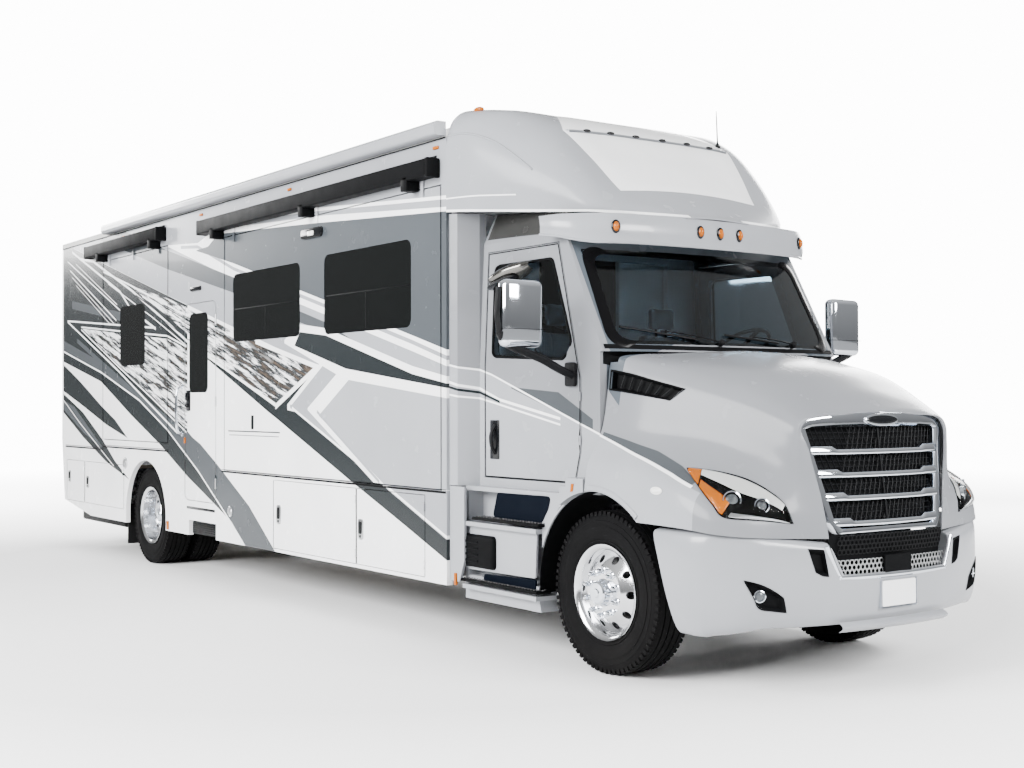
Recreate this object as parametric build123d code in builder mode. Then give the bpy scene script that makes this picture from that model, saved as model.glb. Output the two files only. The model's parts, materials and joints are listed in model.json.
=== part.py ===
"""A long-nosed motorhome: truck cab and chassis, box body with slide-out rooms.

Millimetres. X points forward, Y to the left, Z up, with the ground at Z = 0.
Stations along the cab are offsets from the front axle, and those along the tail
are offsets from the rear axle, so that a longer wheelbase only stretches the middle.
"""
import os
from math import cos, radians, sin, sqrt

from build123d import *

os.makedirs("parts", exist_ok=True)

# ---------------------------------------------------------------- overall sizes
wheelbase = 7700
front_axle_x = 4600
rear_axle_x = front_axle_x - wheelbase
front_overhang = 1385  # front axle to the bumper's face
rear_overhang = 2885  # rear axle to the tail wall
body_width = 2590
cab_width = 2200
half = body_width / 2
cab_half = cab_width / 2
box_setback = 1640  # front axle back to the front of the box body
box_front_x = front_axle_x - box_setback
tail_x = rear_axle_x - rear_overhang
nose_x = front_axle_x + front_overhang

# ---------------------------------------------------------------- heights
skirt_z = 403
floor_z = 1000
floor_t = 60
floor_top = floor_z + floor_t
belt_z = 1087
gutter_z = 3669
roof_z = 3790

# ---------------------------------------------------------------- plates and gaps
wall = 50
slide_plate = 40
glass_t = 8
gap = 6  # round every door and hatch
slide_gap = 8  # round every slide-out room
run = 0.3  # running clearance of skids and hinges
pin_run = 0.05  # running clearance of kingpins and hubs

# ---------------------------------------------------------------- wheels and axles
tyre_r = 520
rim_r = 300
tyre_w = 285
bead_r = 285
wheel_z = tyre_r
arch_gap = 125  # front tyre's tread to the arch's edge
front_wheel_y = 1020
rear_inner_y = 750
rear_outer_y = 1093
kingpin_y = 900
kingpin_r = 25
spindle_r = 45
hub_r = 140
hub_cap_r = 85
rail_y = 430
rail_w = 90
rail_h = 270
rail_web = 10
rail_z = floor_z - rail_h

SIDES = (("left", 1), ("right", -1))


def side_plane(side, outer, depth):
    """Sketch plane on whose extrusion by depth a side panel ends at |Y| = outer."""
    return Plane.XZ.offset(-outer if side > 0 else outer - depth)


def block(rear, front, right, left, low, high, mode=Mode.ADD):
    """A box between six planes, inside the current part."""
    with Locations(((rear + front) / 2, (right + left) / 2, (low + high) / 2)):
        Box(front - rear, left - right, high - low, mode=mode)


def block_on(side, rear, front, inner, outer, low, high, mode=Mode.ADD):
    """A box on one side of the vehicle, with inner and outer as distances from the centre."""
    right, left = sorted((side * inner, side * outer))
    block(rear, front, right, left, low, high, mode)


def rect(rear, front, low, high, grow=0, radius=0, mode=Mode.ADD):
    """A rectangle between four lines, inside the current sketch."""
    with Locations(((rear + front) / 2, (low + high) / 2)):
        if radius:
            RectangleRounded(front - rear + 2 * grow, high - low + 2 * grow, radius, mode=mode)
        else:
            Rectangle(front - rear + 2 * grow, high - low + 2 * grow, mode=mode)


def finish(part, label):
    """Name a finished piece and write it."""
    part.label = label
    export_step(part, f"parts/{label}.step")


# ---------------------------------------------------------------- slide-out rooms
# windows are (rear, front, low, high)
main_slide_rear = box_front_x - 3960
main_slide_front = box_front_x - 73
main_windows = (
    (box_front_x - 3762, box_front_x - 2356, 2312, 2955),
    (box_front_x - 1909, box_front_x - 496, 2305, 2975),
)
rear_slide_rear = rear_axle_x - 1365
rear_slide_front = rear_axle_x + 650
rear_windows = ((rear_axle_x - 800, rear_axle_x - 16, 2155, 2826),)
slide_low, slide_high = belt_z + slide_gap, 3325
rear_slide_low, rear_slide_high = 1322, 3385
main_depth, rear_depth = 900, 640
# how far each room's awning box starts behind the room and stops short of its front
main_awning, rear_awning = (400, 24), (328, 58)
# name, side, rear, front, low, high, depth, height of what it stands on, windows, awning
ROOMS = (
    ("right_front_slide", -1, main_slide_rear, main_slide_front, slide_low, slide_high,
     main_depth, floor_top, main_windows, main_awning),
    ("left_front_slide", 1, main_slide_rear, main_slide_front, slide_low, slide_high,
     main_depth, floor_top, main_windows, main_awning),
    ("right_rear_slide", -1, rear_slide_rear, rear_slide_front, rear_slide_low, rear_slide_high,
     rear_depth, rear_slide_low - slide_gap, rear_windows, rear_awning),
)
skid_l = 40
window_corner = 70
topper_d = 110  # depth and height of an awning box over a slide-out
topper_gap = 75  # above the room's top
bracket_t = 16

for name, side, rear, front, low, high, depth, bed_z, windows, awning in ROOMS:
    with BuildPart() as slide:
        block_on(side, rear, front, half - depth, half, low, high)
        block_on(side, rear + slide_plate, front - slide_plate, half - depth - 1,
                 half - slide_plate, low + slide_plate, high - slide_plate, Mode.SUBTRACT)
        with BuildSketch(side_plane(side, half, slide_plate)):
            for pane in windows:
                rect(*pane, radius=window_corner)
        extrude(amount=slide_plate, mode=Mode.SUBTRACT)
        # skids at its inner edge, which stop short of the wall when the room is out
        for x in (rear + 300, (rear + front) / 2, front - 300):
            block_on(side, x - 30, x + 30, half - depth, half - depth + skid_l, bed_z + run, low)
        # awning box on brackets that stand off the wall
        top_low = high + topper_gap
        block_on(side, rear - awning[0], front - awning[1], half + gap, half + topper_d,
                 top_low, top_low + topper_d)
        for x in (rear + 240, (rear + front) / 2, front - 240):
            block_on(side, x - 15, x + 15, half - 1, half + bracket_t, high - 60, high - 20)
            block_on(side, x - 15, x + 15, half + gap, half + bracket_t, high - 60, top_low + 40)
    finish(slide.part, name)
    with BuildPart() as panes:
        with BuildSketch(side_plane(side, half - 4, glass_t)):
            for pane in windows:
                rect(*pane, radius=window_corner)
        extrude(amount=glass_t)
    finish(panes.part, f"{name}_glass")

# ---------------------------------------------------------------- doors and hatches
# Every side door hangs on outside barrels at its front edge.
barrel_r = 8
barrel_h = 60
leaf_w = 40


def barrels(side, front, face, levels):
    """Hinge barrels just outside a panel, with leaves on the door behind them."""
    axis_x = front + gap / 2
    axis_y = side * (face + barrel_r + run)
    for z in levels:
        with Locations((axis_x, axis_y, z)):
            Cylinder(barrel_r, barrel_h)
        block_on(side, axis_x - leaf_w, axis_x, face - 1, face + barrel_r,
                 z - barrel_h / 2, z + barrel_h / 2)


entry_rear, entry_front = main_slide_rear - 984, main_slide_rear - 200
entry_low, entry_high = 752, 2740
entry_window = (entry_rear + 105, entry_rear + 585, 1840, 2635)
entry_corner = 90
step_well = (entry_rear + 105, entry_front, skirt_z - 1, 556)

with BuildPart() as entry_door:
    with BuildSketch(side_plane(-1, half, wall)):
        rect(entry_rear, entry_front, entry_low, entry_high, grow=-gap, radius=entry_corner - gap)
        rect(*entry_window, radius=window_corner, mode=Mode.SUBTRACT)
    extrude(amount=wall)
    barrels(-1, entry_front - gap, half, (entry_low + 250, (entry_low + entry_high) / 2, entry_high - 250))
finish(entry_door.part, "entry_door")

with BuildPart() as entry_glass:
    with BuildSketch(side_plane(-1, half - 4, glass_t)):
        rect(*entry_window, radius=window_corner)
    extrude(amount=glass_t)
finish(entry_glass.part, "entry_door_glass")

bay_low, bay_high = 430, 1045
tail_bay_low = 545
# name, side, rear, front, low
BAYS = (
    ("right_tail_bay_door", -1, tail_x + 190, tail_x + 862, tail_bay_low),
    ("right_rear_bay_door", -1, tail_x + 870, rear_axle_x - 665, tail_bay_low),
    ("right_middle_bay_door", -1, box_front_x - 2892, box_front_x - 1358, bay_low),
    ("right_front_bay_door", -1, box_front_x - 1358, box_front_x - 300, bay_low),
    ("left_middle_bay_door", 1, box_front_x - 2892, box_front_x - 1358, bay_low),
    ("left_front_bay_door", 1, box_front_x - 1358, box_front_x - 300, bay_low),
)
for name, side, rear, front, low in BAYS:
    with BuildPart() as bay_door:
        block_on(side, rear + gap, front - gap, half - wall, half, low + gap, bay_high - gap)
        barrels(side, front - gap, half, (low + 90, bay_high - 90))
    finish(bay_door.part, name)

# ---------------------------------------------------------------- box body
arch_r = tyre_r + 75
tail_z = 540  # lower edge of the tail wall
tail_rise = 1100  # length of the skirt that climbs to it
tail_tuck = 110  # the tail wall's foot, forward of its face
tuck_z = belt_z + 200
left_windows = (
    (tail_x + 500, tail_x + 1300, 2155, 2826),
    (rear_axle_x - 700, rear_axle_x + 500, 2155, 2826),
)
tail_window = (-500, 500, 2250, 2850)

for name, side in SIDES:
    with BuildPart() as side_wall:
        with BuildSketch(side_plane(side, half, wall)):
            rect(tail_x + wall, box_front_x, skirt_z, gutter_z)
            with Locations((rear_axle_x, wheel_z)):
                Circle(arch_r, mode=Mode.SUBTRACT)
            rect(rear_axle_x - arch_r, rear_axle_x + arch_r, skirt_z - 1, wheel_z, mode=Mode.SUBTRACT)
            with BuildLine():
                Polyline((tail_x, skirt_z - 1), (tail_x + tail_rise, skirt_z - 1),
                         (tail_x + tail_rise, skirt_z), (tail_x + tail_tuck + wall, tail_z),
                         (tail_x + wall, tuck_z), (tail_x, tuck_z), close=True)
            make_face(mode=Mode.SUBTRACT)
            for _, room_side, rear, front, low, high, *_ in ROOMS:
                if room_side == side:
                    rect(rear, front, low, high, grow=slide_gap, mode=Mode.SUBTRACT)
            for _, bay_side, rear, front, low in BAYS:
                if bay_side == side:
                    rect(rear, front, low, bay_high, mode=Mode.SUBTRACT)
            if side < 0:
                rect(entry_rear, entry_front, entry_low, entry_high, radius=entry_corner, mode=Mode.SUBTRACT)
                rect(*step_well, mode=Mode.SUBTRACT)
            else:
                for pane in left_windows:
                    rect(*pane, radius=window_corner, mode=Mode.SUBTRACT)
        extrude(amount=wall)
    finish(side_wall.part, f"{name}_wall")

with BuildPart() as wall_glass:
    with BuildSketch(side_plane(1, half - 4, glass_t)):
        for pane in left_windows:
            rect(*pane, radius=window_corner)
    extrude(amount=glass_t)
    with BuildSketch(Plane.YZ.offset(tail_x + 4)):
        rect(*tail_window, radius=window_corner)
    extrude(amount=glass_t)
finish(wall_glass.part, "wall_glass")

cab_opening = (-850, 850, floor_top, 2850)
bunk_opening = (-1000, 1000, 3190, 3600)

with BuildPart() as end_walls:
    with BuildSketch(Plane.XZ.offset(-half)):
        with BuildLine():
            Polyline((tail_x + tail_tuck, tail_z), (tail_x + tail_tuck + wall, tail_z),
                     (tail_x + wall, tuck_z), (tail_x + wall, gutter_z), (tail_x, gutter_z),
                     (tail_x, tuck_z), close=True)
        make_face()
    extrude(amount=body_width)
    with BuildSketch(Plane.YZ.offset(tail_x - 1)):
        rect(*tail_window, radius=window_corner)
    extrude(amount=wall + 2, mode=Mode.SUBTRACT)
    with BuildSketch(Plane.YZ.offset(box_front_x - wall)):
        rect(wall - half, half - wall, floor_z, gutter_z)
        rect(*cab_opening, mode=Mode.SUBTRACT)
        rect(*bunk_opening, mode=Mode.SUBTRACT)
    extrude(amount=wall)
finish(end_walls.part, "end_walls")

roof_shoulder = 60
with BuildPart() as roof:
    with BuildSketch(Plane.YZ.offset(tail_x)):
        with BuildLine():
            Polyline((half, gutter_z), (half, gutter_z + roof_shoulder), (half - 80, roof_z - 30),
                     (0, roof_z), (80 - half, roof_z - 30), (-half, gutter_z + roof_shoulder),
                     (-half, gutter_z), close=True)
        make_face()
    extrude(amount=box_front_x - tail_x)
finish(roof.part, "roof")

unit_l, unit_w, unit_h = 980, 700, 250
with BuildPart() as roof_units:
    for x in (box_front_x - 1900, rear_axle_x + 900, tail_x + 1400):
        block(x - unit_l / 2, x + unit_l / 2, -unit_w / 2, unit_w / 2, roof_z - 8, roof_z + unit_h)
    fillet(roof_units.edges().filter_by(Axis.Z), 90)
    chamfer(roof_units.faces().sort_by(Axis.Z)[-3:].edges(), 50)
    add(roof.part, mode=Mode.SUBTRACT)
finish(roof_units.part, "roof_units")

awning_rear = rear_axle_x - 1140
awning_d = 105
with BuildPart() as patio_awning:
    block_on(-1, awning_rear, box_front_x, half, half + awning_d, gutter_z + 10, gutter_z + 10 + awning_d)
    fillet(patio_awning.edges().filter_by(Axis.X).sort_by(Axis.Y)[:2], 35)
finish(patio_awning.part, "patio_awning")

# ---------------------------------------------------------------- floor and storage bays
bay_inner = 560
bay_plate = 15
bay_joint = 4  # each storage bay keeps this far from its neighbour
plinth_z = rear_slide_low - slide_gap
plinth_plate = 40
well_half = arch_r + 20
well_gap = 30  # over the rear tyres
well_inner = bay_inner + plinth_plate / 2  # the platform's inner wall stands on the floor
tub_z = 700
tub_step = 330
with BuildPart() as coach_floor:
    block(tail_x + wall + tail_tuck, box_front_x - wall, wall - half, half - wall, floor_z, floor_top)
    for _, side in SIDES:
        block_on(side, rear_axle_x - well_half, rear_axle_x + well_half, well_inner,
                 half - wall, floor_z, floor_top, Mode.SUBTRACT)
    block_on(-1, entry_rear, entry_front, bay_inner + bay_plate, half - wall,
             floor_z, floor_top, Mode.SUBTRACT)
finish(coach_floor.part, "coach_floor")

with BuildPart() as floor_tubs:
    # platforms over the rear wheels, hollow below
    for _, side in SIDES:
        block_on(side, rear_slide_rear, rear_slide_front, bay_inner, half - wall, floor_top, plinth_z)
        block_on(side, rear_slide_rear + plinth_plate, rear_slide_front - plinth_plate,
                 bay_inner + plinth_plate, half - wall - plinth_plate, floor_top,
                 plinth_z - plinth_plate, Mode.SUBTRACT)
        with Locations((rear_axle_x, side * (well_inner + half) / 2, wheel_z)):
            Cylinder(tyre_r + well_gap, half - well_inner, rotation=(90, 0, 0), mode=Mode.SUBTRACT)
    # storage bays under the floor, open to their doors
    for _, side, rear, front, low in BAYS:
        rear, front = rear + bay_joint, front - bay_joint
        block_on(side, rear, front, bay_inner, half - wall, low - bay_plate, floor_z)
        block_on(side, rear + bay_plate, front - bay_plate, bay_inner + bay_plate, half - wall,
                 low, floor_z, Mode.SUBTRACT)
    # entry tub behind the door, with one inner step
    block_on(-1, entry_rear - bay_plate, entry_front + bay_plate, bay_inner, half - wall, tub_z, floor_z)
    block_on(-1, entry_rear, entry_front, bay_inner + bay_plate, half - wall,
             tub_z + bay_plate, floor_z, Mode.SUBTRACT)
    block_on(-1, entry_rear, entry_front, bay_inner + bay_plate, half - wall - tub_step,
             tub_z + bay_plate, (tub_z + floor_top) / 2)
finish(floor_tubs.part, "floor_tubs")

# ---------------------------------------------------------------- chassis
rail_rear, rail_front = tail_x + 170, front_axle_x + 1100
members = (rail_rear + 60, rear_axle_x - 900, rear_axle_x + 900, (rear_axle_x + front_axle_x) / 2,
           front_axle_x - 1700, front_axle_x - 600)
tank_rear, tank_front = front_axle_x - 1450, front_axle_x - 760
receiver = 51
receiver_wall = 7
receiver_z = 480
receiver_l = 260
hitch_pin_r = 8
with BuildPart() as chassis_frame:
    for _, side in SIDES:
        block_on(side, rail_rear, rail_front, rail_y - rail_w / 2, rail_y + rail_w / 2, rail_z, floor_z)
        block_on(side, rail_rear - 1, rail_front + 1, rail_y - rail_w / 2 - 1,
                 rail_y + rail_w / 2 - rail_web, rail_z + rail_web, floor_z - rail_web, Mode.SUBTRACT)
        # outriggers under the floor
        for x in (rail_rear + 300, rear_axle_x + 800, front_axle_x - 5000, front_axle_x - 3000):
            block_on(side, x - 20, x + 20, rail_y + rail_w / 2 - rail_web, bay_inner, floor_z - 90, floor_z)
    for x in members:
        block(x - 30, x + 30, 1 - rail_y, rail_y - 1, floor_z - 110, floor_z - rail_web)
finish(chassis_frame.part, "chassis_frame")

with BuildPart() as fuel_tanks:
    for _, side in SIDES:
        block_on(side, tank_rear, tank_front, 590, 1010, 470, 930)
        for x in (tank_rear + 120, tank_front - 120):
            block_on(side, x - 25, x + 25, rail_y + rail_w / 2, 600, 780, 900)
finish(fuel_tanks.part, "fuel_tanks")

with BuildPart() as tow_receiver:
    # a bar across the frame's tail, hung from both rails
    block(rail_rear, rail_rear + 80, -rail_y, rail_y, receiver_z - 38, receiver_z + 38)
    for _, side in SIDES:
        block_on(side, rail_rear, rail_rear + 80, rail_y - 30, rail_y, receiver_z, rail_z)
    outer = receiver / 2 + receiver_wall
    block(tail_x + 40, tail_x + 40 + receiver_l, -outer, outer, receiver_z - outer, receiver_z + outer)
    block(tail_x + 39, tail_x + 39 + receiver_l - 20, -receiver / 2, receiver / 2,
          receiver_z - receiver / 2, receiver_z + receiver / 2, Mode.SUBTRACT)
    with BuildSketch(Plane.XZ.offset(-60)):
        with Locations((tail_x + 95, receiver_z)):
            Circle(hitch_pin_r)
    extrude(amount=120, mode=Mode.SUBTRACT)
finish(tow_receiver.part, "tow_receiver")

engine_rear, engine_front = front_axle_x - 40, front_axle_x + 800
engine_half, engine_z, engine_top = 320, 800, 1700
radiator_half = rail_y - rail_w / 2 - 10
with BuildPart() as engine_block:
    block(engine_rear, engine_front, -engine_half, engine_half, engine_z, engine_top)
    block(engine_front, engine_front + 120, -150, 150, engine_z + 200, engine_z + 500)
    block(engine_front + 120, engine_front + 220, -radiator_half, radiator_half,
          engine_z + 20, engine_top - 130)
    for _, side in SIDES:
        block_on(side, engine_rear + 200, engine_rear + 320, engine_half - 1, rail_y + rail_w / 2 - rail_web,
                 engine_z + 20, engine_z + 120)
finish(engine_block.part, "engine_block")

# ---------------------------------------------------------------- axles, knuckles and wheels
eye_r, eye_h = 50, 130
fork_t = 25
spring_l, spring_w, spring_t = 1300, 70, 50
front_beam_z = wheel_z - 95


def springs(axle_x, seat_z):
    """Leaf packs on an axle, with hangers up to the frame rails."""
    for _, side in SIDES:
        inner, outer = rail_y - spring_w / 2, rail_y + spring_w / 2
        block_on(side, axle_x - spring_l / 2, axle_x + spring_l / 2, inner, outer, seat_z, seat_z + spring_t)
        for x in (axle_x - spring_l / 2, axle_x + spring_l / 2 - 50):
            block_on(side, x, x + 50, inner, outer, seat_z, rail_z)


with BuildPart() as front_axle:
    block(front_axle_x - 45, front_axle_x + 45, 60 - kingpin_y, kingpin_y - 60,
          front_beam_z - 45, front_beam_z + 45)
    for _, side in SIDES:
        block_on(side, front_axle_x - 40, front_axle_x + 40, kingpin_y - 110, kingpin_y,
                 wheel_z - eye_h / 2, wheel_z + 40)
        with Locations((front_axle_x, side * kingpin_y, wheel_z)):
            Cylinder(eye_r, eye_h)
        block_on(side, front_axle_x - 60, front_axle_x + 60, rail_y - 35, rail_y + 35,
                 front_beam_z, wheel_z - 20)
    springs(front_axle_x, wheel_z - 21)
    with Locations(*[(front_axle_x, side * kingpin_y, wheel_z) for _, side in SIDES]):
        Cylinder(kingpin_r + pin_run, eye_h + 2, mode=Mode.SUBTRACT)
finish(front_axle.part, "front_axle")

diff_r = 190
axle_tube_end = 700
with BuildPart() as rear_axle:
    with Locations((rear_axle_x, 0, wheel_z)):
        Cylinder(65, 2 * axle_tube_end, rotation=(90, 0, 0))
        Sphere(diff_r)
        Cylinder(spindle_r, 2 * (rear_outer_y - 110), rotation=(90, 0, 0))
    springs(rear_axle_x, wheel_z + 50)
    with BuildSketch(Plane.YZ.offset(rear_axle_x)):
        with Locations((0, wheel_z + 40)):
            Circle(45)
    shaft_rise = rail_z + 60 - wheel_z - 40
    shaft_run = engine_rear - rear_axle_x - 10
    extrude(amount=sqrt(shaft_run**2 + shaft_rise**2), dir=(shaft_run, 0, shaft_rise))
finish(rear_axle.part, "rear_axle")

fork_high = eye_h / 2 + run
for name, side in SIDES:
    with BuildPart() as knuckle:
        with Locations((front_axle_x, side * kingpin_y, wheel_z)):
            Cylinder(kingpin_r, eye_h + 2 * fork_t)
        for z in (wheel_z + fork_high, wheel_z - fork_high - fork_t):
            with Locations((front_axle_x, side * kingpin_y, z + fork_t / 2)):
                Cylinder(eye_r, fork_t)
            block_on(side, front_axle_x - eye_r, front_axle_x + eye_r, kingpin_y, kingpin_y + 90,
                     z, z + fork_t)
        block_on(side, front_axle_x - eye_r, front_axle_x + eye_r, kingpin_y + eye_r + 8, kingpin_y + 90,
                 wheel_z - fork_high - fork_t, wheel_z + fork_high + fork_t)
        with BuildSketch(Plane.XZ.offset(-side * (kingpin_y + 85))):
            with Locations((front_axle_x, wheel_z)):
                Circle(spindle_r)
        extrude(amount=-side * 125)
    finish(knuckle.part, f"{name}_knuckle")

flange_w, flange_half = 12, 133
barrel_t = 15
disc_t = 20
tread_half, shoulder_drop = 112, 10
# tyre section: across from the wheel's middle, radius
TYRE = ((flange_half - flange_w - 2, bead_r), (flange_half - flange_w, rim_r + 2),
        (tyre_w / 2 - 2, 355), (tyre_w / 2, 430), (118, tyre_r - shoulder_drop),
        (tread_half - 12, tyre_r))


def ring(side, axle_x, points):
    """Revolve an outline of (|Y|, radius) points about a wheel's axle."""
    with BuildSketch(Plane.YZ.offset(axle_x)) as outline:
        with BuildLine():
            Polyline(*[(side * y, wheel_z + r) for y, r in points], close=True)
        make_face()
    revolve(outline.sketch, axis=Axis((axle_x, 0, wheel_z), (0, 1, 0)))


def tyre(side, axle_x, middle):
    """A tyre on its rim, as a closed ring."""
    outboard = [(middle + y, r) for y, r in TYRE]
    inboard = [(middle - y, r) for y, r in reversed(TYRE)]
    ring(side, axle_x, outboard + inboard)


def barrel(side, axle_x, middle):
    """A rim's barrel with its two flanges."""
    edge, lip = flange_half, flange_half - flange_w
    ring(side, axle_x, ((middle - edge, bead_r - barrel_t), (middle + edge, bead_r - barrel_t),
                        (middle + edge, rim_r), (middle + lip, rim_r), (middle + lip, bead_r),
                        (middle - lip, bead_r), (middle - lip, rim_r), (middle - edge, rim_r)))


hand_holes, hand_hole_r, hand_hole_circle = 10, 24, 215
for name, side in SIDES:
    with BuildPart() as front_tyre:
        tyre(side, front_axle_x, front_wheel_y)
    finish(front_tyre.part, f"front_{name}_tyre")

    with BuildPart() as front_rim:
        barrel(side, front_axle_x, front_wheel_y)
        disc_y = front_wheel_y + 55
        ring(side, front_axle_x, ((disc_y, spindle_r + pin_run), (disc_y, bead_r - barrel_t),
                                  (disc_y + disc_t, bead_r - barrel_t), (disc_y + disc_t, hub_r),
                                  (disc_y + 55, hub_r - 10), (disc_y + 55, hub_cap_r),
                                  (disc_y + 85, hub_cap_r - 15), (disc_y + 85, 0), (disc_y + 38, 0),
                                  (disc_y + 38, spindle_r + pin_run)))
        with BuildSketch(Plane.XZ.offset(-side * (disc_y - 10))):
            with Locations((front_axle_x, wheel_z)):
                with PolarLocations(hand_hole_circle, hand_holes):
                    Circle(hand_hole_r)
        extrude(amount=-side * 60, mode=Mode.SUBTRACT)
    finish(front_rim.part, f"front_{name}_rim")

    with BuildPart() as rear_tyres:
        tyre(side, rear_axle_x, rear_outer_y)
        tyre(side, rear_axle_x, rear_inner_y)
    finish(rear_tyres.part, f"rear_{name}_tyres")

    with BuildPart() as rear_rims:
        barrel(side, rear_axle_x, rear_outer_y)
        barrel(side, rear_axle_x, rear_inner_y)
        disc_y = (rear_outer_y + rear_inner_y) / 2
        ring(side, rear_axle_x, ((rear_inner_y + flange_half - 20, bead_r - barrel_t - 20),
                                 (rear_outer_y - flange_half + 20, bead_r - barrel_t - 20),
                                 (rear_outer_y - flange_half + 20, bead_r - barrel_t),
                                 (rear_inner_y + flange_half - 20, bead_r - barrel_t)))
        ring(side, rear_axle_x, ((disc_y - disc_t, spindle_r + pin_run), (disc_y - disc_t, bead_r - barrel_t),
                                 (disc_y + disc_t, bead_r - barrel_t), (disc_y + disc_t, hub_r),
                                 (disc_y + 70, hub_r - 10), (disc_y + 70, hub_cap_r),
                                 (disc_y + 200, hub_cap_r - 15), (disc_y + 200, 0), (disc_y + 62, 0),
                                 (disc_y + 62, spindle_r + pin_run)))
        with BuildSketch(Plane.XZ.offset(-side * (disc_y - 30))):
            with Locations((rear_axle_x, wheel_z)):
                with PolarLocations(hand_hole_circle, hand_holes):
                    Circle(hand_hole_r)
        extrude(amount=-side * 60, mode=Mode.SUBTRACT)
    finish(rear_rims.part, f"rear_{name}_rims")

# ---------------------------------------------------------------- cab
cab_rear = box_front_x + 145
cab_plate = 60
cab_floor_z = wheel_z + tyre_r + 90
cab_floor_t = 40
cowl_x = front_axle_x - 105  # rear edge of the hood at its sides
cowl_z = 2060
screen_base = front_axle_x + 95  # middle of the windscreen's foot
screen_bow = 180  # how far its corners lie behind its middle
screen_rake = 0.547  # run back for each unit of height
screen_gap = 12
screen_half = cab_half - 100
screen_low, screen_high = 2110, 2760
cap_drop = 0.0885  # slope of the cap's underside
cap_low = 3120


def cap_under(x):
    """Height of the cap's underside at a station."""
    return cap_low - cap_drop * (x - box_front_x)


# cab section: distance from the middle, height
CAB_SIDE = ((cab_half, cab_floor_z), (cab_half, 1990), (cab_half - 40, 2880), (cab_half - 150, cap_low))


def cab_body(inset, rear, low):
    """The cab's outer form, or its inside when inset by the wall."""
    with BuildPart() as form:
        with BuildSketch(Plane.YZ.offset(rear)):
            with BuildLine():
                right = [(inset - y, z) for y, z in CAB_SIDE]
                left = [(y - inset, z) for y, z in reversed(CAB_SIDE)]
                Polyline(*right, *left, close=True)
            make_face()
        extrude(amount=screen_base - rear + 100)
        # windscreen side: everything behind a raked, bowed surface
        with BuildSketch(Plane.XY.offset(cowl_z)) as plan:
            with BuildLine():
                foot = (screen_base - inset, 0)
                corner = screen_base - screen_bow - inset
                ThreePointArc((corner, -cab_half), foot, (corner, cab_half))
                Polyline((corner, cab_half), (rear - 2000, cab_half), (rear - 2000, -cab_half),
                         (corner, -cab_half))
            make_face()
        rise = cap_low - cowl_z
        screen = extrude(plan.sketch, amount=rise * sqrt(1 + screen_rake**2), dir=(-screen_rake, 0, 1),
                         mode=Mode.PRIVATE)
    upper = form.part & screen
    lower = form.part & Pos((rear + cowl_x - inset) / 2, 0, (low + cowl_z) / 2) * Box(
        cowl_x - inset - rear, body_width, cowl_z - low)
    under = Plane.XZ.offset(-half)
    with BuildPart() as lid:
        with BuildSketch(under):
            with BuildLine():
                top = cap_under(rear - 10) - inset
                end = cap_under(nose_x) - inset
                Polyline((rear - 10, top), (nose_x, end), (nose_x, low - 10), (rear - 10, low - 10),
                         close=True)
            make_face()
        extrude(amount=body_width)
    return (upper + lower) & lid.part


cab_outer = cab_body(0, cab_rear, cab_floor_z)
cab_inner = cab_body(cab_plate, cab_rear - 10, cab_floor_z + cab_floor_t)
cab_skin = cab_outer - cab_inner

door_rear, door_front = cab_rear + 60, front_axle_x - 300
door_low, door_high = cab_floor_z + 60, 2820
pillar_z = 1900  # where the door's front edge starts to lean back
door_top_front = front_axle_x - 585
DOOR = ((door_rear, door_low), (door_front - 60, door_low), (door_front, door_low + 210),
        (door_front, pillar_z), (door_top_front, door_high), (door_rear, door_high))
WINDOW = ((door_rear + 100, 2060), (door_front - 190, 2020), (door_front - 110, 2130),
          (door_top_front - 65, 2710), (door_rear + 100, 2710))


def side_prism(side, outline, grow=0, radius=0):
    """A prism through one side of the cab, from an outline of (X, Z) points."""
    with BuildPart() as prism:
        with BuildSketch(Plane.XZ.offset(-half if side > 0 else 0)) as face:
            with BuildLine():
                Polyline(*outline, close=True)
            make_face()
            if grow:
                offset(amount=grow, kind=Kind.INTERSECTION)
            if radius:
                fillet(face.vertices(), radius)
        extrude(amount=half)
    return prism.part


def across(outline, reach=half):
    """A prism right across the vehicle, from an outline of (X, Z) points."""
    with BuildPart() as prism:
        with BuildSketch(Plane.XZ.offset(-reach)):
            with BuildLine():
                Polyline(*outline, close=True)
            make_face()
        extrude(amount=2 * reach)
    return prism.part


window_radius = 60
screen_opening = Pos(screen_base, 0, (screen_low + screen_high) / 2) * Box(
    1600, 2 * screen_half, screen_high - screen_low)
# the windscreen fills the front wall's opening with glass
screen_zone = across(((front_axle_x - 700, screen_high), (front_axle_x - 160, screen_low - 40),
                      (nose_x, screen_low - 40), (nose_x, screen_high)))
cab_shell = cab_skin - (screen_opening & screen_zone)
for _, side in SIDES:
    cab_shell = cab_shell - side_prism(side, DOOR)
with BuildPart() as cab_feet:
    for _, side in SIDES:
        for x in (cab_rear + 200, cowl_x - 200):
            block_on(side, x - 60, x + 60, rail_y - 40, rail_y + 40, floor_z, cab_floor_z)
        # corner panels from the cab's back to the box
        with BuildSketch(Plane.XY.offset(cab_floor_z)):
            with BuildLine():
                Polyline((box_front_x, side * (half - 25)), (box_front_x + 70, side * (half - 50)),
                         (cab_rear, side * cab_half), (cab_rear, side * (cab_half - cab_plate)),
                         (box_front_x + 40, side * (half - 110)), (box_front_x, side * (half - 90)),
                         close=True)
            make_face()
        extrude(amount=cap_under(cab_rear) - cab_floor_z)
    block(box_front_x, cab_rear, 60 - cab_half, cab_half - 60, cab_floor_z, cab_floor_z + cab_floor_t)
finish(cab_shell + cab_feet.part, "cab_shell")

cab_glass_inner = cab_body(glass_t, cab_rear - 10, cab_floor_z)
windshield = (cab_outer - cab_glass_inner) & screen_opening & screen_zone
finish(windshield, "windshield")

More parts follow.
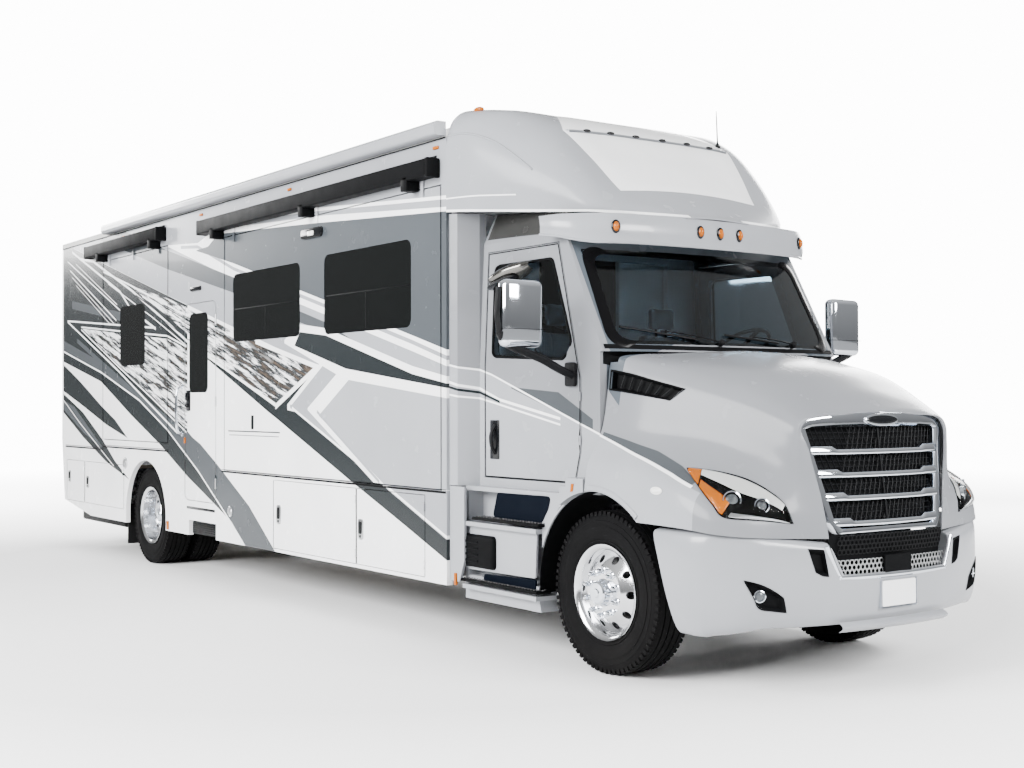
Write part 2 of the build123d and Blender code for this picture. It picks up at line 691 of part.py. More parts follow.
for name, side in SIDES:
    opening = side_prism(side, DOOR, grow=-gap)
    pane = side_prism(side, WINDOW, radius=window_radius)
    with BuildPart() as cab_door:
        add((cab_skin & opening) - pane)
        barrels(side, door_front - gap, cab_half, (door_low + 290, pillar_z - 130))
    finish(cab_door.part, f"{name}_cab_door")
    finish((cab_outer - cab_glass_inner) & pane, f"{name}_cab_door_glass")

# mirrors on the doors: arm root, arm and head
mirror_x = front_axle_x - 390
mirror_inner, mirror_outer = cab_half + 270, cab_half + 610
mirror_low, mirror_high = 2095, 2525
mirror_arm = 60
for name, side in SIDES:
    with BuildPart() as mirror:
        block_on(side, door_front - 140, door_front - 40, cab_half + run, cab_half + 60, 1830, 2000)
        with BuildSketch(Plane.YZ.offset(mirror_x - 30)):
            with BuildLine():
                Polyline((side * (cab_half + 30), 1880), (side * (mirror_inner + 60), 2060),
                         (side * (mirror_inner + 60), 2140), (side * (cab_half + 30), 1960), close=True)
            make_face()
        extrude(amount=mirror_arm)
        block_on(side, mirror_x - 60, mirror_x + 60, mirror_inner, mirror_outer, mirror_low, mirror_high)
        fillet(mirror.edges().filter_by(Axis.Z).sort_by(Axis.X)[-2:], 40)
    finish(mirror.part, f"{name}_mirror")

dash_rear, dash_front = front_axle_x - 500, cowl_x - cab_plate
wheel_x, wheel_y, wheel_top, wheel_tilt = front_axle_x - 450, 500, 2120, 35
steer_r, steer_tube, hub_t = 225, 15, 35
column_r, column_l = 45, 330
steer_plane = Plane(origin=(wheel_x, wheel_y, wheel_top),
                    x_dir=(cos(radians(wheel_tilt)), 0, sin(radians(wheel_tilt))),
                    z_dir=(-sin(radians(wheel_tilt)), 0, cos(radians(wheel_tilt))))
with BuildPart() as dashboard:
    block(dash_rear, dash_front, cab_plate - cab_half, cab_half - cab_plate, 1620, 1960)
    block(dash_front - 120, dash_front, -500, 500, cab_floor_z + cab_floor_t, 1700)
    with BuildSketch(steer_plane.offset(-hub_t - run)):
        Circle(column_r)
    extrude(amount=-column_l)
finish(dashboard.part, "dashboard")

with BuildPart(steer_plane) as steering_wheel:
    Torus(steer_r, steer_tube)
    Box(2 * steer_r, 30, 18)
    Box(30, 2 * steer_r, 18)
    with Locations((0, 0, 15 - hub_t)):
        Cylinder(60, 30)
finish(steering_wheel.part, "steering_wheel")

seat_x, seat_w, seat_y = front_axle_x - 1050, 500, 500
with BuildPart() as cab_seats:
    for _, side in SIDES:
        inner, outer = seat_y - seat_w / 2, seat_y + seat_w / 2
        block_on(side, seat_x - 180, seat_x + 180, seat_y - 180, seat_y + 180,
                 cab_floor_z + cab_floor_t, 1480)
        block_on(side, seat_x - 260, seat_x + 260, inner, outer, 1470, 1620)
        block_on(side, seat_x - 330, seat_x - 200, inner, outer, 1560, 2280)
        block_on(side, seat_x - 320, seat_x - 230, inner + 110, outer - 110, 2270, 2480)
finish(cab_seats.part, "cab_seats")

# ---------------------------------------------------------------- hood
hood_plate = 30
hinge_x, hinge_z, hinge_r = nose_x - 40, 940, 10
grille_half_top, grille_half_foot = 655, 500
grille_back = front_axle_x + 1225
grille_low = 946
slot_edges = ((1035, 1140), (1172, 1277), (1309, 1414), (1446, 1551))
# station ahead of the front axle, then (distance from the middle, height) from the fender's edge up
HOOD = (
    (-93, ((1240, 1000), (1235, 1230), (1110, 1500), (1085, 1880), (850, 2045), (0, 2090))),
    (400, ((1250, 1000), (1245, 1215), (1130, 1430), (1010, 1770), (700, 2010), (0, 2055))),
    (800, ((1240, 1000), (1225, 1190), (1090, 1350), (880, 1620), (640, 1880), (0, 1940))),
    (1050, ((1180, 1000), (1150, 1110), (990, 1240), (770, 1430), (620, 1730), (0, 1805))),
    (1225, ((900, 1000), (850, 1060), (790, 1150), (700, 1350), (640, 1590), (0, 1672))),
)


def hood_form(inset, rear_shift=0, front_shift=0, low_shift=0):
    """Ruled loft through the hood's sections, or through the same ones drawn in by a plate."""
    with BuildPart() as form:
        for count, (station, half_section) in enumerate(HOOD):
            shift = rear_shift if count == 0 else front_shift if count == len(HOOD) - 1 else 0
            with BuildSketch(Plane.YZ.offset(front_axle_x + station + shift)):
                with BuildLine():
                    points = [(y - inset if y else 0, z - (inset if n else low_shift))
                              for n, (y, z) in enumerate(half_section)]
                    Polyline(*points, *[(-y, z) for y, z in reversed(points[:-1])], close=True)
                make_face()
        loft(ruled=True)
    return form.part


hood_outer = hood_form(0)
hood_inner = hood_form(hood_plate, rear_shift=-1, front_shift=-hood_plate, low_shift=1)
with BuildPart() as arches:
    with Locations((front_axle_x, 0, wheel_z)):
        Cylinder(tyre_r + arch_gap, 2 * half, rotation=(90, 0, 0))

# lamp outline seen from ahead: distance from the middle, height
LAMP = ((746, 1022), (1000, 1030), (1150, 1070), (1260, 1190), (1260, 1350), (1050, 1262), (850, 1135))
with BuildPart() as lamp_prisms:
    for _, side in SIDES:
        with BuildSketch(Plane.YZ.offset(front_axle_x + 700)):
            with BuildLine():
                Polyline(*[(side * y, z) for y, z in LAMP], close=True)
            make_face()
        extrude(amount=600)
with BuildPart() as screen_foot:
    with BuildSketch(Plane.XY.offset(cowl_z - 80)):
        with BuildLine():
            corner = screen_base - screen_bow + screen_gap
            ThreePointArc((corner, -cab_half), (screen_base + screen_gap, 0), (corner, cab_half))
            Polyline((corner, cab_half), (cab_rear, cab_half), (cab_rear, -cab_half), (corner, -cab_half))
        make_face()
    extrude(amount=200)
with BuildPart() as hood:
    add(hood_outer - hood_inner - arches.part - lamp_prisms.part - screen_foot.part)
    # air opening behind the grille
    with BuildSketch(Plane.YZ.offset(front_axle_x + 1100)):
        rect(-470, 470, slot_edges[0][0], slot_edges[-1][1])
    extrude(amount=200, mode=Mode.SUBTRACT)
finish(hood.part, "hood")

lamp_depth = 90
lamp_inner = hood_form(lamp_depth, rear_shift=-1, front_shift=-lamp_depth, low_shift=1)
finish((hood_outer & lamp_prisms.part) - lamp_inner, "headlights")

grille_top = 1672
GRILLE = ((grille_back, grille_low), (nose_x - 36, grille_low), (front_axle_x + 1246, grille_top),
          (grille_back, grille_top))
with BuildPart() as grille:
    with BuildSketch(Plane.XZ.offset(-half)):
        with BuildLine():
            Polyline(*GRILLE, close=True)
        make_face()
    extrude(amount=body_width)
    with BuildSketch(Plane.YZ.offset(grille_back - 1)):
        with BuildLine():
            Polyline((-grille_half_foot, grille_low), (grille_half_foot, grille_low), (grille_half_top, 1600),
                     (grille_half_top - 90, grille_top), (90 - grille_half_top, grille_top),
                     (-grille_half_top, 1600),
                     close=True)
        make_face()
        for low, high in slot_edges:
            reach = grille_half_foot - 62 + (low - grille_low) * 0.235
            rect(-reach, reach, low, high, mode=Mode.SUBTRACT)
    extrude(amount=250, mode=Mode.INTERSECT)
    for _, side in SIDES:
        with Locations((hinge_x, side * 300, hinge_z)):
            Cylinder(hinge_r, 80, rotation=(90, 0, 0))
finish(grille.part, "grille")

# ---------------------------------------------------------------- bumper, visor, steps and cap
bumper_low, bumper_high = 385, 985
bumper_mid_high = hinge_z - hinge_r - run
bumper_t = 45
# distance ahead of the front axle, distance from the middle
BUMPER = ((570, 1250), (800, 1250), (1000, 1200), (1190, 1000), (1330, 600), (1385, 0))
with BuildPart() as front_bumper:
    with BuildSketch(Plane.XY.offset(bumper_low)):
        with BuildLine():
            right = [(front_axle_x + x, -y) for x, y in BUMPER]
            left = [(front_axle_x + x, y) for x, y in reversed(BUMPER[:-1])]
            Polyline(*right, *left, close=True)
        make_face()
        with BuildLine():
            right = [(front_axle_x + x - (bumper_t if n else 1), bumper_t - y)
                     for n, (x, y) in enumerate(BUMPER[:-1])]
            left = [(x, -y) for x, y in reversed(right)]
            Polyline(*right, (nose_x - bumper_t, 0), *left, close=True)
        make_face(mode=Mode.SUBTRACT)
    extrude(amount=bumper_high - bumper_low)
    add(arches.part, mode=Mode.SUBTRACT)
    block(front_axle_x + 1100, nose_x + 1, -620, 620, bumper_mid_high, bumper_high + 1, Mode.SUBTRACT)
    block(front_axle_x + 1100, nose_x + 1, -450, 450, 705, 900, Mode.SUBTRACT)
    for _, side in SIDES:
        block_on(side, rail_front, nose_x - bumper_t, rail_y + 40, rail_y + 100, 740, 900)
        block_on(side, rail_front, rail_front + 30, rail_y - 40, rail_y + 100, 740, 900)
finish(front_bumper.part, "front_bumper")

visor_t = 30
visor_low, visor_high = 2795, 2990
visor_lean = 0.25  # forward run for each unit down
# distance ahead of the front axle, distance from the middle
VISOR = ((-640, 1175), (-470, 1130), (-300, 1000), (-215, 850), (-160, 450), (-150, 0))
with BuildPart() as sun_visor:
    with BuildSketch(Plane.XY.offset(visor_high)):
        with BuildLine():
            right = [(front_axle_x + x, -y) for x, y in VISOR]
            left = [(front_axle_x + x, y) for x, y in reversed(VISOR[:-1])]
            inner = [(x - visor_t, y) for x, y in reversed(right + left)]
            Polyline(*right, *left, *inner, close=True)
        make_face()
    extrude(amount=(visor_high - visor_low) * sqrt(1 + visor_lean**2), dir=(visor_lean, 0, -1))
    for _, side in SIDES:
        block_on(side, front_axle_x - 560, front_axle_x - 200, 600, 640, visor_high - 60, visor_high - 30)
    add(cab_outer, mode=Mode.SUBTRACT)
    # its lower edge climbs towards the tails, clear of the doors
    add(across(((front_axle_x - 700, visor_low + 95), (front_axle_x - 240, visor_low),
                (front_axle_x - 240, visor_low - 10), (front_axle_x - 700, visor_low - 10))),
        mode=Mode.SUBTRACT)
finish(sun_visor.part, "sun_visor")

# station ahead of the box, then (distance from the middle, height) from the lower edge up
CAP = (
    (0, ((half, 3120), (half, 3620), (1220, 3800), (1020, 3900), (0, 3900))),
    (440, ((1150, 3083), (1190, 3500), (1120, 3730), (950, 3840), (0, 3820))),
    (740, ((1060, 3055), (1100, 3400), (1050, 3600), (830, 3680), (0, 3690))),
    (1010, ((985, 3031), (1000, 3220), (950, 3380), (780, 3430), (0, 3460))),
    (1230, ((865, 3012), (860, 3060), (800, 3120), (650, 3170), (0, 3220))),
    (1480, ((300, 2990), (280, 2995), (250, 3000), (200, 3005), (0, 3010))),
)
cap_plate = 45


def cap_form(sections, inset, rear_shift=0):
    """Ruled loft through the cap's sections, drawn in by a plate where asked."""
    with BuildPart() as form:
        for count, (station, half_section) in enumerate(sections):
            with BuildSketch(Plane.YZ.offset(box_front_x + station + (0 if count else rear_shift))):
                with BuildLine():
                    points = [(y - inset if y else 0, z - inset if n else z + inset)
                              for n, (y, z) in enumerate(half_section)]
                    Polyline(*points, *[(-y, z) for y, z in reversed(points[:-1])], close=True)
                make_face()
        loft(ruled=True)
    return form.part


front_cap = cap_form(CAP, 0) - cap_form(CAP[:4], cap_plate, rear_shift=-1)
finish(front_cap, "front_cap")

step_rear, step_front = cab_rear - 35, front_axle_x - 560
step_low, step_high = 320, cab_floor_z
quarter_rear = door_front + 2 * gap  # the panel behind the front wheel, beside the door
quarter_high = cab_floor_z + 110
step_inner, step_outer = 1050, 1200
tread_outer = 1255
treads = (430, 880)
tread_t = 30
with BuildPart() as step_fairings:
    for _, side in SIDES:
        block_on(side, step_rear, cowl_x, step_inner, step_outer, step_low, step_high)
        block_on(side, step_rear + 40, step_front - 40, step_inner + 25, step_outer + 1,
                 treads[1], step_high - 30, Mode.SUBTRACT)
        block_on(side, step_rear + 40, step_front - 40, step_inner + 60, step_outer + 1,
                 treads[0] + 60, treads[1] - tread_t, Mode.SUBTRACT)
        block_on(side, cowl_x - 250, cowl_x, cab_half, half - 50, step_high - 20, door_low - gap)
        block_on(side, cowl_x - 250, cowl_x, step_outer - 1, half - 50, 800, door_low - gap)
        block_on(side, quarter_rear, cowl_x, cab_half, half - 50, door_low - gap - 1, quarter_high)
    add(arches.part, mode=Mode.SUBTRACT)
    for _, side in SIDES:
        for z in treads:
            block_on(side, step_rear + 40, step_front - 40, step_inner + 20, tread_outer, z - tread_t, z)
finish(step_fairings.part, "step_fairings")
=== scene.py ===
"""The looks of a long-nosed motorhome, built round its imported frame.

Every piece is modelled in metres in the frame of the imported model: X forwards, Y to the left,
Z up, with the origin on the ground under the middle of the vehicle.
"""

import json
import logging
import math
from collections.abc import Callable, Sequence
from dataclasses import dataclass
from enum import Enum

import bmesh
import bpy
from mathutils import Matrix, Vector
from mathutils.bvhtree import BVHTree

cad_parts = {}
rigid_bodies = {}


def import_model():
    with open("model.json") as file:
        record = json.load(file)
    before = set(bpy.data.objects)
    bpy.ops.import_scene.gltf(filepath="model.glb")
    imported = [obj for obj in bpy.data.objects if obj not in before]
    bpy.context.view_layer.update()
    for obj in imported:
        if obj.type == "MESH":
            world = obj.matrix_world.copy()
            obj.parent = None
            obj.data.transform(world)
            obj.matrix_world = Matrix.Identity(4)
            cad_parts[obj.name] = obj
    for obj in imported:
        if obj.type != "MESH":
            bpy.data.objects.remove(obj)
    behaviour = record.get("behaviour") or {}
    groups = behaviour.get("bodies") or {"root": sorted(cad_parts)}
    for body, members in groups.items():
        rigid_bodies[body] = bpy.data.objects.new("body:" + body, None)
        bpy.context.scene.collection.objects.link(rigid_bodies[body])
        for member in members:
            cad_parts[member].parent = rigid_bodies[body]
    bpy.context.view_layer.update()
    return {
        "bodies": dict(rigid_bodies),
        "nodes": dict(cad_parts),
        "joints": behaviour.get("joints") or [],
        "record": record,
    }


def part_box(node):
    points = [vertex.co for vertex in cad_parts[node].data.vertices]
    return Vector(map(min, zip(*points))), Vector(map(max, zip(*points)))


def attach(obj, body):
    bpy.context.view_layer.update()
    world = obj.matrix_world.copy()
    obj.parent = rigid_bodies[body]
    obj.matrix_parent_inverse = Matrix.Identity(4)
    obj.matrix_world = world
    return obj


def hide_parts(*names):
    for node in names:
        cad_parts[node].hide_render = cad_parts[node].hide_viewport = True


log = logging.getLogger("motorhome")

Colour = tuple[float, float, float]
Point2 = tuple[float, float]
Point3 = tuple[float, float, float]
Section = tuple[Point2, ...]
Place = Callable[[float, float], Vector]
Lift = Callable[[Point2, float], Vector]
BMesh = bmesh.types.BMesh
Piece = bpy.types.Object
Node = bpy.types.Node
NodeTree = bpy.types.NodeTree
Socket = bpy.types.NodeSocket

# The height that the top of a band's curve stands for, and how steeply a band starts and ends, per metre.
CURVE_TOP = 4.0
EDGE_SHARPNESS = 400.0
# Colours that lie over or inside a finish. The cab's dark lining is also painted shade inside the cab.
CAB_LINING_AND_SHADE = (0.060, 0.072, 0.085)
ROAD_DUST = (0.33, 0.30, 0.26)
BRAKE_DUST = (0.25, 0.23, 0.20)
# How near two points of a mesh are to be one, in metres.
SAME = 1e-5


class Tone(Enum):
    """The paint colours of the body, in linear light. Two of them are painted shade: a darker copy of the silver, and a
    near-black under the cap.
    """

    WHITE = (0.88, 0.885, 0.895)
    SILVER = (0.27, 0.28, 0.30)
    PANEL = (0.29, 0.30, 0.32)
    GREY = (0.050, 0.057, 0.064)
    MID = (0.052, 0.058, 0.064)
    SLATE = (0.011, 0.014, 0.0155)
    # A darker copy of the silver paint for the cab and hood: painted shade on the hood's top and the cab.
    SHADED_SILVER = (0.185, 0.192, 0.206)
    RUST = (0.070, 0.052, 0.040)
    # Painted shade: the cab's side under the cap's overhang.
    SHADE = (0.030, 0.030, 0.029)


def clamp(value: float, low: float = 0.0, high: float = 1.0) -> float:
    """Returns value held between low and high."""
    return max(low, min(high, value))


# --------------------------------------------------------------------------------------
# Shader building
# --------------------------------------------------------------------------------------


@dataclass
class Graph:
    """A node tree being filled, with short calls for the nodes that the finishes need.

    Args:
        tree: The node tree of a material or of a group.
    """

    tree: NodeTree

    def feed(self, socket: Socket, value: object) -> None:
        """Links value to socket if it is an output, and otherwise sets it there.

        Args:
            socket: The input.
            value: An output, or the input's own value.
        """
        if isinstance(value, Socket):
            self.tree.links.new(value, socket)
        elif isinstance(value, tuple) and len(value) == 3 and socket.type == "RGBA":
            socket.default_value = (*value, 1.0)
        else:
            socket.default_value = value

    def add(self, kind: str, settings: dict | None = None, **inputs: object) -> Node:
        """Adds a node.

        Args:
            kind: The node's type name, without the leading "ShaderNode".
            settings: Values for the node's own properties.
            inputs: A value or an output for each socket, with _ in place of a space.

        Returns:
            The new node.
        """
        node = self.tree.nodes.new("ShaderNode" + kind)
        for name, value in (settings or {}).items():
            setattr(node, name, value)
        for name, value in inputs.items():
            self.feed(node.inputs[name.replace("_", " ")], value)
        return node

    def math(self, operation: str, a: object, b: object = 0.0, clamped: bool = False) -> Socket:
        """Returns the output of a Math node on a and b.

        Args:
            operation: The node's operation.
            a: The first value or output.
            b: The second value or output.
            clamped: Whether the result is held between 0 and 1.

        Returns:
            The output.
        """
        node = self.tree.nodes.new("ShaderNodeMath")
        node.operation = operation
        node.use_clamp = clamped
        self.feed(node.inputs[0], a)
        self.feed(node.inputs[1], b)
        return node.outputs[0]

    def mix(self, factor: object, a: object, b: object) -> Socket:
        """Returns the colour that goes from a to b as factor goes from 0 to 1.

        Args:
            factor: The share of b.
            a: The colour at 0.
            b: The colour at 1.

        Returns:
            The output.
        """
        node = self.tree.nodes.new("ShaderNodeMix")
        node.data_type = "RGBA"
        for socket, value in zip((node.inputs[0], node.inputs[6], node.inputs[7]), (factor, a, b)):
            self.feed(socket, value)
        return node.outputs[2]

    def place(self) -> Socket:
        """Returns the object coordinates, which are the frame's own metres."""
        return self.add("TexCoord").outputs["Object"]

    def noise(self, scale: float, detail: float = 3.0, at: object = None, rough: float = 0.5) -> Socket:
        """Returns a noise value about 0.5 at the given scale.

        Args:
            scale: How fine it is, per metre.
            detail: How many finer layers it has.
            at: Coordinates in place of the object's own.
            rough: How strong the finer layers are.

        Returns:
            The output.
        """
        made = self.add("TexNoise", None, Scale=scale, Detail=detail, Roughness=rough)
        self.feed(made.inputs["Vector"], at if at is not None else self.place())
        return made.outputs["Fac"]

    def ramp(self, value: object, low: float, high: float, start: float = 0.0, end: float = 1.0) -> Socket:
        """Returns value mapped from low..high to start..end and held there.

        Args:
            value: The value or output.
            low: The value that gives start.
            high: The value that gives end.
            start: The result at and below low.
            end: The result at and above high.

        Returns:
            The output.
        """
        node = self.add("MapRange", {"clamp": True}, Value=value)
        for name, number in zip(("From Min", "From Max", "To Min", "To Max"), (low, high, start, end)):
            node.inputs[name].default_value = number
        return node.outputs[0]

    def bump(self, height: object, strength: float, distance: float) -> Socket:
        """Returns a normal that a height disturbs."""
        return self.add("Bump", None, Height=height, Strength=strength, Distance=distance).outputs[0]

    def reach(self, a: object, b: object) -> Socket:
        """Returns the distance from the middle, of a and b at right angles."""
        return self.math("SQRT", self.math("ADD", self.math("POWER", a, 2.0), self.math("POWER", b, 2.0)))


def new_group(name: str, sockets: Sequence[tuple[str, str, str, object]]) -> tuple[NodeTree, Graph]:
    """Makes an empty shader node group.

    Args:
        name: The group's name.
        sockets: For each socket its name, "INPUT" or "OUTPUT", its type and its default value.

    Returns:
        The group and a Graph on it.
    """
    tree = bpy.data.node_groups.new(name, "ShaderNodeTree")
    for label, way, kind, value in sockets:
        made = tree.interface.new_socket(label, in_out=way, socket_type="NodeSocket" + kind)
        if value is not None:
            made.default_value = value
    return tree, Graph(tree)


def ends(graph: Graph) -> tuple[Node, Node]:
    """Returns the new input and output nodes of a group."""
    return graph.tree.nodes.new("NodeGroupInput"), graph.tree.nodes.new("NodeGroupOutput")


class Effects:
    """The node groups that several finishes share."""

    def __init__(self) -> None:
        """Builds the groups for road dust, fine texture and edge wear."""
        self.dust = self._dust()
        self.texture = self._texture()
        self.wear = self._wear()

    @staticmethod
    def _dust() -> NodeTree:
        """Returns the group that gives a low, cloudy mask of road dust.

        Returns:
            The group.
        """
        tree, graph = new_group("Road dust", [
            ("Scale", "INPUT", "Float", 3.0),
            ("Height", "INPUT", "Float", 1.0),
            ("Amount", "INPUT", "Float", 0.2),
            ("Mask", "OUTPUT", "Float", None),
        ])
        source, sink = ends(graph)
        place = graph.place()
        cloud = graph.add("TexNoise", None, Detail=5.0, Vector=place, Scale=source.outputs["Scale"])
        height = graph.add("SeparateXYZ", None, Vector=place).outputs["Z"]
        low = graph.math("SUBTRACT", 1.0, graph.math("DIVIDE", height, source.outputs["Height"], True), True)
        patch = graph.ramp(cloud.outputs["Fac"], 0.35, 0.75)
        mask = graph.math("MULTIPLY", graph.math("MULTIPLY", low, patch), source.outputs["Amount"])
        graph.tree.links.new(mask, sink.inputs["Mask"])
        return tree

    @staticmethod
    def _texture() -> NodeTree:
        """Returns the group that gives a height for orange peel, moulded grain or cast skin.

        Returns:
            The group.
        """
        tree, graph = new_group("Fine texture", [
            ("Scale", "INPUT", "Float", 100.0),
            ("Grain", "INPUT", "Float", 0.5),
            ("Height", "OUTPUT", "Float", None),
            ("Shade", "OUTPUT", "Float", None),
        ])
        source, sink = ends(graph)
        place = graph.place()
        soft = graph.add("TexNoise", None, Vector=place, Scale=source.outputs["Scale"], Detail=2.0)
        pits = graph.add("TexVoronoi", None, Vector=place, Scale=source.outputs["Scale"])
        pit = graph.ramp(pits.outputs["Distance"], 0.0, 0.6)
        height = graph.add("Mix", {"data_type": "FLOAT"}, Factor=source.outputs["Grain"])
        graph.feed(height.inputs[2], soft.outputs["Fac"])
        graph.feed(height.inputs[3], pit)
        broad = graph.noise(1.3, 4.0, place)
        graph.tree.links.new(height.outputs[0], sink.inputs["Height"])
        graph.tree.links.new(graph.ramp(broad, 0.3, 0.7, 0.94, 1.04), sink.inputs["Shade"])
        return tree

    @staticmethod
    def _wear() -> NodeTree:
        """Returns the group that finds worn convex edges, broken up by noise.

        Returns:
            The group.
        """
        tree, graph = new_group("Edge wear", [
            ("Amount", "INPUT", "Float", 0.5),
            ("Mask", "OUTPUT", "Float", None),
        ])
        source, sink = ends(graph)
        edge = graph.add("NewGeometry").outputs["Pointiness"]
        ridge = graph.ramp(edge, 0.51, 0.58)
        broken = graph.ramp(graph.noise(38.0, 5.0), 0.42, 0.62)
        mask = graph.math("MULTIPLY", graph.math("MULTIPLY", ridge, broken), source.outputs["Amount"])
        graph.tree.links.new(mask, sink.inputs["Mask"])
        return tree


@dataclass(frozen=True)
class Finish:
    """A plain finish: one base colour with its own small variation, grain, dust and wear.

    Args:
        name: The material's name.
        colour: Base colour in linear light.
        rough: Roughness.
        metal: Metallic share.
        coat: Weight of a clear coat.
        grain_scale: How fine the bump is, per metre.
        grain: Share of pits against soft noise in the bump.
        relief: Strength of the bump.
        dust: Share of road dust low on the piece.
        wear: Share of worn edges.
        worn: Colour under the wear.
        shine: Specular level.
    """

    name: str
    colour: Colour
    rough: float = 0.5
    metal: float = 0.0
    coat: float = 0.0
    grain_scale: float = 300.0
    grain: float = 0.4
    relief: float = 0.1
    dust: float = 0.0
    wear: float = 0.0
    worn: Colour = (0.30, 0.30, 0.31)
    shine: float = 0.4

    def start(self) -> tuple[bpy.types.Material, Graph, Node]:
        """Returns a new material, its graph and its shader with the constants set.

        Returns:
            The material, its graph and its shader.
        """
        material = bpy.data.materials.new(self.name)
        material.use_nodes = True
        material.diffuse_color = (*self.colour, 1.0)
        graph = Graph(material.node_tree)
        shader = material.node_tree.nodes["Principled BSDF"]
        for socket, value in (("Metallic", self.metal), ("Coat Weight", self.coat), ("Coat Roughness", 0.04),
                              ("Specular IOR Level", self.shine)):
            shader.inputs[socket].default_value = value
        return material, graph, shader

    def colouring(self, graph: Graph) -> object:
        """Returns the colour before dust and wear."""
        return self.colour

    def build(self, effects: Effects) -> bpy.types.Material:
        """Builds the material.

        Args:
            effects: The shared node groups.

        Returns:
            The material.
        """
        material, graph, shader = self.start()
        texture = graph.add("Group", {"node_tree": effects.texture}, Scale=self.grain_scale, Grain=self.grain)
        tinted = graph.add("HueSaturation", None, Color=self.colouring(graph), Value=texture.outputs["Shade"])
        colour = tinted.outputs[0]
        rough = graph.ramp(graph.noise(7.0, 4.0), 0.3, 0.7, self.rough * 0.94, min(1.0, self.rough * 1.07))
        if self.wear:
            worn = graph.add("Group", {"node_tree": effects.wear}, Amount=self.wear).outputs["Mask"]
            colour = graph.mix(worn, colour, self.worn)
        if self.dust:
            dusty = graph.add("Group", {"node_tree": effects.dust}, Amount=self.dust).outputs["Mask"]
            colour = graph.mix(dusty, colour, ROAD_DUST)
            rough = graph.math("ADD", rough, graph.math("MULTIPLY", dusty, 0.3), True)
        graph.feed(shader.inputs["Base Color"], colour)
        graph.feed(shader.inputs["Roughness"], rough)
        graph.feed(shader.inputs["Normal"], graph.bump(texture.outputs["Height"], self.relief, 0.001))
        return material


@dataclass(frozen=True)
class Band:
    """One painted shape on the side: what lies between two lines over a stretch of X.

    Args:
        tone: Its colour.
        upper: Points (X, Z) of its upper line.
        lower: Points (X, Z) of its lower line, over the same stretch.
    """

    tone: Tone
    upper: Section
    lower: Section

    def line(self, graph: Graph, share: Socket, points: Section) -> Socket:
        """Returns the height of one line where share runs from 0 to 1 over the band.

        Args:
            graph: Where the nodes go.
            share: How far along the band.
            points: The line's points.

        Returns:
            The line's height, in metres.
        """
        start, stop = self.upper[0][0], self.upper[-1][0]
        node = graph.add("FloatCurve", None, Value=share)
        curve = node.mapping.curves[0]
        while len(curve.points) < len(points):
            curve.points.new(0.5, 0.5)
        for spot, (x, z) in zip(curve.points, points):
            spot.location = ((x - start) / (stop - start), z / CURVE_TOP)
            spot.handle_type = "VECTOR"
        node.mapping.update()
        return graph.math("MULTIPLY", node.outputs[0], CURVE_TOP)

    def mask(self, graph: Graph, x: Socket, z: Socket,
             inside: NodeTree) -> Socket:
        """Returns 1 inside the band and 0 outside.

        Args:
            graph: Where the nodes go.
            x: Distance forwards.
            z: Height.
            inside: The group that compares a height with two lines.

        Returns:
            The mask.
        """
        start, stop = self.upper[0][0], self.upper[-1][0]
        share = graph.math("DIVIDE", graph.math("SUBTRACT", x, start), stop - start)
        held = graph.math("MINIMUM", graph.math("MAXIMUM", share, 0.0), 1.0)
        node = graph.add("Group", {"node_tree": inside}, Share=share, Height=z)
        graph.feed(node.inputs["Upper"], self.line(graph, held, self.upper))
        graph.feed(node.inputs["Lower"], self.line(graph, held, self.lower))
        return node.outputs["Mask"]


def inside_group() -> NodeTree:
    """Returns the group that tells whether a height is between two lines.

    Returns:
        The group.
    """
    tree, graph = new_group("Between lines", [
        ("Share", "INPUT", "Float", 0.0),
        ("Height", "INPUT", "Float", 0.0),
        ("Upper", "INPUT", "Float", 1.0),
        ("Lower", "INPUT", "Float", 0.0),
        ("Mask", "OUTPUT", "Float", None),
    ])
    source, sink = ends(graph)
    height, share = source.outputs["Height"], source.outputs["Share"]
    below = graph.math("MULTIPLY", graph.math("SUBTRACT", source.outputs["Upper"], height), EDGE_SHARPNESS, True)
    above = graph.math("MULTIPLY", graph.math("SUBTRACT", height, source.outputs["Lower"]), EDGE_SHARPNESS, True)
    after = graph.math("GREATER_THAN", share, 0.0)
    before = graph.math("LESS_THAN", share, 1.0)
    mask = graph.math("MULTIPLY", graph.math("MULTIPLY", below, above), graph.math("MULTIPLY", after, before))
    graph.tree.links.new(mask, sink.inputs["Mask"])
    return tree


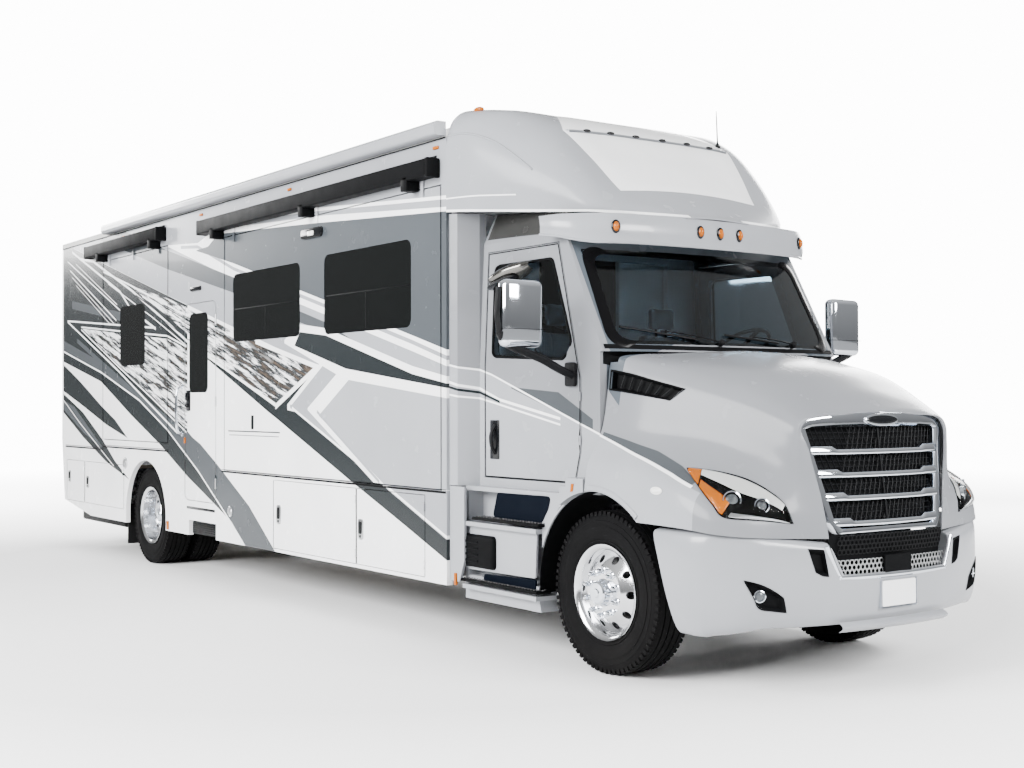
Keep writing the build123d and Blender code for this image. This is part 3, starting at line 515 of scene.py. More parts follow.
@dataclass(frozen=True)
class StripedPaint(Finish):
    """Body paint with the side's sweeping shapes, painted back to front, under clear coat.

    Args:
        bands: The painted shapes.
        inside: The group that compares a height with two lines.
        streak_after: How many of the bands lie under the brushed streaks.
        streaks: The bands that hold brushed streaks in place of an even colour.
        streak_lean: How many degrees the streaks lean down forwards.
        streak_size: How long and how wide one streak is.
        streak_tones: The tones across the streaks, with the noise value at which each is full.
        side_from: How far out a surface is before it takes the shapes.
        lining_and_shade: The lowest and highest corner of the cab's inside, whose dark lining also paints its shade, if
            there is one.
    """

    bands: tuple[Band, ...] = ()
    inside: NodeTree | None = None
    streak_after: int = 0
    streaks: tuple[Band, ...] = ()
    streak_lean: float = 17.0
    streak_size: Point2 = (0.55, 0.050)
    streak_tones: tuple[tuple[float, Tone], ...] = (
        (0.34, Tone.RUST), (0.43, Tone.SLATE), (0.47, Tone.MID), (0.525, Tone.WHITE), (0.60, Tone.WHITE),
        (0.66, Tone.SLATE),
    )
    side_from: float = 0.9
    lining_and_shade: tuple[Point3, Point3] | None = None

    def lined_and_shaded(self, graph: Graph, colour: object, axes: Node) -> Socket:
        """Returns the colour with the cab's dark lining inside its box, painted darker than the lining as the shade
        inside the cab.

        Args:
            graph: Where the nodes go.
            colour: The paint.
            axes: The node that splits the coordinates.

        Returns:
            The colour.
        """
        mask: object = 1.0
        for axis, low, high in zip("XYZ", *self.lining_and_shade):
            value = axes.outputs[axis]
            mask = graph.math("MULTIPLY", mask, graph.math("GREATER_THAN", value, low))
            mask = graph.math("MULTIPLY", mask, graph.math("LESS_THAN", value, high))
        return graph.mix(mask, colour, CAB_LINING_AND_SHADE)

    def brushed(self, graph: Graph, place: Socket) -> Socket:
        """Returns the colour of the brushed streaks, which run down and forwards.

        Args:
            graph: Where the nodes go.
            place: The frame's coordinates.

        Returns:
            The colour.
        """
        turned = graph.add("Mapping", {"vector_type": "TEXTURE"}, Vector=place)
        length, width = self.streak_size
        turned.inputs["Rotation"].default_value = (0.0, math.radians(self.streak_lean), 0.0)
        turned.inputs["Scale"].default_value = (length, 1000.0, width)
        fibre = graph.add("TexNoise", None, Vector=turned.outputs[0], Scale=1.0, Detail=6.0, Roughness=0.72)
        wide = graph.add("TexNoise", None, Vector=turned.outputs[0], Scale=0.35, Detail=3.0)
        forward = graph.add("SeparateXYZ", None, Vector=place).outputs["X"]
        darker = graph.ramp(forward, -1.7, 0.8, 0.0, 0.085)
        stops = graph.add("ValToRGB", None, Fac=graph.math("SUBTRACT", fibre.outputs["Fac"], darker))
        ramp = stops.color_ramp
        while len(ramp.elements) < len(self.streak_tones):
            ramp.elements.new(0.5)
        for element, (spot, tone) in zip(ramp.elements, self.streak_tones):
            element.position = spot
            element.color = (*tone.value, 1.0)
        return graph.mix(graph.ramp(wide.outputs["Fac"], 0.60, 0.78), stops.outputs[0], Tone.WHITE.value)

    def colouring(self, graph: Graph) -> object:
        """Returns the painted shapes over the base colour.

        Args:
            graph: Where the nodes go.

        Returns:
            The colour.
        """
        place = graph.place()
        axes = graph.add("SeparateXYZ", None, Vector=place)
        x, z = axes.outputs["X"], axes.outputs["Z"]
        out = graph.math("GREATER_THAN", graph.math("ABSOLUTE", axes.outputs["Y"]), self.side_from)
        colour: object = self.colour
        for number, band in enumerate(self.bands):
            if number == self.streak_after and self.streaks:
                streaky = self.brushed(graph, place)
                for patch in self.streaks:
                    colour = graph.mix(patch.mask(graph, x, z, self.inside), colour, streaky)
            colour = graph.mix(band.mask(graph, x, z, self.inside), colour, band.tone.value)
        painted = graph.mix(out, self.colour, colour)
        return self.lined_and_shaded(graph, painted, axes) if self.lining_and_shade else painted


@dataclass(frozen=True)
class Glazing(Finish):
    """Tinted glass. Its tint, clearness and index are plain values on the shader.

    Args:
        clear: Transmission weight.
        index: Index of refraction.
    """

    clear: float = 0.0
    index: float = 1.5

    def build(self, effects: Effects) -> bpy.types.Material:
        """Builds the glass, with only its smears and waviness varying.

        Args:
            effects: The shared node groups.

        Returns:
            The material.
        """
        material, graph, shader = self.start()
        texture = graph.add("Group", {"node_tree": effects.texture}, Scale=self.grain_scale, Grain=0.0)
        shader.inputs["Transmission Weight"].default_value = self.clear
        shader.inputs["IOR"].default_value = self.index
        shader.inputs["Base Color"].default_value = (*self.colour, 1.0)
        smear = graph.ramp(graph.noise(2.2, 6.0, rough=0.6), 0.35, 0.75, self.rough, self.rough + 0.05)
        graph.feed(shader.inputs["Roughness"], smear)
        graph.feed(shader.inputs["Normal"], graph.bump(texture.outputs["Height"], self.relief, 0.001))
        return material


@dataclass(frozen=True)
class Weave(Finish):
    """Woven cloth: crossing threads in two shades.

    Args:
        thread: Thread pitch, in metres.
        second: The other thread's colour.
    """

    thread: float = 0.0022
    second: Colour = (0.1, 0.1, 0.1)

    def build(self, effects: Effects) -> bpy.types.Material:
        """Builds the cloth.

        Args:
            effects: The shared node groups.

        Returns:
            The material.
        """
        material, graph, shader = self.start()
        waves = []
        for axis in ("X", "Z", "Y"):
            wave = graph.add("TexWave", {"bands_direction": axis, "wave_type": "BANDS"}, Vector=graph.place())
            wave.inputs["Scale"].default_value = 1.0 / (self.thread * 20.0)
            waves.append(wave.outputs["Fac"])
        across = graph.math("MAXIMUM", graph.math("MULTIPLY", waves[0], waves[1]), waves[2])
        fleck = graph.math("ADD", graph.math("MULTIPLY", across, 0.6), graph.math("MULTIPLY", graph.noise(240.0), 0.5))
        graph.feed(shader.inputs["Base Color"], graph.mix(fleck, self.colour, self.second))
        graph.feed(shader.inputs["Roughness"], graph.ramp(graph.noise(9.0), 0.3, 0.7, 0.8, 0.95))
        graph.feed(shader.inputs["Normal"], graph.bump(across, 0.5, 0.0006))
        shader.inputs["Sheen Weight"].default_value = 0.25
        return material


@dataclass(frozen=True)
class Spun(Finish):
    """Polished metal with fine curved marks.

    Args:
        marks: How many marks to the metre.
    """

    marks: float = 900.0

    def build(self, effects: Effects) -> bpy.types.Material:
        """Builds the metal.

        Args:
            effects: The shared node groups.

        Returns:
            The material.
        """
        material, graph, shader = self.start()
        axes = graph.add("SeparateXYZ", None, Vector=graph.place())
        around = graph.reach(axes.outputs["X"], axes.outputs["Z"])
        ring = graph.add("CombineXYZ", None, X=graph.math("MULTIPLY", around, self.marks))
        lines = graph.add("TexNoise", None, Vector=ring.outputs[0], Scale=1.0, Detail=2.0)
        rough = graph.ramp(lines.outputs["Fac"], 0.3, 0.7, self.rough * 0.7, self.rough * 1.5)
        tint = graph.ramp(graph.noise(6.0, 4.0), 0.3, 0.7, 0.93, 1.03)
        colour = graph.add("HueSaturation", None, Color=self.colour, Value=tint).outputs[0]
        if self.dust:
            dusty = graph.add("Group", {"node_tree": effects.dust}, Amount=self.dust, Scale=9.0).outputs["Mask"]
            colour = graph.mix(dusty, colour, BRAKE_DUST)
        graph.feed(shader.inputs["Base Color"], colour)
        graph.feed(shader.inputs["Roughness"], rough)
        graph.feed(shader.inputs["Normal"], graph.bump(lines.outputs["Fac"], 0.04, 0.0004))
        return material


def stripe(tone: Tone, points: Section, width: float) -> Band:
    """Returns a band of even height along a line.

    Args:
        tone: Its colour.
        points: Points (X, Z) of its middle.
        width: Its height.

    Returns:
        The band.
    """
    half = width / 2
    return Band(tone, tuple((x, z + half) for x, z in points), tuple((x, z - half) for x, z in points))


COACH_UNDER = (
    Band(Tone.SILVER, ((-6.1, 4.0), (3.1, 4.0)), ((-6.1, 3.78), (-2.44, 2.86), (0.89, 2.04), (3.1, 1.55))),
    Band(Tone.SLATE, ((-6.1, 3.78), (-2.44, 2.86), (-1.92, 2.73)),
         ((-6.1, 2.29), (-4.54, 1.99), (-3.53, 1.60), (-2.68, 1.30), (-1.92, 0.99))),
    Band(Tone.SLATE, ((-1.92, 1.45), (-0.85, 0.98)), ((-1.92, 0.99), (-1.24, 0.75), (-0.85, 0.61))),
    stripe(Tone.MID, ((-5.6, 2.95), (-3.9, 2.72), (-2.8, 2.36)), 0.10),
    stripe(Tone.MID, ((-5.4, 2.50), (-3.94, 2.02), (-2.1, 1.42)), 0.06),
)
COACH_STREAKS = (
    Band(Tone.WHITE, ((-5.19, 2.64), (-3.94, 2.53), (-2.47, 2.41), (-1.92, 2.29)),
         ((-5.19, 2.63), (-3.94, 2.17), (-2.91, 1.81), (-1.92, 1.46))),
    Band(Tone.WHITE, ((-3.53, 3.04), (-2.44, 2.83), (-0.79, 2.42), (0.89, 2.03)),
         ((-3.53, 3.02), (-2.47, 2.65), (-1.92, 2.44), (-1.40, 2.17), (0.12, 1.72), (0.89, 2.02))),
)
COACH_OVER = (
    Band(Tone.MID, ((-6.1, 2.56), (-4.54, 2.22), (-2.47, 1.60), (-1.59, 1.33), (-1.15, 1.13), (-0.44, 0.78),
                    (0.15, 0.38)),
         ((-6.1, 2.43), (-4.54, 2.11), (-3.29, 1.78), (-2.47, 1.47), (-1.65, 1.07), (-0.85, 0.61), (-0.50, 0.39),
          (0.15, 0.37))),
    stripe(Tone.WHITE, ((-6.1, 2.42), (-4.54, 2.10), (-3.29, 1.77), (-2.47, 1.46), (-1.65, 1.06), (-0.85, 0.60)),
           0.022),
    stripe(Tone.WHITE, ((-5.77, 2.76), (-2.80, 2.54)), 0.022),
    stripe(Tone.WHITE, ((-5.77, 2.75), (-3.94, 2.10), (-2.19, 1.43)), 0.026),
    stripe(Tone.WHITE, ((-5.25, 2.66), (-2.47, 2.44), (-1.95, 2.31)), 0.02),
    stripe(Tone.WHITE, ((-5.25, 2.63), (-3.94, 2.15), (-2.91, 1.79), (-1.95, 1.44)), 0.02),
    stripe(Tone.WHITE, ((-5.60, 3.60), (-3.90, 3.00), (-3.53, 2.77), (-2.8, 2.53)), 0.03),
    stripe(Tone.WHITE, ((-5.34, 3.50), (-4.82, 3.42), (-3.53, 2.99), (-2.47, 2.58), (-1.92, 2.36)), 0.03),
    stripe(Tone.WHITE, ((-4.46, 3.27), (-3.53, 3.04), (-1.92, 2.62)), 0.022),
    stripe(Tone.WHITE, ((-5.78, 3.50), (-3.90, 2.79)), 0.018),
    stripe(Tone.WHITE, ((-5.68, 3.38), (-4.02, 2.68)), 0.018),
    stripe(Tone.WHITE, ((-5.60, 3.29), (-4.10, 2.65)), 0.012),
    stripe(Tone.WHITE, ((-5.45, 3.18), (-4.20, 2.635)), 0.010),
    stripe(Tone.WHITE, ((-5.45, 3.44), (-4.00, 2.86)), 0.012),
    stripe(Tone.WHITE, ((-4.30, 3.12), (-2.9, 2.66), (-1.95, 2.32)), 0.014),
    stripe(Tone.SLATE, ((-3.40, 2.93), (-1.95, 2.45)), 0.02),
    stripe(Tone.SLATE, ((-3.00, 2.88), (-1.30, 2.40)), 0.014),
    stripe(Tone.SLATE, ((-2.90, 2.72), (-1.60, 2.28)), 0.012),
    stripe(Tone.WHITE, ((-3.20, 2.90), (-1.20, 2.31)), 0.014),
    Band(Tone.SLATE, ((-6.1, 2.28), (-5.28, 2.00), (-4.50, 1.70), (-4.06, 1.55), (-3.65, 1.35)),
         ((-6.1, 1.93), (-5.28, 1.73), (-4.36, 1.49), (-3.65, 1.345))),
    Band(Tone.SLATE, ((-6.1, 1.91), (-5.18, 1.63), (-4.49, 1.32), (-4.06, 1.08), (-3.60, 0.89)),
         ((-6.1, 1.69), (-5.18, 1.33), (-4.36, 1.06), (-3.60, 0.885))),
    Band(Tone.MID, ((-6.1, 1.81), (-5.52, 1.70), (-4.49, 1.23)), ((-6.1, 1.72), (-5.18, 1.39), (-4.49, 1.19))),
    stripe(Tone.WHITE, ((-5.98, 1.80), (-5.3, 1.50), (-4.1, 1.02)), 0.014),
    Band(Tone.SLATE, ((-1.45, 2.20), (0.12, 1.70)), ((-1.45, 2.18), (0.0, 1.64), (0.12, 1.60))),
    Band(Tone.SLATE, ((0.12, 1.70), (0.41, 1.70), (2.08, 1.07), (3.16, 0.66)),
         ((0.12, 1.60), (1.50, 1.10), (2.30, 0.82), (3.16, 0.51))),
    Band(Tone.SLATE, ((0.12, 1.70), (0.80, 1.97), (0.94, 2.01)), ((0.12, 1.60), (0.41, 1.69), (0.94, 1.99))),
    stripe(Tone.WHITE, ((-0.30, 2.30), (0.89, 2.045), (1.05, 2.02)), 0.045),
    stripe(Tone.WHITE, ((0.12, 1.70), (0.92, 2.035)), 0.05),
    stripe(Tone.WHITE, ((-1.42, 2.20), (0.12, 1.72)), 0.03),
    Band(Tone.WHITE, ((0.36, 1.72), (1.03, 2.10), (1.34, 2.03)), ((0.36, 1.67), (0.66, 1.64), (1.34, 1.98))),
    Band(Tone.SILVER, ((0.43, 1.71), (1.05, 2.06), (1.32, 2.00)), ((0.43, 1.685), (0.70, 1.66), (1.32, 1.98))),
    Band(Tone.SILVER, ((0.41, 1.72), (0.75, 1.69), (1.89, 1.14), (3.07, 0.79)),
         ((0.41, 1.69), (2.08, 1.075), (3.07, 0.69))),
    Band(Tone.SILVER, ((2.05, 1.09), (3.16, 1.09)), ((2.05, 1.08), (3.16, 0.66))),
    stripe(Tone.WHITE, ((0.45, 1.69), (2.08, 1.085), (3.16, 0.675)), 0.025),
    Band(Tone.WHITE, ((0.75, 1.69), (1.34, 2.01), (3.1, 1.83)), ((0.75, 1.67), (1.89, 1.10), (3.1, 1.09))),
    Band(Tone.PANEL, ((0.96, 1.63), (1.48, 1.92), (3.1, 1.75)), ((0.96, 1.62), (2.05, 1.095), (3.1, 1.09))),
    stripe(Tone.SILVER, ((0.92, 1.66), (1.98, 1.11)), 0.03),
    Band(Tone.WHITE, ((-2.44, 3.39), (-1.65, 3.34), (-1.24, 3.43), (1.08, 3.31), (3.1, 3.15)),
         ((-2.44, 3.37), (-0.79, 2.91), (0.60, 2.59), (1.08, 2.47), (2.48, 2.12), (3.1, 1.96))),
    stripe(Tone.SILVER, ((-2.1, 3.335), (-1.66, 3.30), (-0.79, 3.01), (0.60, 2.665), (2.48, 2.19), (3.1, 2.02)), 0.035),
    Band(Tone.GREY, ((-1.69, 3.27), (-1.40, 3.28), (-1.15, 3.38), (0.80, 3.27), (3.1, 3.12)),
         ((-1.69, 3.26), (-0.79, 3.06), (0.60, 2.71), (1.08, 2.59), (2.44, 2.25), (3.1, 2.08))),
    Band(Tone.MID, ((-5.15, 3.90), (-4.24, 3.80), (-2.47, 3.34), (-0.79, 2.93), (0.60, 2.53), (1.08, 2.41),
                    (1.75, 2.17)),
         ((-5.15, 3.78), (-4.24, 3.57), (-2.47, 3.14), (-0.79, 2.78), (0.60, 2.43), (1.08, 2.32), (1.75, 2.15))),
    stripe(Tone.SILVER, ((1.08, 2.45), (3.1, 1.95)), 0.02),
    stripe(Tone.WHITE, ((-0.64, 3.46), (1.0, 3.37), (3.1, 3.22)), 0.03),
    Band(Tone.WHITE, ((0.30, 2.29), (0.57, 2.42), (1.08, 2.36), (2.48, 2.01), (3.1, 1.90)),
         ((0.30, 2.26), (1.26, 1.97), (2.48, 1.83), (3.1, 1.76))),
    Band(Tone.SLATE, ((0.50, 2.24), (0.60, 2.35), (1.08, 2.30), (2.48, 1.95), (3.1, 1.85)),
         ((0.50, 2.23), (1.43, 2.01), (2.48, 1.89), (3.1, 1.82))),
)
CAB_BANDS = (
    Band(Tone.PANEL, ((2.9, 2.02), (3.26, 1.93), (4.28, 1.59), (4.53, 1.51), (4.76, 1.44), (4.955, 1.38),
                      (5.234, 1.296), (5.50, 1.20)),
         ((2.9, 0.2), (5.50, 0.2))),
    Band(Tone.MID, ((4.53, 1.541), (4.78, 1.487), (5.01, 1.430), (5.25, 1.344), (5.42, 1.262)),
         ((4.53, 1.512), (4.76, 1.446), (4.955, 1.387), (5.234, 1.303), (5.42, 1.238))),
    Band(Tone.MID, ((3.50, 1.84), (4.05, 1.80), (4.42, 1.62)), ((3.50, 1.83), (4.05, 1.66), (4.42, 1.54))),
    stripe(Tone.WHITE, ((2.9, 2.02), (3.26, 1.93), (4.28, 1.59), (4.53, 1.51), (4.76, 1.44), (4.955, 1.38),
                        (5.234, 1.296), (5.43, 1.23)), 0.016),
    stripe(Tone.WHITE, ((2.9, 1.90), (3.36, 1.75), (4.07, 1.62)), 0.022),
    stripe(Tone.SLATE, ((2.9, 1.86), (3.36, 1.735)), 0.022),
    stripe(Tone.WHITE, ((2.9, 1.80), (3.36, 1.715), (4.07, 1.58)), 0.016),
    # Painted shade: a near-black band high on the cab's side, under the cap's overhang.
    Band(Tone.SHADE, ((3.13, 3.30), (4.10, 3.30)), ((3.13, 2.912), (3.56, 2.90), (4.10, 2.875))),
)
CAP_BANDS = (
    stripe(Tone.WHITE, ((2.9, 3.220), (3.30, 3.205), (3.62, 3.180)), 0.012),
    stripe(Tone.WHITE, ((2.9, 3.135), (3.45, 3.085), (4.2, 3.020), (4.5, 3.000)), 0.020),
)


class Palette:
    """Builds each finish once and hands it out by name."""

    def __init__(self) -> None:
        """Builds the node groups and every material."""
        effects = Effects()
        inside = inside_group()
        paint = {"rough": 0.26, "coat": 0.08, "grain_scale": 90.0, "grain": 0.0, "relief": 0.012, "shine": 0.15,
                 "inside": inside}
        side = {"bands": COACH_UNDER + COACH_OVER, "streak_after": len(COACH_UNDER), "streaks": COACH_STREAKS}
        finishes = {
            "coach": StripedPaint("coach_paint", Tone.WHITE.value, dust=0.02, **side, **paint),
            # The cab's base colour is a darker copy of the silver paint: painted shade on the hood and cab.
            "cab": StripedPaint("cab_paint", Tone.SHADED_SILVER.value, dust=0.02, bands=CAB_BANDS,
                                # The box paints the shade inside the cab over its dark lining.
                                lining_and_shade=((3.02, -1.045, 1.20), (4.62, 1.045, 2.90)), **paint),
            "cap": StripedPaint("cap_paint", Tone.SILVER.value, bands=CAP_BANDS, side_from=0.25, **paint),
            "silver": Finish("silver_paint", Tone.SILVER.value, 0.25, 0.0, 0.25, 90.0, 0.0, 0.012, dust=0.02),
            "white": Finish("white_paint", Tone.WHITE.value, 0.25, 0.0, 0.25, 90.0, 0.0, 0.012, dust=0.02),
            "roof": Finish("roof_membrane", (0.62, 0.62, 0.61), 0.7, 0.0, 0.0, 60.0, 0.5, 0.2, dust=0.0),
            "glass": Glazing("dark_glass", (0.003, 0.0036, 0.0036), 0.02, relief=0.01, grain_scale=3.0, shine=0.22),
            "screen": Glazing("screen_glass", (0.30, 0.37, 0.42), 0.0, relief=0.004, grain_scale=3.0, clear=1.0,
                              index=1.35, shine=0.5),
            "soffit": Finish("soffit_paint", (0.10, 0.103, 0.108), 0.5, 0.0, 0.1, 200.0, 0.3, 0.05),
            # Painted shade: the near-black of the step recesses.
            "recess": Finish("painted_recess_shade", (0.0015, 0.0028, 0.0060), 0.7, 0.0, 0.0, 300.0, 0.4, 0.1, shine=0.03),
            "pitch": Finish("matt_pitch", (0.0022, 0.0024, 0.0028), 0.6, 0.0, 0.0, 500.0, 0.7, 0.15, shine=0.05),
            "frit": Finish("black_frit", (0.0022, 0.0022, 0.0026), 0.25, 0.0, 0.0, 40.0, 0.0, 0.01, shine=0.08),
            "chrome": Finish("chrome", (0.76, 0.80, 0.86), 0.05, 1.0, 0.0, 30.0, 0.0, 0.012),
            "satin": Finish("satin_metal", (0.55, 0.56, 0.57), 0.3, 1.0, 0.0, 400.0, 0.2, 0.05),
            "black": Finish("moulded_black", (0.0045, 0.0048, 0.0055), 0.5, 0.0, 0.0, 700.0, 0.8, 0.25, dust=0.02,
                            shine=0.1),
            "gloss_black": Finish("gloss_black", (0.004, 0.0045, 0.0055), 0.16, 0.0, 0.0, 60.0, 0.0, 0.02, shine=0.3),
            "steel": Finish("black_steel", (0.010, 0.0105, 0.0115), 0.5, 0.1, 0.0, 160.0, 0.6, 0.3, 0.15, 0.3,
                            shine=0.25),
            "smoked": Finish("smoked_chrome", (0.16, 0.155, 0.145), 0.18, 1.0, 0.0, 60.0, 0.0, 0.02),
            "cast": Finish("cast_iron", (0.05, 0.05, 0.052), 0.6, 0.5, 0.0, 240.0, 0.8, 0.5, 0.3, 0.4),
            "tyre": Finish("tyre_rubber", (0.0026, 0.0026, 0.0029), 0.72, 0.0, 0.0, 420.0, 0.6, 0.2, 0.01, shine=0.06),
            "rim": Spun("polished_rim", (0.78, 0.79, 0.81), 0.13, 1.0),
            "floor": Finish("floor_board", (0.28, 0.24, 0.19), 0.6, 0.0, 0.0, 120.0, 0.5, 0.2),
            "trim": Finish("cabin_trim", (0.075, 0.078, 0.083), 0.6, 0.0, 0.0, 900.0, 0.8, 0.3),
            "wheelskin": Finish("wheel_grip", (0.02, 0.02, 0.021), 0.5, 0.0, 0.0, 1500.0, 0.7, 0.25),
            "cloth": Weave("seat_cloth", (0.07, 0.072, 0.078), 0.9, second=(0.14, 0.145, 0.155)),
            "lens": Glazing("lamp_lens", (0.97, 0.98, 0.985), 0.0, relief=0.004, grain_scale=20.0, clear=1.0,
                            index=1.05, shine=0.15),
            "bulb": Glazing("projector_glass", (0.09, 0.10, 0.11), 0.01, relief=0.01, grain_scale=60.0, clear=0.25,
                            shine=0.6),
            "amber": Glazing("amber_lens", (0.34, 0.082, 0.001), 0.14, relief=0.2, grain_scale=180.0, clear=0.0,
                             shine=0.25),
            "red": Glazing("red_lens", (0.55, 0.01, 0.008), 0.12, relief=0.3, grain_scale=180.0, clear=0.3),
            "lit": Finish("white_lens", (0.85, 0.85, 0.82), 0.25, 0.0, 0.6, 300.0, 0.3, 0.1),
        }
        self.slots = {
            "coach": "body_paint", "cab": "body_paint", "cap": "body_paint", "silver": "body_paint",
            "white": "body_paint", "roof": "roof_skin", "glass": "dark_glass", "screen": "screen_glass",
            "frit": "dark_glass", "chrome": "chrome", "satin": "chrome", "tyre": "tyre", "rim": "polished_rim",
            "smoked": "chrome", "cast": "cast", "floor": "floor", "trim": "cabin_trim", "wheelskin": "cabin_trim",
            "cloth": "seat_fabric", "lens": "lamp", "amber": "lamp", "red": "lamp", "lit": "lamp", "bulb": "lamp",
        }
        self.materials = {key: finish.build(effects) for key, finish in finishes.items()}

    def dress(self, piece: Piece, key: str) -> None:
        """Puts one finish on a whole piece.

        Args:
            piece: A new piece or a node of the frame.
            key: The finish's short name.
        """
        if not piece.material_slots:
            piece.data.materials.append(None)
        for slot in piece.material_slots:
            slot.link = "OBJECT"
            slot.material = self.materials[key]

    def slot(self, key: str) -> str:
        """Returns the record's material slot of a finish."""
        return self.slots.get(key, "steel_black")


NODE_FINISH = {
    "chassis_frame": "steel", "fuel_tanks": "satin", "tow_receiver": "steel", "engine_block": "cast",
    "front_axle": "cast", "rear_axle": "cast", "coach_floor": "floor", "floor_tubs": "steel",
    "left_wall": "coach", "right_wall": "coach", "end_walls": "white", "wall_glass": "glass", "roof": "roof",
    "roof_units": "white", "patio_awning": "silver", "front_cap": "cap", "cab_shell": "cab", "windshield": "screen",
    "sun_visor": "silver", "dashboard": "trim", "cab_seats": "cloth", "front_bumper": "silver",
    "step_fairings": "cab", "hood": "cab", "headlights": "lens", "grille": "chrome", "steering_wheel": "wheelskin",
    "entry_door": "coach", "entry_door_glass": "glass", "left_knuckle": "cast", "right_knuckle": "cast",
}


def node_finish(name: str) -> str:
    """Returns the finish of a node of the frame, by its name.

    Args:
        name: The node's name.

    Returns:
        The finish's short name.
    """
    endings = (("_glass", "glass"), ("_slide", "coach"), ("_bay_door", "coach"), ("_cab_door", "cab"),
               ("_mirror", "gloss_black"), ("_tyre", "tyre"), ("_tyres", "tyre"), ("_rim", "rim"), ("_rims", "rim"))
    if name in NODE_FINISH:
        return NODE_FINISH[name]
    if name.endswith("_cab_door_glass"):
        return "screen"
    return next(key for end, key in endings if name.endswith(end))


# --------------------------------------------------------------------------------------
# Mesh building
# --------------------------------------------------------------------------------------


@dataclass
class Shop:
    """Where pieces are finished: it names them, dresses them and puts them on their bodies.

    Args:
        palette: The finishes.
        nodes: The nodes of the frame.
    """

    palette: Palette
    nodes: dict[str, Piece]

    def piece(self, name: str, bm: BMesh, finish: str, body: str, *,
              replaces: Sequence[str] = (), sharp: float = 35.0, flip_check: bool = True) -> Piece:
        """Makes a finished piece of a bmesh.

        Args:
            name: The piece's name.
            bm: Its mesh, which is freed.
            finish: The finish's short name.
            body: The body it rides on.
            replaces: The nodes it stands for.
            sharp: Edges sharper than this many degrees stay sharp.
            flip_check: Whether the faces of closed shapes are turned outwards.

        Returns:
            The piece.
        """
        bmesh.ops.remove_doubles(bm, verts=bm.verts, dist=SAME)
        if flip_check:
            bmesh.ops.recalc_face_normals(bm, faces=bm.faces)
        for face in bm.faces:
            face.smooth = True
        for edge in bm.edges:
            edge.smooth = len(edge.link_faces) == 2 and edge.calc_face_angle(0.0) < math.radians(sharp)
        mesh = bpy.data.meshes.new(name)
        bm.to_mesh(mesh)
        bm.free()
        piece = bpy.data.objects.new(name, mesh)
        bpy.context.scene.collection.objects.link(piece)
        return self.settle(piece, finish, body, replaces)

    def settle(self, piece: Piece, finish: str, body: str,
               replaces: Sequence[str] = ()) -> Piece:
        """Dresses a piece, puts it on its body and hides the nodes it stands for.

        Args:
            piece: The piece to dress.
            finish: The finish's short name.
            body: The body it rides on.
            replaces: The nodes it stands for.

        Returns:
            The piece.
        """
        self.palette.dress(piece, finish)
        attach(piece, body)
        self.palette.slot(finish)
        if replaces:
            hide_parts(*replaces)
        log.info("%s: %d faces, %s, on %s", piece.name, len(piece.data.polygons), finish, body)
        return piece

    def skin(self, name: str, place: Place, faces: tuple[int, int], outward: Point3, wall: float, finish: str,
             body: str, **options: object) -> Piece:
        """Makes a finished piece of a sheet with a wall.

        Args:
            name: The piece's name.
            place: Gives the place of the two shares, each from 0 to 1.
            faces: Faces across and along.
            outward: The direction that its face looks in.
            wall: Its thickness, behind its face.
            finish: The finish's short name.
            body: The body it rides on.
            options: What else piece is told.

        Returns:
            The piece.
        """
        bm = sheet(place, *faces)
        turned_up(bm, lambda spot: Vector(outward))
        thickened(bm, wall)
        return self.piece(name, bm, finish, body, **options)

    def tree(self, piece: Piece) -> BVHTree:
        """Returns a search tree of a piece or node, for laying other pieces on it.

        Args:
            piece: The piece or node.

        Returns:
            The search tree.
        """
        bm = bmesh.new()
        bm.from_mesh(piece.data)
        tree = BVHTree.FromBMesh(bm)
        bm.free()
        return tree


def between(points: Sequence[Vector], at: float) -> Vector:
    """Returns the place on a smooth line through points.

    Args:
        points: The line's points.
        at: From 0 at the first point to 1 at the last.

    Returns:
        The place, on the Catmull-Rom line.
    """
    spot = clamp(at) * (len(points) - 1)
    number = min(int(spot), len(points) - 2)
    t = spot - number
    b, c = points[number], points[number + 1]
    a = points[number - 1] if number else b * 2 - c
    d = points[number + 2] if number + 2 < len(points) else c * 2 - b
    return 0.5 * (2 * b + (c - a) * t + (2 * a - 5 * b + 4 * c - d) * t * t + (3 * b - a - 3 * c + d) * t ** 3)


def sheet(place: Place, across: int, along: int) -> BMesh:
    """Makes a grid and lays it where place says.

    Args:
        place: Gives the place of the two shares, each from 0 to 1.
        across: Faces across, for the first share.
        along: Faces along, for the second.

    Returns:
        The laid grid.
    """
    bm = bmesh.new()
    bmesh.ops.create_grid(bm, x_segments=across, y_segments=along, size=1.0)
    for vert in bm.verts:
        vert.co = place((vert.co.x + 1) / 2, (vert.co.y + 1) / 2)
    return bm


def whole_row(half: Sequence[Point3]) -> list[Vector]:
    """Returns a line across the vehicle from its left half, whose last point is in the middle."""
    return [*map(Vector, half), *(Vector((x, -y, z)) for x, y, z in reversed(half[:-1]))]


def station(x: float, section: Section) -> list[Point3]:
    """Returns the half section (Y, Z) at X as places."""
    return [(x, y, z) for y, z in section]


def lofted(halves: Sequence[Sequence[Point3]], across: int, along: int) -> BMesh:
    """Makes a smooth skin through half sections.

    Args:
        halves: The left half of each section, edge first, all with as many points.
        across: Faces across.
        along: Faces along.

    Returns:
        The skin.
    """
    rows = [whole_row(half) for half in halves]

    def place(u: float, v: float) -> Vector:
        """Returns the place on the skin at shares across and along it."""
        return between([between(row, u) for row in rows], v)

    return sheet(place, across, along)


def turned_up(bm: BMesh, outward: Callable[[Vector], Vector]) -> None:
    """Turns the faces of an open skin so that they look outwards.

    Args:
        bm: The skin.
        outward: Gives an outward direction at a place.
    """
    bmesh.ops.recalc_face_normals(bm, faces=bm.faces)
    votes = sum(face.normal.dot(outward(face.calc_center_median())) for face in bm.faces)
    if votes < 0:
        bmesh.ops.reverse_faces(bm, faces=bm.faces)


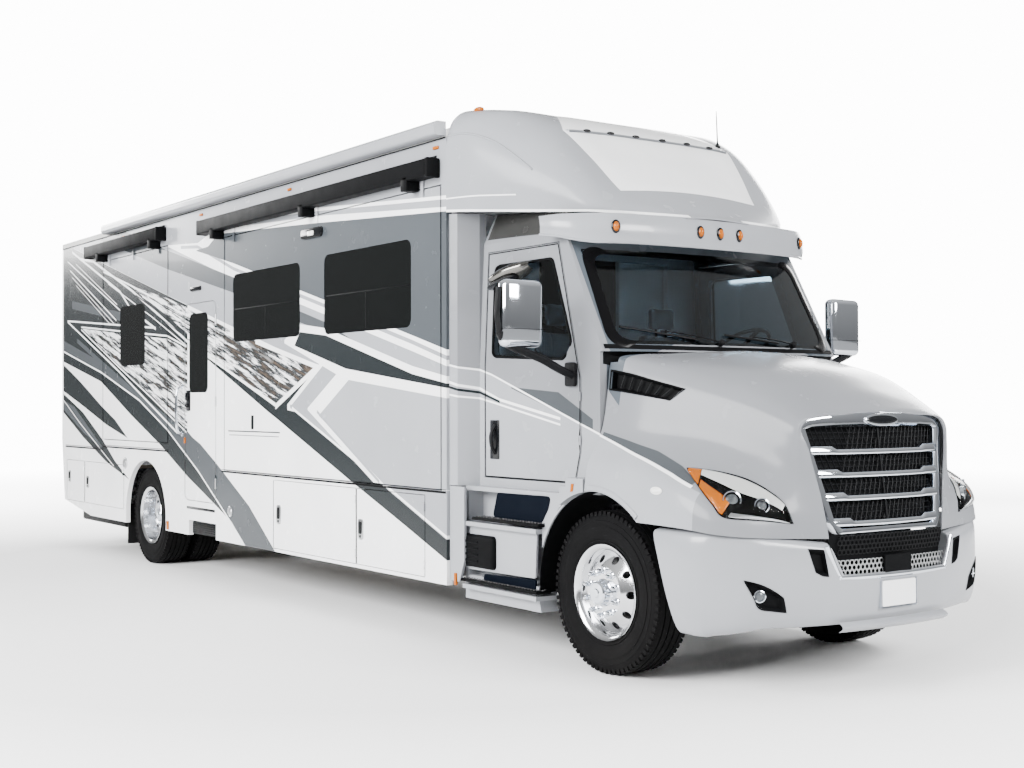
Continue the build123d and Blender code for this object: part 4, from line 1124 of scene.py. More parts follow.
def thickened(bm: BMesh, wall: float) -> None:
    """Gives an open skin its wall, inwards.

    Args:
        bm: The skin, whose faces look outwards.
        wall: The wall's thickness.
    """
    bmesh.ops.remove_doubles(bm, verts=bm.verts, dist=SAME)
    bm.normal_update()
    rims = [edge for edge in bm.edges if edge.is_boundary]
    made = bmesh.ops.duplicate(bm, geom=[*bm.verts, *bm.edges, *bm.faces])
    inner = [item for item in made["geom"] if isinstance(item, bmesh.types.BMVert)]
    for vert, shift in [(vert, vert.normal * -wall) for vert in inner]:
        vert.co += shift
    bmesh.ops.reverse_faces(bm, faces=[item for item in made["geom"] if isinstance(item, bmesh.types.BMFace)])
    twins = [made["edge_map"][edge] for edge in rims]
    bmesh.ops.bridge_loops(bm, edges=rims + twins)


def block(bm: BMesh, low: Point3, high: Point3, bevel: float = 0.0, segments: int = 2) -> None:
    """Adds a block between two opposite corners, its edges rounded.

    Args:
        bm: Where it goes.
        low: One corner.
        high: The corner across from it.
        bevel: The radius of its edges.
        segments: Faces across a rounded edge.
    """
    a, b = (Vector([*map(pick, low, high)]) for pick in (min, max))
    size = b - a
    turn = Matrix.Translation((a + b) / 2) @ Matrix.Diagonal((*size, 1.0))
    made = bmesh.ops.create_cube(bm, size=1.0, matrix=turn)
    if bevel:
        edges = list({edge for vert in made["verts"] for edge in vert.link_edges})
        bmesh.ops.bevel(bm, geom=edges, offset=min(bevel, min(size) * 0.45), segments=segments, profile=0.5,
                        affect="EDGES", material=-1)


def rounded_outline(points: Sequence[Point2], radius: float, steps: int = 5) -> list[Point2]:
    """Returns a closed outline with each corner rounded.

    Args:
        points: The corners, in order.
        radius: The corners' radius.
        steps: Points on each corner.

    Returns:
        The rounded outline's points.
    """
    out: list[Point2] = []
    for number, here in enumerate(points):
        corner = Vector(here)
        before = Vector(points[number - 1]) - corner
        after = Vector(points[(number + 1) % len(points)]) - corner
        angle = before.angle(after)
        reach = min(radius / math.tan(angle / 2), before.length * 0.49, after.length * 0.49)
        start, stop = corner + before.normalized() * reach, corner + after.normalized() * reach
        for step in range(steps + 1):
            t = step / steps
            spot = start * (1 - t) ** 2 + corner * 2 * t * (1 - t) + stop * t * t
            out.append((spot.x, spot.y))
    return out


def slab(bm: BMesh, outline: Sequence[Point2], lift: Lift,
         low: float, high: float, bevel: float = 0.0) -> None:
    """Adds a plate with a given outline.

    Args:
        bm: Where it goes.
        outline: The outline's points.
        lift: Gives the place of an outline point at a depth.
        low: The depth of its back.
        high: The depth of its face.
        bevel: The rounding of its face's edge.
    """
    back = bm.faces.new([bm.verts.new(lift(point, low)) for point in outline])
    made = bmesh.ops.extrude_face_region(bm, geom=[back])
    verts = [item for item in made["geom"] if isinstance(item, bmesh.types.BMVert)]
    shift = lift(outline[0], high) - lift(outline[0], low)
    bmesh.ops.translate(bm, verts=verts, vec=shift)
    if bevel:
        faces = [item for item in made["geom"] if isinstance(item, bmesh.types.BMFace)]
        edges = list({edge for face in faces for edge in face.edges})
        bmesh.ops.bevel(bm, geom=edges, offset=bevel, segments=2, profile=0.5, affect="EDGES", material=-1)


def facing(axis: int, face: float = 0.0, way: int = 1) -> Lift:
    """Returns what places outlines on a flat face that is square to an axis.

    Args:
        axis: The axis.
        face: Where the face lies along it.
        way: 1 if depths count up the axis and -1 if they count down it.

    Returns:
        A function that gives the place of an outline point at a depth.
    """
    def lift(point: Point2, depth: float) -> Vector:
        """Returns the place of an outline point at a depth.

        Args:
            point: The outline point.
            depth: How deep it lies.

        Returns:
            The place.
        """
        spot = [*point]
        spot.insert(axis, face + way * depth)
        return Vector(spot)

    return lift


def side_plate(bm: BMesh, outline: Sequence[Point2], low: float, high: float, bevel: float = 0.0) -> None:
    """Adds a plate on the coach's side: its outline is in X and Z, its depths along Y."""
    slab(bm, outline, facing(1), low, high, bevel)


def front_plate(bm: BMesh, outline: Sequence[Point2], low: float, high: float, bevel: float = 0.0) -> None:
    """Adds a plate on the front: its outline is in Y and Z, its depths along X."""
    slab(bm, outline, facing(0), low, high, bevel)


def bead(bm: BMesh, spot: Sequence[float], size: Point3, steps: int, turn: Matrix | None = None) -> None:
    """Adds a flattened ball.

    Args:
        bm: Where it goes.
        spot: Its middle.
        size: Half its size along X, Y and Z.
        steps: Faces round it.
        turn: How it is turned, if it is.
    """
    made = Matrix.Translation(spot) if turn is None else Matrix.Translation(spot) @ turn
    bmesh.ops.create_uvsphere(bm, u_segments=steps, v_segments=steps // 2, radius=1.0,
                              matrix=made @ Matrix.Diagonal((*size, 1.0)))


def oblong(x0: float, x1: float, z0: float, z1: float, radius: float, steps: int = 5) -> list[Point2]:
    """Returns the outline of a rectangle with rounded corners."""
    return rounded_outline([(x0, z0), (x1, z0), (x1, z1), (x0, z1)], radius, steps)


def frame_plate(bm: BMesh, outline: Sequence[Point2], width: float, lift: Lift,
                low: float, high: float) -> None:
    """Adds a closed frame that runs round an outline.

    Args:
        bm: Where it goes.
        outline: The outline's points, its outer edge.
        width: How wide the frame is.
        lift: Gives the place of an outline point at a depth.
        low: The depth of its back.
        high: The depth of its face.
    """
    face = bm.faces.new([bm.verts.new(lift(point, low)) for point in outline])
    ring = bmesh.ops.inset_region(bm, faces=[face], thickness=width, use_boundary=True,
                                  use_even_offset=True)["faces"]
    bmesh.ops.delete(bm, geom=[face], context="FACES")
    made = bmesh.ops.extrude_face_region(bm, geom=ring)["geom"]
    verts = [item for item in made if isinstance(item, bmesh.types.BMVert)]
    bmesh.ops.translate(bm, verts=verts, vec=lift(outline[0], high) - lift(outline[0], low))


def spun(bm: BMesh, profile: Sequence[Point2], centre: Point3, axis: Point3, steps: int = 48) -> None:
    """Spins a profile round an axis.

    Args:
        bm: Where it goes.
        profile: Points (distance along the axis, radius).
        centre: The axis's zero point.
        axis: Its direction.
        steps: Faces round.
    """
    along = Vector(axis).normalized()
    out = along.orthogonal().normalized()
    verts = [bm.verts.new(Vector(centre) + along * d + out * r) for d, r in profile]
    edges = [bm.edges.new((verts[k], verts[k + 1])) for k in range(len(verts) - 1)]
    bmesh.ops.spin(bm, geom=verts + edges, cent=centre, axis=along, angle=math.tau, steps=steps, use_merge=True)


def tube(bm: BMesh, points: Sequence[Vector], radius: float, steps: int = 10, samples: int = 24,
         squash: float = 1.0) -> None:
    """Sweeps a round or flattened bar along a smooth line.

    Args:
        bm: Where it goes.
        points: The line's points.
        radius: The bar's radius.
        steps: Faces round it.
        samples: Stretches along it.
        squash: Its height as a share of its width.
    """
    rings = []
    for number in range(samples + 1):
        at = number / samples
        here = between(points, at)
        ahead = (between(points, min(1.0, at + 0.02)) - between(points, max(0.0, at - 0.02))).normalized()
        right = ahead.cross(Vector((0, 0, 1)))
        right = right.normalized() if right.length > 1e-4 else Vector((0, 1, 0))
        up = right.cross(ahead)
        turn = Matrix((right, up * squash, ahead)).transposed().to_4x4()
        ring = bmesh.ops.create_circle(bm, cap_ends=number in (0, samples), segments=steps, radius=radius,
                                       matrix=Matrix.Translation(here) @ turn)
        rings.append(list({edge for vert in ring["verts"] for edge in vert.link_edges}))
    for one, two in zip(rings, rings[1:]):
        bmesh.ops.bridge_loops(bm, edges=one + two)


def baked(piece: Piece, *modifiers: tuple[str, dict]) -> Piece:
    """Applies modifiers to a piece at once, so that its mesh holds their work.

    Args:
        piece: The piece.
        modifiers: For each its type and its settings.

    Returns:
        The piece.
    """
    for kind, settings in modifiers:
        made = piece.modifiers.new(kind.lower(), kind)
        for name, value in settings.items():
            setattr(made, name, value)
    bpy.context.view_layer.update()
    graph = bpy.context.evaluated_depsgraph_get()
    mesh = bpy.data.meshes.new_from_object(piece.evaluated_get(graph))
    piece.modifiers.clear()
    piece.data = mesh
    return piece


def carve(piece: Piece, cutter_bm: BMesh) -> None:
    """Cuts a shape out of a piece.

    Args:
        piece: The piece.
        cutter_bm: The shape, which is freed.
    """
    bmesh.ops.recalc_face_normals(cutter_bm, faces=cutter_bm.faces)
    mesh = bpy.data.meshes.new("cutter")
    cutter_bm.to_mesh(mesh)
    cutter_bm.free()
    cutter = bpy.data.objects.new("cutter", mesh)
    bpy.context.scene.collection.objects.link(cutter)
    baked(piece, ("BOOLEAN", {"object": cutter, "operation": "DIFFERENCE", "solver": "EXACT"}))
    bpy.data.objects.remove(cutter)


def laid(tree: BVHTree, start: Vector, heading: Vector, lift: float) -> Vector:
    """Returns where a ray meets a surface, lifted off it against the ray.

    Args:
        tree: The surface.
        start: Where the ray starts.
        heading: Its direction.
        lift: How far off the surface.

    Returns:
        The place. A ray that misses takes the surface's nearest point to the end of heading.
    """
    spot, normal, _, _ = tree.ray_cast(start, heading.normalized())
    if spot is None:
        spot, normal, _, _ = tree.find_nearest(start + heading)
    if normal.dot(heading) > 0:
        normal = -normal
    return spot + normal * lift


# --------------------------------------------------------------------------------------
# Nose: hood, grille, headlamps and bumper
# --------------------------------------------------------------------------------------

SIDES = (("left", 1), ("right", -1))


@dataclass
class Hood:
    """The tilting hood with its side intakes, arch lips and fender buttons.

    Args:
        stations: Left half sections (Y, Z) at their X, from the cowl to the nose.
        nose: The loft's last line, round the grille.
        wall: Thickness of the shell.
        arch_at: The wheel arch's centre (X, Z).
        arch_r: Its radius.
        vent_low: The intake's lower edge (X, Z), from the rear.
        vent_high: Its upper edge.
        screen_foot: X of the cut under the windscreen's middle.
    """

    stations: tuple[tuple[float, Section], ...] = (
        (4.507, ((1.240, 1.000), (1.240, 1.180), (1.212, 1.340), (1.130, 1.480), (1.082, 1.600), (1.048, 1.795),
                 (1.022, 1.985), (0.965, 2.050), (0.62, 2.068), (0.0, 2.088))),
        (4.800, ((1.252, 1.000), (1.250, 1.190), (1.218, 1.330), (1.110, 1.450), (1.045, 1.570), (1.005, 1.765),
                 (0.972, 1.922), (0.885, 1.993), (0.59, 2.032), (0.0, 2.070))),
        (5.000, ((1.254, 1.000), (1.250, 1.180), (1.215, 1.300), (1.085, 1.405), (0.995, 1.530), (0.955, 1.735),
                 (0.915, 1.880), (0.815, 1.950), (0.565, 2.000), (0.0, 2.045))),
        (5.400, ((1.244, 0.990), (1.235, 1.130), (1.190, 1.225), (1.030, 1.320), (0.890, 1.450), (0.840, 1.640),
                 (0.795, 1.775), (0.695, 1.850), (0.475, 1.915), (0.0, 1.950))),
        (5.650, ((1.180, 0.965), (1.160, 1.068), (1.080, 1.155), (0.920, 1.230), (0.795, 1.350), (0.755, 1.540),
                 (0.720, 1.672), (0.625, 1.740), (0.400, 1.790), (0.0, 1.820))),
        (5.800, ((0.960, 0.945), (0.925, 1.025), (0.865, 1.090), (0.780, 1.160), (0.715, 1.290), (0.705, 1.470),
                 (0.690, 1.590), (0.605, 1.650), (0.380, 1.690), (0.0, 1.708))),
    )
    nose: tuple[Point3, ...] = (
        (5.903, 0.520, 0.925), (5.900, 0.528, 0.990), (5.894, 0.542, 1.065), (5.885, 0.560, 1.160),
        (5.868, 0.590, 1.290), (5.845, 0.630, 1.460), (5.815, 0.655, 1.570), (5.830, 0.560, 1.640),
        (5.845, 0.340, 1.655), (5.850, 0.0, 1.668),
    )
    wall: float = 0.008
    arch_at: Point2 = (4.6, 0.52)
    arch_r: float = 0.645
    vent_low: Section = ((4.522, 1.808), (4.70, 1.785), (4.87, 1.760), (5.003, 1.738))
    vent_high: Section = ((4.522, 1.943), (4.70, 1.912), (4.90, 1.862), (5.100, 1.811))
    screen_foot: float = 4.717

    def shell(self, shop: Shop) -> Piece:
        """Builds the shell and cuts its wheel arches.

        Args:
            shop: Where it is finished.

        Returns:
            The shell.
        """
        rows = [*(station(x, section) for x, section in self.stations), self.nose]
        bm = lofted(rows, 108, 60)
        turned_up(bm, lambda spot: Vector((0.3, spot.y, spot.z - 1.0)))
        thickened(bm, self.wall)
        shell = shop.piece("hood_shell", bm, "cab", "hood", replaces=("hood",), sharp=50.0)
        cutter = bmesh.new()
        x, z = self.arch_at
        spun(cutter, ((-1.5, 0.0), (-1.5, self.arch_r), (1.5, self.arch_r), (1.5, 0.0)), (x, 0.0, z), (0, 1, 0), 96)
        carve(shell, cutter)
        cutter = bmesh.new()
        arc = [(self.screen_foot - 0.18 * (y / 1.1) ** 2, y) for y in (1.12 * (k / 12 - 1) for k in range(25))]
        slab(cutter, [*arc, (4.2, 1.12), (4.2, -1.12)], facing(2), 1.990, 2.300)
        carve(shell, cutter)
        return shell

    def lips(self, shop: Shop, tree: BVHTree) -> None:
        """Builds the rolled lip and the liner of each wheel arch.

        Args:
            shop: Where they are finished.
            tree: The shell.
        """
        x, z = self.arch_at
        low, high = math.radians(49.5), math.radians(130.5)
        for side, way in SIDES:

            def place(u: float, v: float, way: int = way) -> Vector:
                """Returns a place on the lip, round it and across it.

                Args:
                    u: The share round it, from 0 to 1.
                    v: The share across it, from 0 to 1.
                    way: 1 on the left and -1 on the right.

                Returns:
                    The place.
                """
                angle = low + (high - low) * u
                reach = self.arch_r + 0.004 + 0.035 * v
                start = Vector((x + reach * math.cos(angle), way * 2.0, z + reach * math.sin(angle)))
                return laid(tree, start, Vector((0, -way, 0)), 0.001 + 0.009 * max(0.0, math.sin(math.pi * v)) ** 0.6)

            shop.skin(f"{side}_arch_lip", place, (40, 6), (0, way, 0), 0.006, "cab", "hood", sharp=60.0)
            liner = bmesh.new()
            spun(liner, ((0.76, self.arch_r + 0.012), (1.20, self.arch_r + 0.012)), (x, 0.0, z), (0, way, 0), 72)
            bmesh.ops.bisect_plane(liner, geom=[*liner.verts, *liner.edges, *liner.faces], plane_co=(x, 0, 1.01),
                                   plane_no=(0, 0, 1), clear_inner=True)
            bmesh.ops.solidify(liner, geom=liner.faces, thickness=0.004)
            shop.piece(f"{side}_arch_liner", liner, "black", "hood")

    def vents(self, shop: Shop, shell: Piece, tree: BVHTree) -> None:
        """Cuts the long intakes at the rear of the hood's sides and sets black trays in them.

        Args:
            shop: Where they are finished.
            shell: The hood's shell.
            tree: A search tree of the uncut shell.
        """
        lower, upper = ([Vector((x, 0, z)) for x, z in row] for row in (self.vent_low, self.vent_high))

        def spot(u: float, v: float) -> Vector:
            """Returns a place in the intake's outline, along it and up it."""
            return between(lower, u).lerp(between(upper, u), v)

        for side, way in SIDES:
            ring = [spot(0.02 + 0.96 * k / 12, 0.06) for k in range(13)]
            ring += [spot(0.02 + 0.96 * k / 12, 0.94) for k in range(12, -1, -1)]
            cutter = bmesh.new()
            side_plate(cutter, [(p.x, p.z) for p in ring], way * 0.80, way * 1.30)
            carve(shell, cutter)

            def tray(u: float, v: float, way: int = way) -> Vector:
                """Returns a place on the tray: a flange on the shell and a sunken floor.

                Args:
                    u: The first share, from 0 to 1.
                    v: The second share, from 0 to 1.
                    way: 1 on the left and -1 on the right.

                Returns:
                    The place.
                """
                p = spot(u, v)
                edge = min(0.55 * min(u, 1 - u), 0.12 * min(v, 1 - v))
                sink = 0.005 - 0.055 * clamp((edge - 0.008) / 0.012)
                return laid(tree, Vector((p.x, way * 2.0, p.z)), Vector((0, -way, 0)), sink)

            shop.skin(f"{side}_hood_vent", tray, (84, 28), (0, way, 0.3), 0.003, "pitch", "hood", sharp=40.0)
            fins = bmesh.new()
            for number in range(6):
                at = 0.14 + 0.13 * number
                foot, head = spot(at, 0.16), spot(min(0.97, at + 0.05), 0.86)
                path = [laid(tree, Vector((p.x, way * 2.0, p.z)), Vector((0, -way, 0)), -0.026) for p in (foot, head)]
                tube(fins, [path[0], (path[0] + path[1]) / 2, path[1]], 0.0055, 6, 4)
            shop.piece(f"{side}_vent_fins", fins, "black", "hood")

    def buttons(self, shop: Shop, tree: BVHTree) -> None:
        """Builds the small pale buttons on the fenders.

        Args:
            shop: Where the pieces are finished.
            tree: A search tree of the hood.
        """
        for side, way in SIDES:
            bm = bmesh.new()
            spot = laid(tree, Vector((5.199, way * 2.0, 1.199)), Vector((0, -way, 0)), 0.002)
            for size in ((0.052, 0.010, 0.024), (0.040, 0.020, 0.016)):
                bead(bm, spot, size, 28)
            shop.piece(f"{side}_fender_button", bm, "lit", "hood")

    def build(self, shop: Shop) -> BVHTree:
        """Builds the hood and returns a search tree of its uncut shell.

        Args:
            shop: Where the pieces are finished.

        Returns:
            The search tree.
        """
        shell = self.shell(shop)
        tree = shop.tree(shell)
        self.lips(shop, tree)
        self.vents(shop, shell, tree)
        self.buttons(shop, tree)
        return tree


@dataclass
class Grille:
    """The chrome grille: a bowed surround with an arched head, notched bars and a mesh behind.

    Args:
        foot: X and Z of its foot's middle.
        head: X and Z of its head's middle.
        half_foot: Half its width at the foot.
        half_head: Half its width at the shoulder.
        bow: How far its ends lie behind its middle.
        rim: Width of the surround at its sides.
        slots: Lowest and highest Z of each slot.
        section: The surround's section: share from its outer to its inner edge, and depth.
    """

    foot: Point2 = (5.949, 0.946)
    head: Point2 = (5.850, 1.672)
    half_foot: float = 0.500
    half_head: float = 0.665
    bow: float = 0.085
    rim: float = 0.074
    slots: Section = ((1.035, 1.140), (1.172, 1.277), (1.309, 1.414), (1.446, 1.551))
    section: Section = ((0.0, -0.045), (0.0, -0.008), (0.10, 0.007), (0.45, 0.009), (0.80, 0.004), (1.0, -0.018),
                        (1.0, -0.060))

    def lift(self, point: Point2, depth: float) -> Vector:
        """Returns the place of a point (Y, Z) of the grille, at a depth in front of its face.

        Args:
            point: The point (Y, Z).
            depth: How far in front of the face.

        Returns:
            The place.
        """
        share = (point[1] - self.foot[1]) / (self.head[1] - self.foot[1])
        x = self.foot[0] + (self.head[0] - self.foot[0]) * share - self.bow * (point[0] / self.half_head) ** 2
        return Vector((x + depth, point[0], point[1]))

    def half(self, z: float) -> float:
        """Returns half the grille's width at a height."""
        share = clamp((z - self.foot[1]) / (1.60 - self.foot[1]))
        return self.half_foot + (self.half_head - self.half_foot) * share

    def outline(self) -> list[Point2]:
        """Returns the outline of the surround, whose head is arched.

        Returns:
            The outline's points.
        """
        right = [(self.half_foot - 0.045, self.foot[1]), (self.half_foot + 0.010, 1.015), (self.half_head, 1.578),
                 (0.600, 1.630), (0.42, 1.654), (0.21, 1.668)]
        corners = [*right, (0.0, self.head[1]), *((-y, z) for y, z in reversed(right))]
        return rounded_outline(corners, 0.030, 5)

    def surround(self, shop: Shop) -> None:
        """Builds the chrome surround with its broad head.

        Args:
            shop: Where the pieces are finished.
        """
        bm = bmesh.new()
        rings = []
        for share, depth in self.section:
            verts = []
            for y, z in self.outline():
                inner_z = 1.566 + (z - 1.578) * 0.15 if z > 1.578 else max(z, self.foot[1] + 0.040)
                inner_y = y * (1 - self.rim / self.half_head)
                verts.append(bm.verts.new(self.lift((y + (inner_y - y) * share, z + (inner_z - z) * share), depth)))
            rings.append([bm.edges.new((verts[k - 1], verts[k])) for k in range(len(verts))])
        for one, two in zip(rings, rings[1:]):
            bmesh.ops.bridge_loops(bm, edges=one + two)
        turned_up(bm, lambda spot: Vector((1, spot.y * 0.2, 0)))
        shop.piece("grille_surround", bm, "chrome", "hood", replaces=("grille",), flip_check=False)

    def bars(self, shop: Shop) -> None:
        """Builds the bars between the slots: slim in the middle and thick at their ends.

        Args:
            shop: Where the pieces are finished.
        """
        bm = bmesh.new()
        heights = [self.foot[1] + 0.060, *((low[1] + high[0]) / 2 for low, high in zip(self.slots, self.slots[1:]))]
        for z in heights:
            half = self.half(z) - 0.045

            def place(u: float, v: float, z: float = z, half: float = half) -> Vector:
                """Returns a place on the bar, along it and up its section.

                Args:
                    u: The share along it, from 0 to 1.
                    v: The share up it, from 0 to 1.
                    z: The bar's height.
                    half: Half its length.

                Returns:
                    The place.
                """
                y = (2 * u - 1) * half
                end = clamp((abs(2 * u - 1) - 0.66) / 0.07)
                profile = ((-0.019, -0.060), (-0.017, -0.008), (-0.004, 0.002 + 0.004 * end),
                           (0.010 + 0.018 * end, -0.002 + 0.004 * end), (0.016 + 0.020 * end, -0.012),
                           (0.017 + 0.020 * end, -0.060))
                lift, depth = between([Vector((a, b, 0)) for a, b in profile], v)[:2]
                return self.lift((y, z + lift), depth)

            part = sheet(place, 112, 15)
            turned_up(part, lambda spot: Vector((1, 0, 0)))
            mesh = bpy.data.meshes.new("bar")
            part.to_mesh(mesh)
            part.free()
            bm.from_mesh(mesh)
            bpy.data.meshes.remove(mesh)
        shop.piece("grille_bars", bm, "chrome", "hood", flip_check=False)

    def mesh(self, shop: Shop) -> None:
        """Builds the crossed wires behind the slots, the middle post and the dark screen behind them.

        Args:
            shop: Where the pieces are finished.
        """
        bm = bmesh.new()
        for number in range(-15, 16):
            y = number * 0.040
            for lean in (-1, 1):
                points = [self.lift((y + lean * (z - 1.3) * 0.35, z), -0.045) for z in (0.98, 1.2, 1.4, 1.60)]
                if all(abs(point.y) < self.half(point.z) - 0.05 for point in points):
                    tube(bm, points, 0.0035, 4, 3)
        for number in range(18):
            z = 1.0 + number * 0.034
            half = self.half(z) - 0.05
            tube(bm, [self.lift((y, z), -0.047) for y in (-half, -half / 2, 0.0, half / 2, half)], 0.003, 4, 8)
        tube(bm, [self.lift((0.0, z), -0.036) for z in (0.99, 1.2, 1.4, 1.57)], 0.008, 6, 6)
        shop.piece("grille_mesh", bm, "black", "hood")

        def screen(u: float, v: float) -> Vector:
            """Returns a place on the dark screen, across it and up it."""
            z = 0.97 + 0.66 * v
            return self.lift(((2 * u - 1) * (self.half(z) - 0.03), z), -0.075)

        back = sheet(screen, 20, 12)
        turned_up(back, lambda spot: Vector((1, 0, 0)))
        bmesh.ops.solidify(back, geom=back.faces, thickness=0.006)
        shop.piece("grille_screen", back, "pitch", "hood")

    def emblem(self, shop: Shop) -> None:
        """Builds the blank oval plate at the head of the grille.

        Args:
            shop: Where the pieces are finished.
        """
        for name, (wide, tall), depth, finish in (("emblem_rim", (0.150, 0.038), 0.016, "chrome"),
                                                  ("emblem_face", (0.136, 0.027), 0.020, "gloss_black")):
            bm = bmesh.new()
            ring = [(wide * math.cos(math.tau * k / 40), 1.620 + tall * math.sin(math.tau * k / 40)) for k in range(40)]
            slab(bm, ring, self.lift, -0.02, depth, 0.003)
            shop.piece(name, bm, finish, "hood")

    def build(self, shop: Shop) -> None:
        """Builds the whole grille.

        Args:
            shop: Where the pieces are finished.
        """
        self.surround(shop)
        self.bars(shop)
        self.mesh(shop)
        self.emblem(shop)


@dataclass
class Headlamps:
    """Swept headlamps: a dark bowl, projectors, a pale brow, a clear lens and an amber corner.

    Args:
        lower: The left lamp's lower edge, from its inner tip by its outer foot to its rear tip.
        upper: Its upper edge.
        facing: The direction (X, Y) it is laid on the hood from.
        patches: For each dressing its name, finish, stretch, rise and depth over the hood.
        projectors: The place and radius of each.
    """

    lower: tuple[Point3, ...] = ((5.850, 0.759, 1.019), (5.817, 0.878, 1.034), (5.758, 1.019, 1.048),
                                 (5.669, 1.147, 1.066), (5.595, 1.162, 1.134), (5.483, 1.150, 1.218),
                                 (5.293, 1.079, 1.325))
    upper: tuple[Point3, ...] = ((5.848, 0.760, 1.028), (5.807, 0.788, 1.136), (5.726, 0.841, 1.215),
                                 (5.618, 0.895, 1.275), (5.505, 0.962, 1.310), (5.395, 1.020, 1.328),
                                 (5.284, 1.070, 1.334))
    facing: Point2 = (0.754, 0.657)
    patches: tuple[tuple[str, str, Point2, Point2, float, float], ...] = (
        ("lamp_bowl", "pitch", (0.0, 1.0), (0.0, 1.0), 0.003, 0.0),
        ("lamp_strip", "lit", (0.16, 0.86), (0.64, 0.95), 0.006, 0.008),
        ("lamp_sill", "satin", (0.04, 0.47), (0.04, 0.15), 0.006, 0.006),
        ("amber_corner", "amber", (0.52, 0.85), (0.04, 0.40), 0.006, 0.010),
        ("amber_tip", "amber", (0.865, 0.985), (0.06, 0.94), 0.006, 0.006),
        ("lamp_lens", "lens", (0.0, 1.0), (0.0, 1.0), 0.004, 0.030),
    )
    projectors: tuple[tuple[Point3, float], ...] = (((5.660, 1.068, 1.160), 0.044), ((5.755, 0.922, 1.128), 0.036))

    def seat(self, tree: BVHTree, spot: Vector, way: int, lift: float) -> Vector:
        """Returns the place on the hood in front of a point of the left lamp.

        Args:
            tree: The hood.
            spot: The point.
            way: 1 on the left and -1 on the right.
            lift: How far off the hood.

        Returns:
            The place.
        """
        out = Vector((self.facing[0], way * self.facing[1], 0)) * 0.6
        return laid(tree, Vector((spot.x, way * spot.y, spot.z)) + out, -out, lift)

    def patch(self, tree: BVHTree, way: int, stretch: Point2, rise: Point2, lift: float,
              crown: float) -> BMesh:
        """Makes a patch of the lamp laid on the hood.

        Args:
            tree: The hood.
            way: 1 on the left and -1 on the right.
            stretch: Where it starts and stops, as shares from the inner tip.
            rise: Where it starts and stops, as shares from the lower edge.
            lift: How far off the hood.
            crown: How far its middle bulges further.

        Returns:
            The patch.
        """
        low, high = [*map(Vector, self.lower)], [*map(Vector, self.upper)]

        def place(u: float, v: float) -> Vector:
            """Returns a place on the patch, along it and up it.

            Args:
                u: The share along it, from 0 to 1.
                v: The share up it, from 0 to 1.

            Returns:
                The place.
            """
            at, up = stretch[0] + (stretch[1] - stretch[0]) * u, rise[0] + (rise[1] - rise[0]) * v
            spot = between(low, at).lerp(between(high, at), up)
            bulge = crown * max(0.0, math.sin(math.pi * v)) ** 0.5 * max(0.0, math.sin(math.pi * u)) ** 0.35
            return self.seat(tree, spot, way, lift + bulge)

        bm = sheet(place, 48, 14)
        turned_up(bm, lambda spot: Vector((1, way, 0.2)))
        return bm

    def build(self, shop: Shop, tree: BVHTree) -> None:
        """Builds both lamps.

        Args:
            shop: Where they are finished.
            tree: The hood.
        """
        for side, way in SIDES:
            for name, finish, stretch, rise, lift, crown in self.patches:
                bm = self.patch(tree, way, stretch, rise, lift, crown)
                thickened(bm, 0.003)
                shop.piece(f"{side}_{name}", bm, finish, "hood",
                           replaces=("headlights",) if name == "lamp_bowl" else ())
            rings, bulbs = bmesh.new(), bmesh.new()
            for place, radius in self.projectors:
                spot, ahead = self.seat(tree, Vector(place), way, 0.0), (0.8, way * 0.55, 0.1)
                spun(rings, ((-0.01, radius * 1.25), (0.014, radius * 1.25), (0.016, radius * 1.1), (0.004, radius),
                             (-0.01, radius * 0.95)), spot, ahead, 36)
                spun(bulbs, ((0.0, radius * 0.86), (0.010, radius * 0.80), (0.020, radius * 0.5), (0.024, 0.0),
                             (0.0, 0.0), (0.0, radius * 0.86)), spot, ahead, 32)
            shop.piece(f"{side}_projector_rings", rings, "chrome", "hood")
            shop.piece(f"{side}_projectors", bulbs, "bulb", "hood")


def hex_web(rows: Sequence[tuple[float, float]], pitch: float, bar: float, lift: Lift,
            depth: float) -> BMesh:
    """Makes a web of six-sided holes.

    Args:
        rows: For the lowest and the highest row its Z and half its width.
        pitch: Distance between the middles of neighbouring holes.
        bar: Width of the bars.
        lift: Gives the place of a point (Y, Z) at a depth.
        depth: Where its face lies.

    Returns:
        The web.
    """
    bm = bmesh.new()
    (z0, half0), (z1, half1) = rows
    step = pitch * math.sqrt(3) / 2
    for row in range(int((z1 - z0) / step) + 1):
        z = z0 + row * step
        half = half0 + (half1 - half0) * (z - z0) / (z1 - z0)
        count = int(half / pitch)
        for number in range(-count, count + 1):
            spot = ((number + 0.5 * (row % 2)) * pitch, z)
            turn = Matrix.Translation((spot[0], spot[1], 0.0)) @ Matrix.Rotation(math.pi / 6, 4, "Z")
            bmesh.ops.create_circle(bm, cap_ends=True, segments=6, radius=pitch / math.sqrt(3), matrix=turn)
    bmesh.ops.remove_doubles(bm, verts=bm.verts, dist=pitch * 0.05)
    holes = list(bm.faces)
    bmesh.ops.inset_individual(bm, faces=holes, thickness=bar / 2, use_even_offset=True)
    bmesh.ops.delete(bm, geom=holes, context="FACES")
    for vert in bm.verts:
        vert.co = lift((vert.co.x, vert.co.y), depth)
    turned_up(bm, lambda spot: Vector((1, 0, 0)))
    bmesh.ops.solidify(bm, geom=bm.faces, thickness=0.005)
    return bm


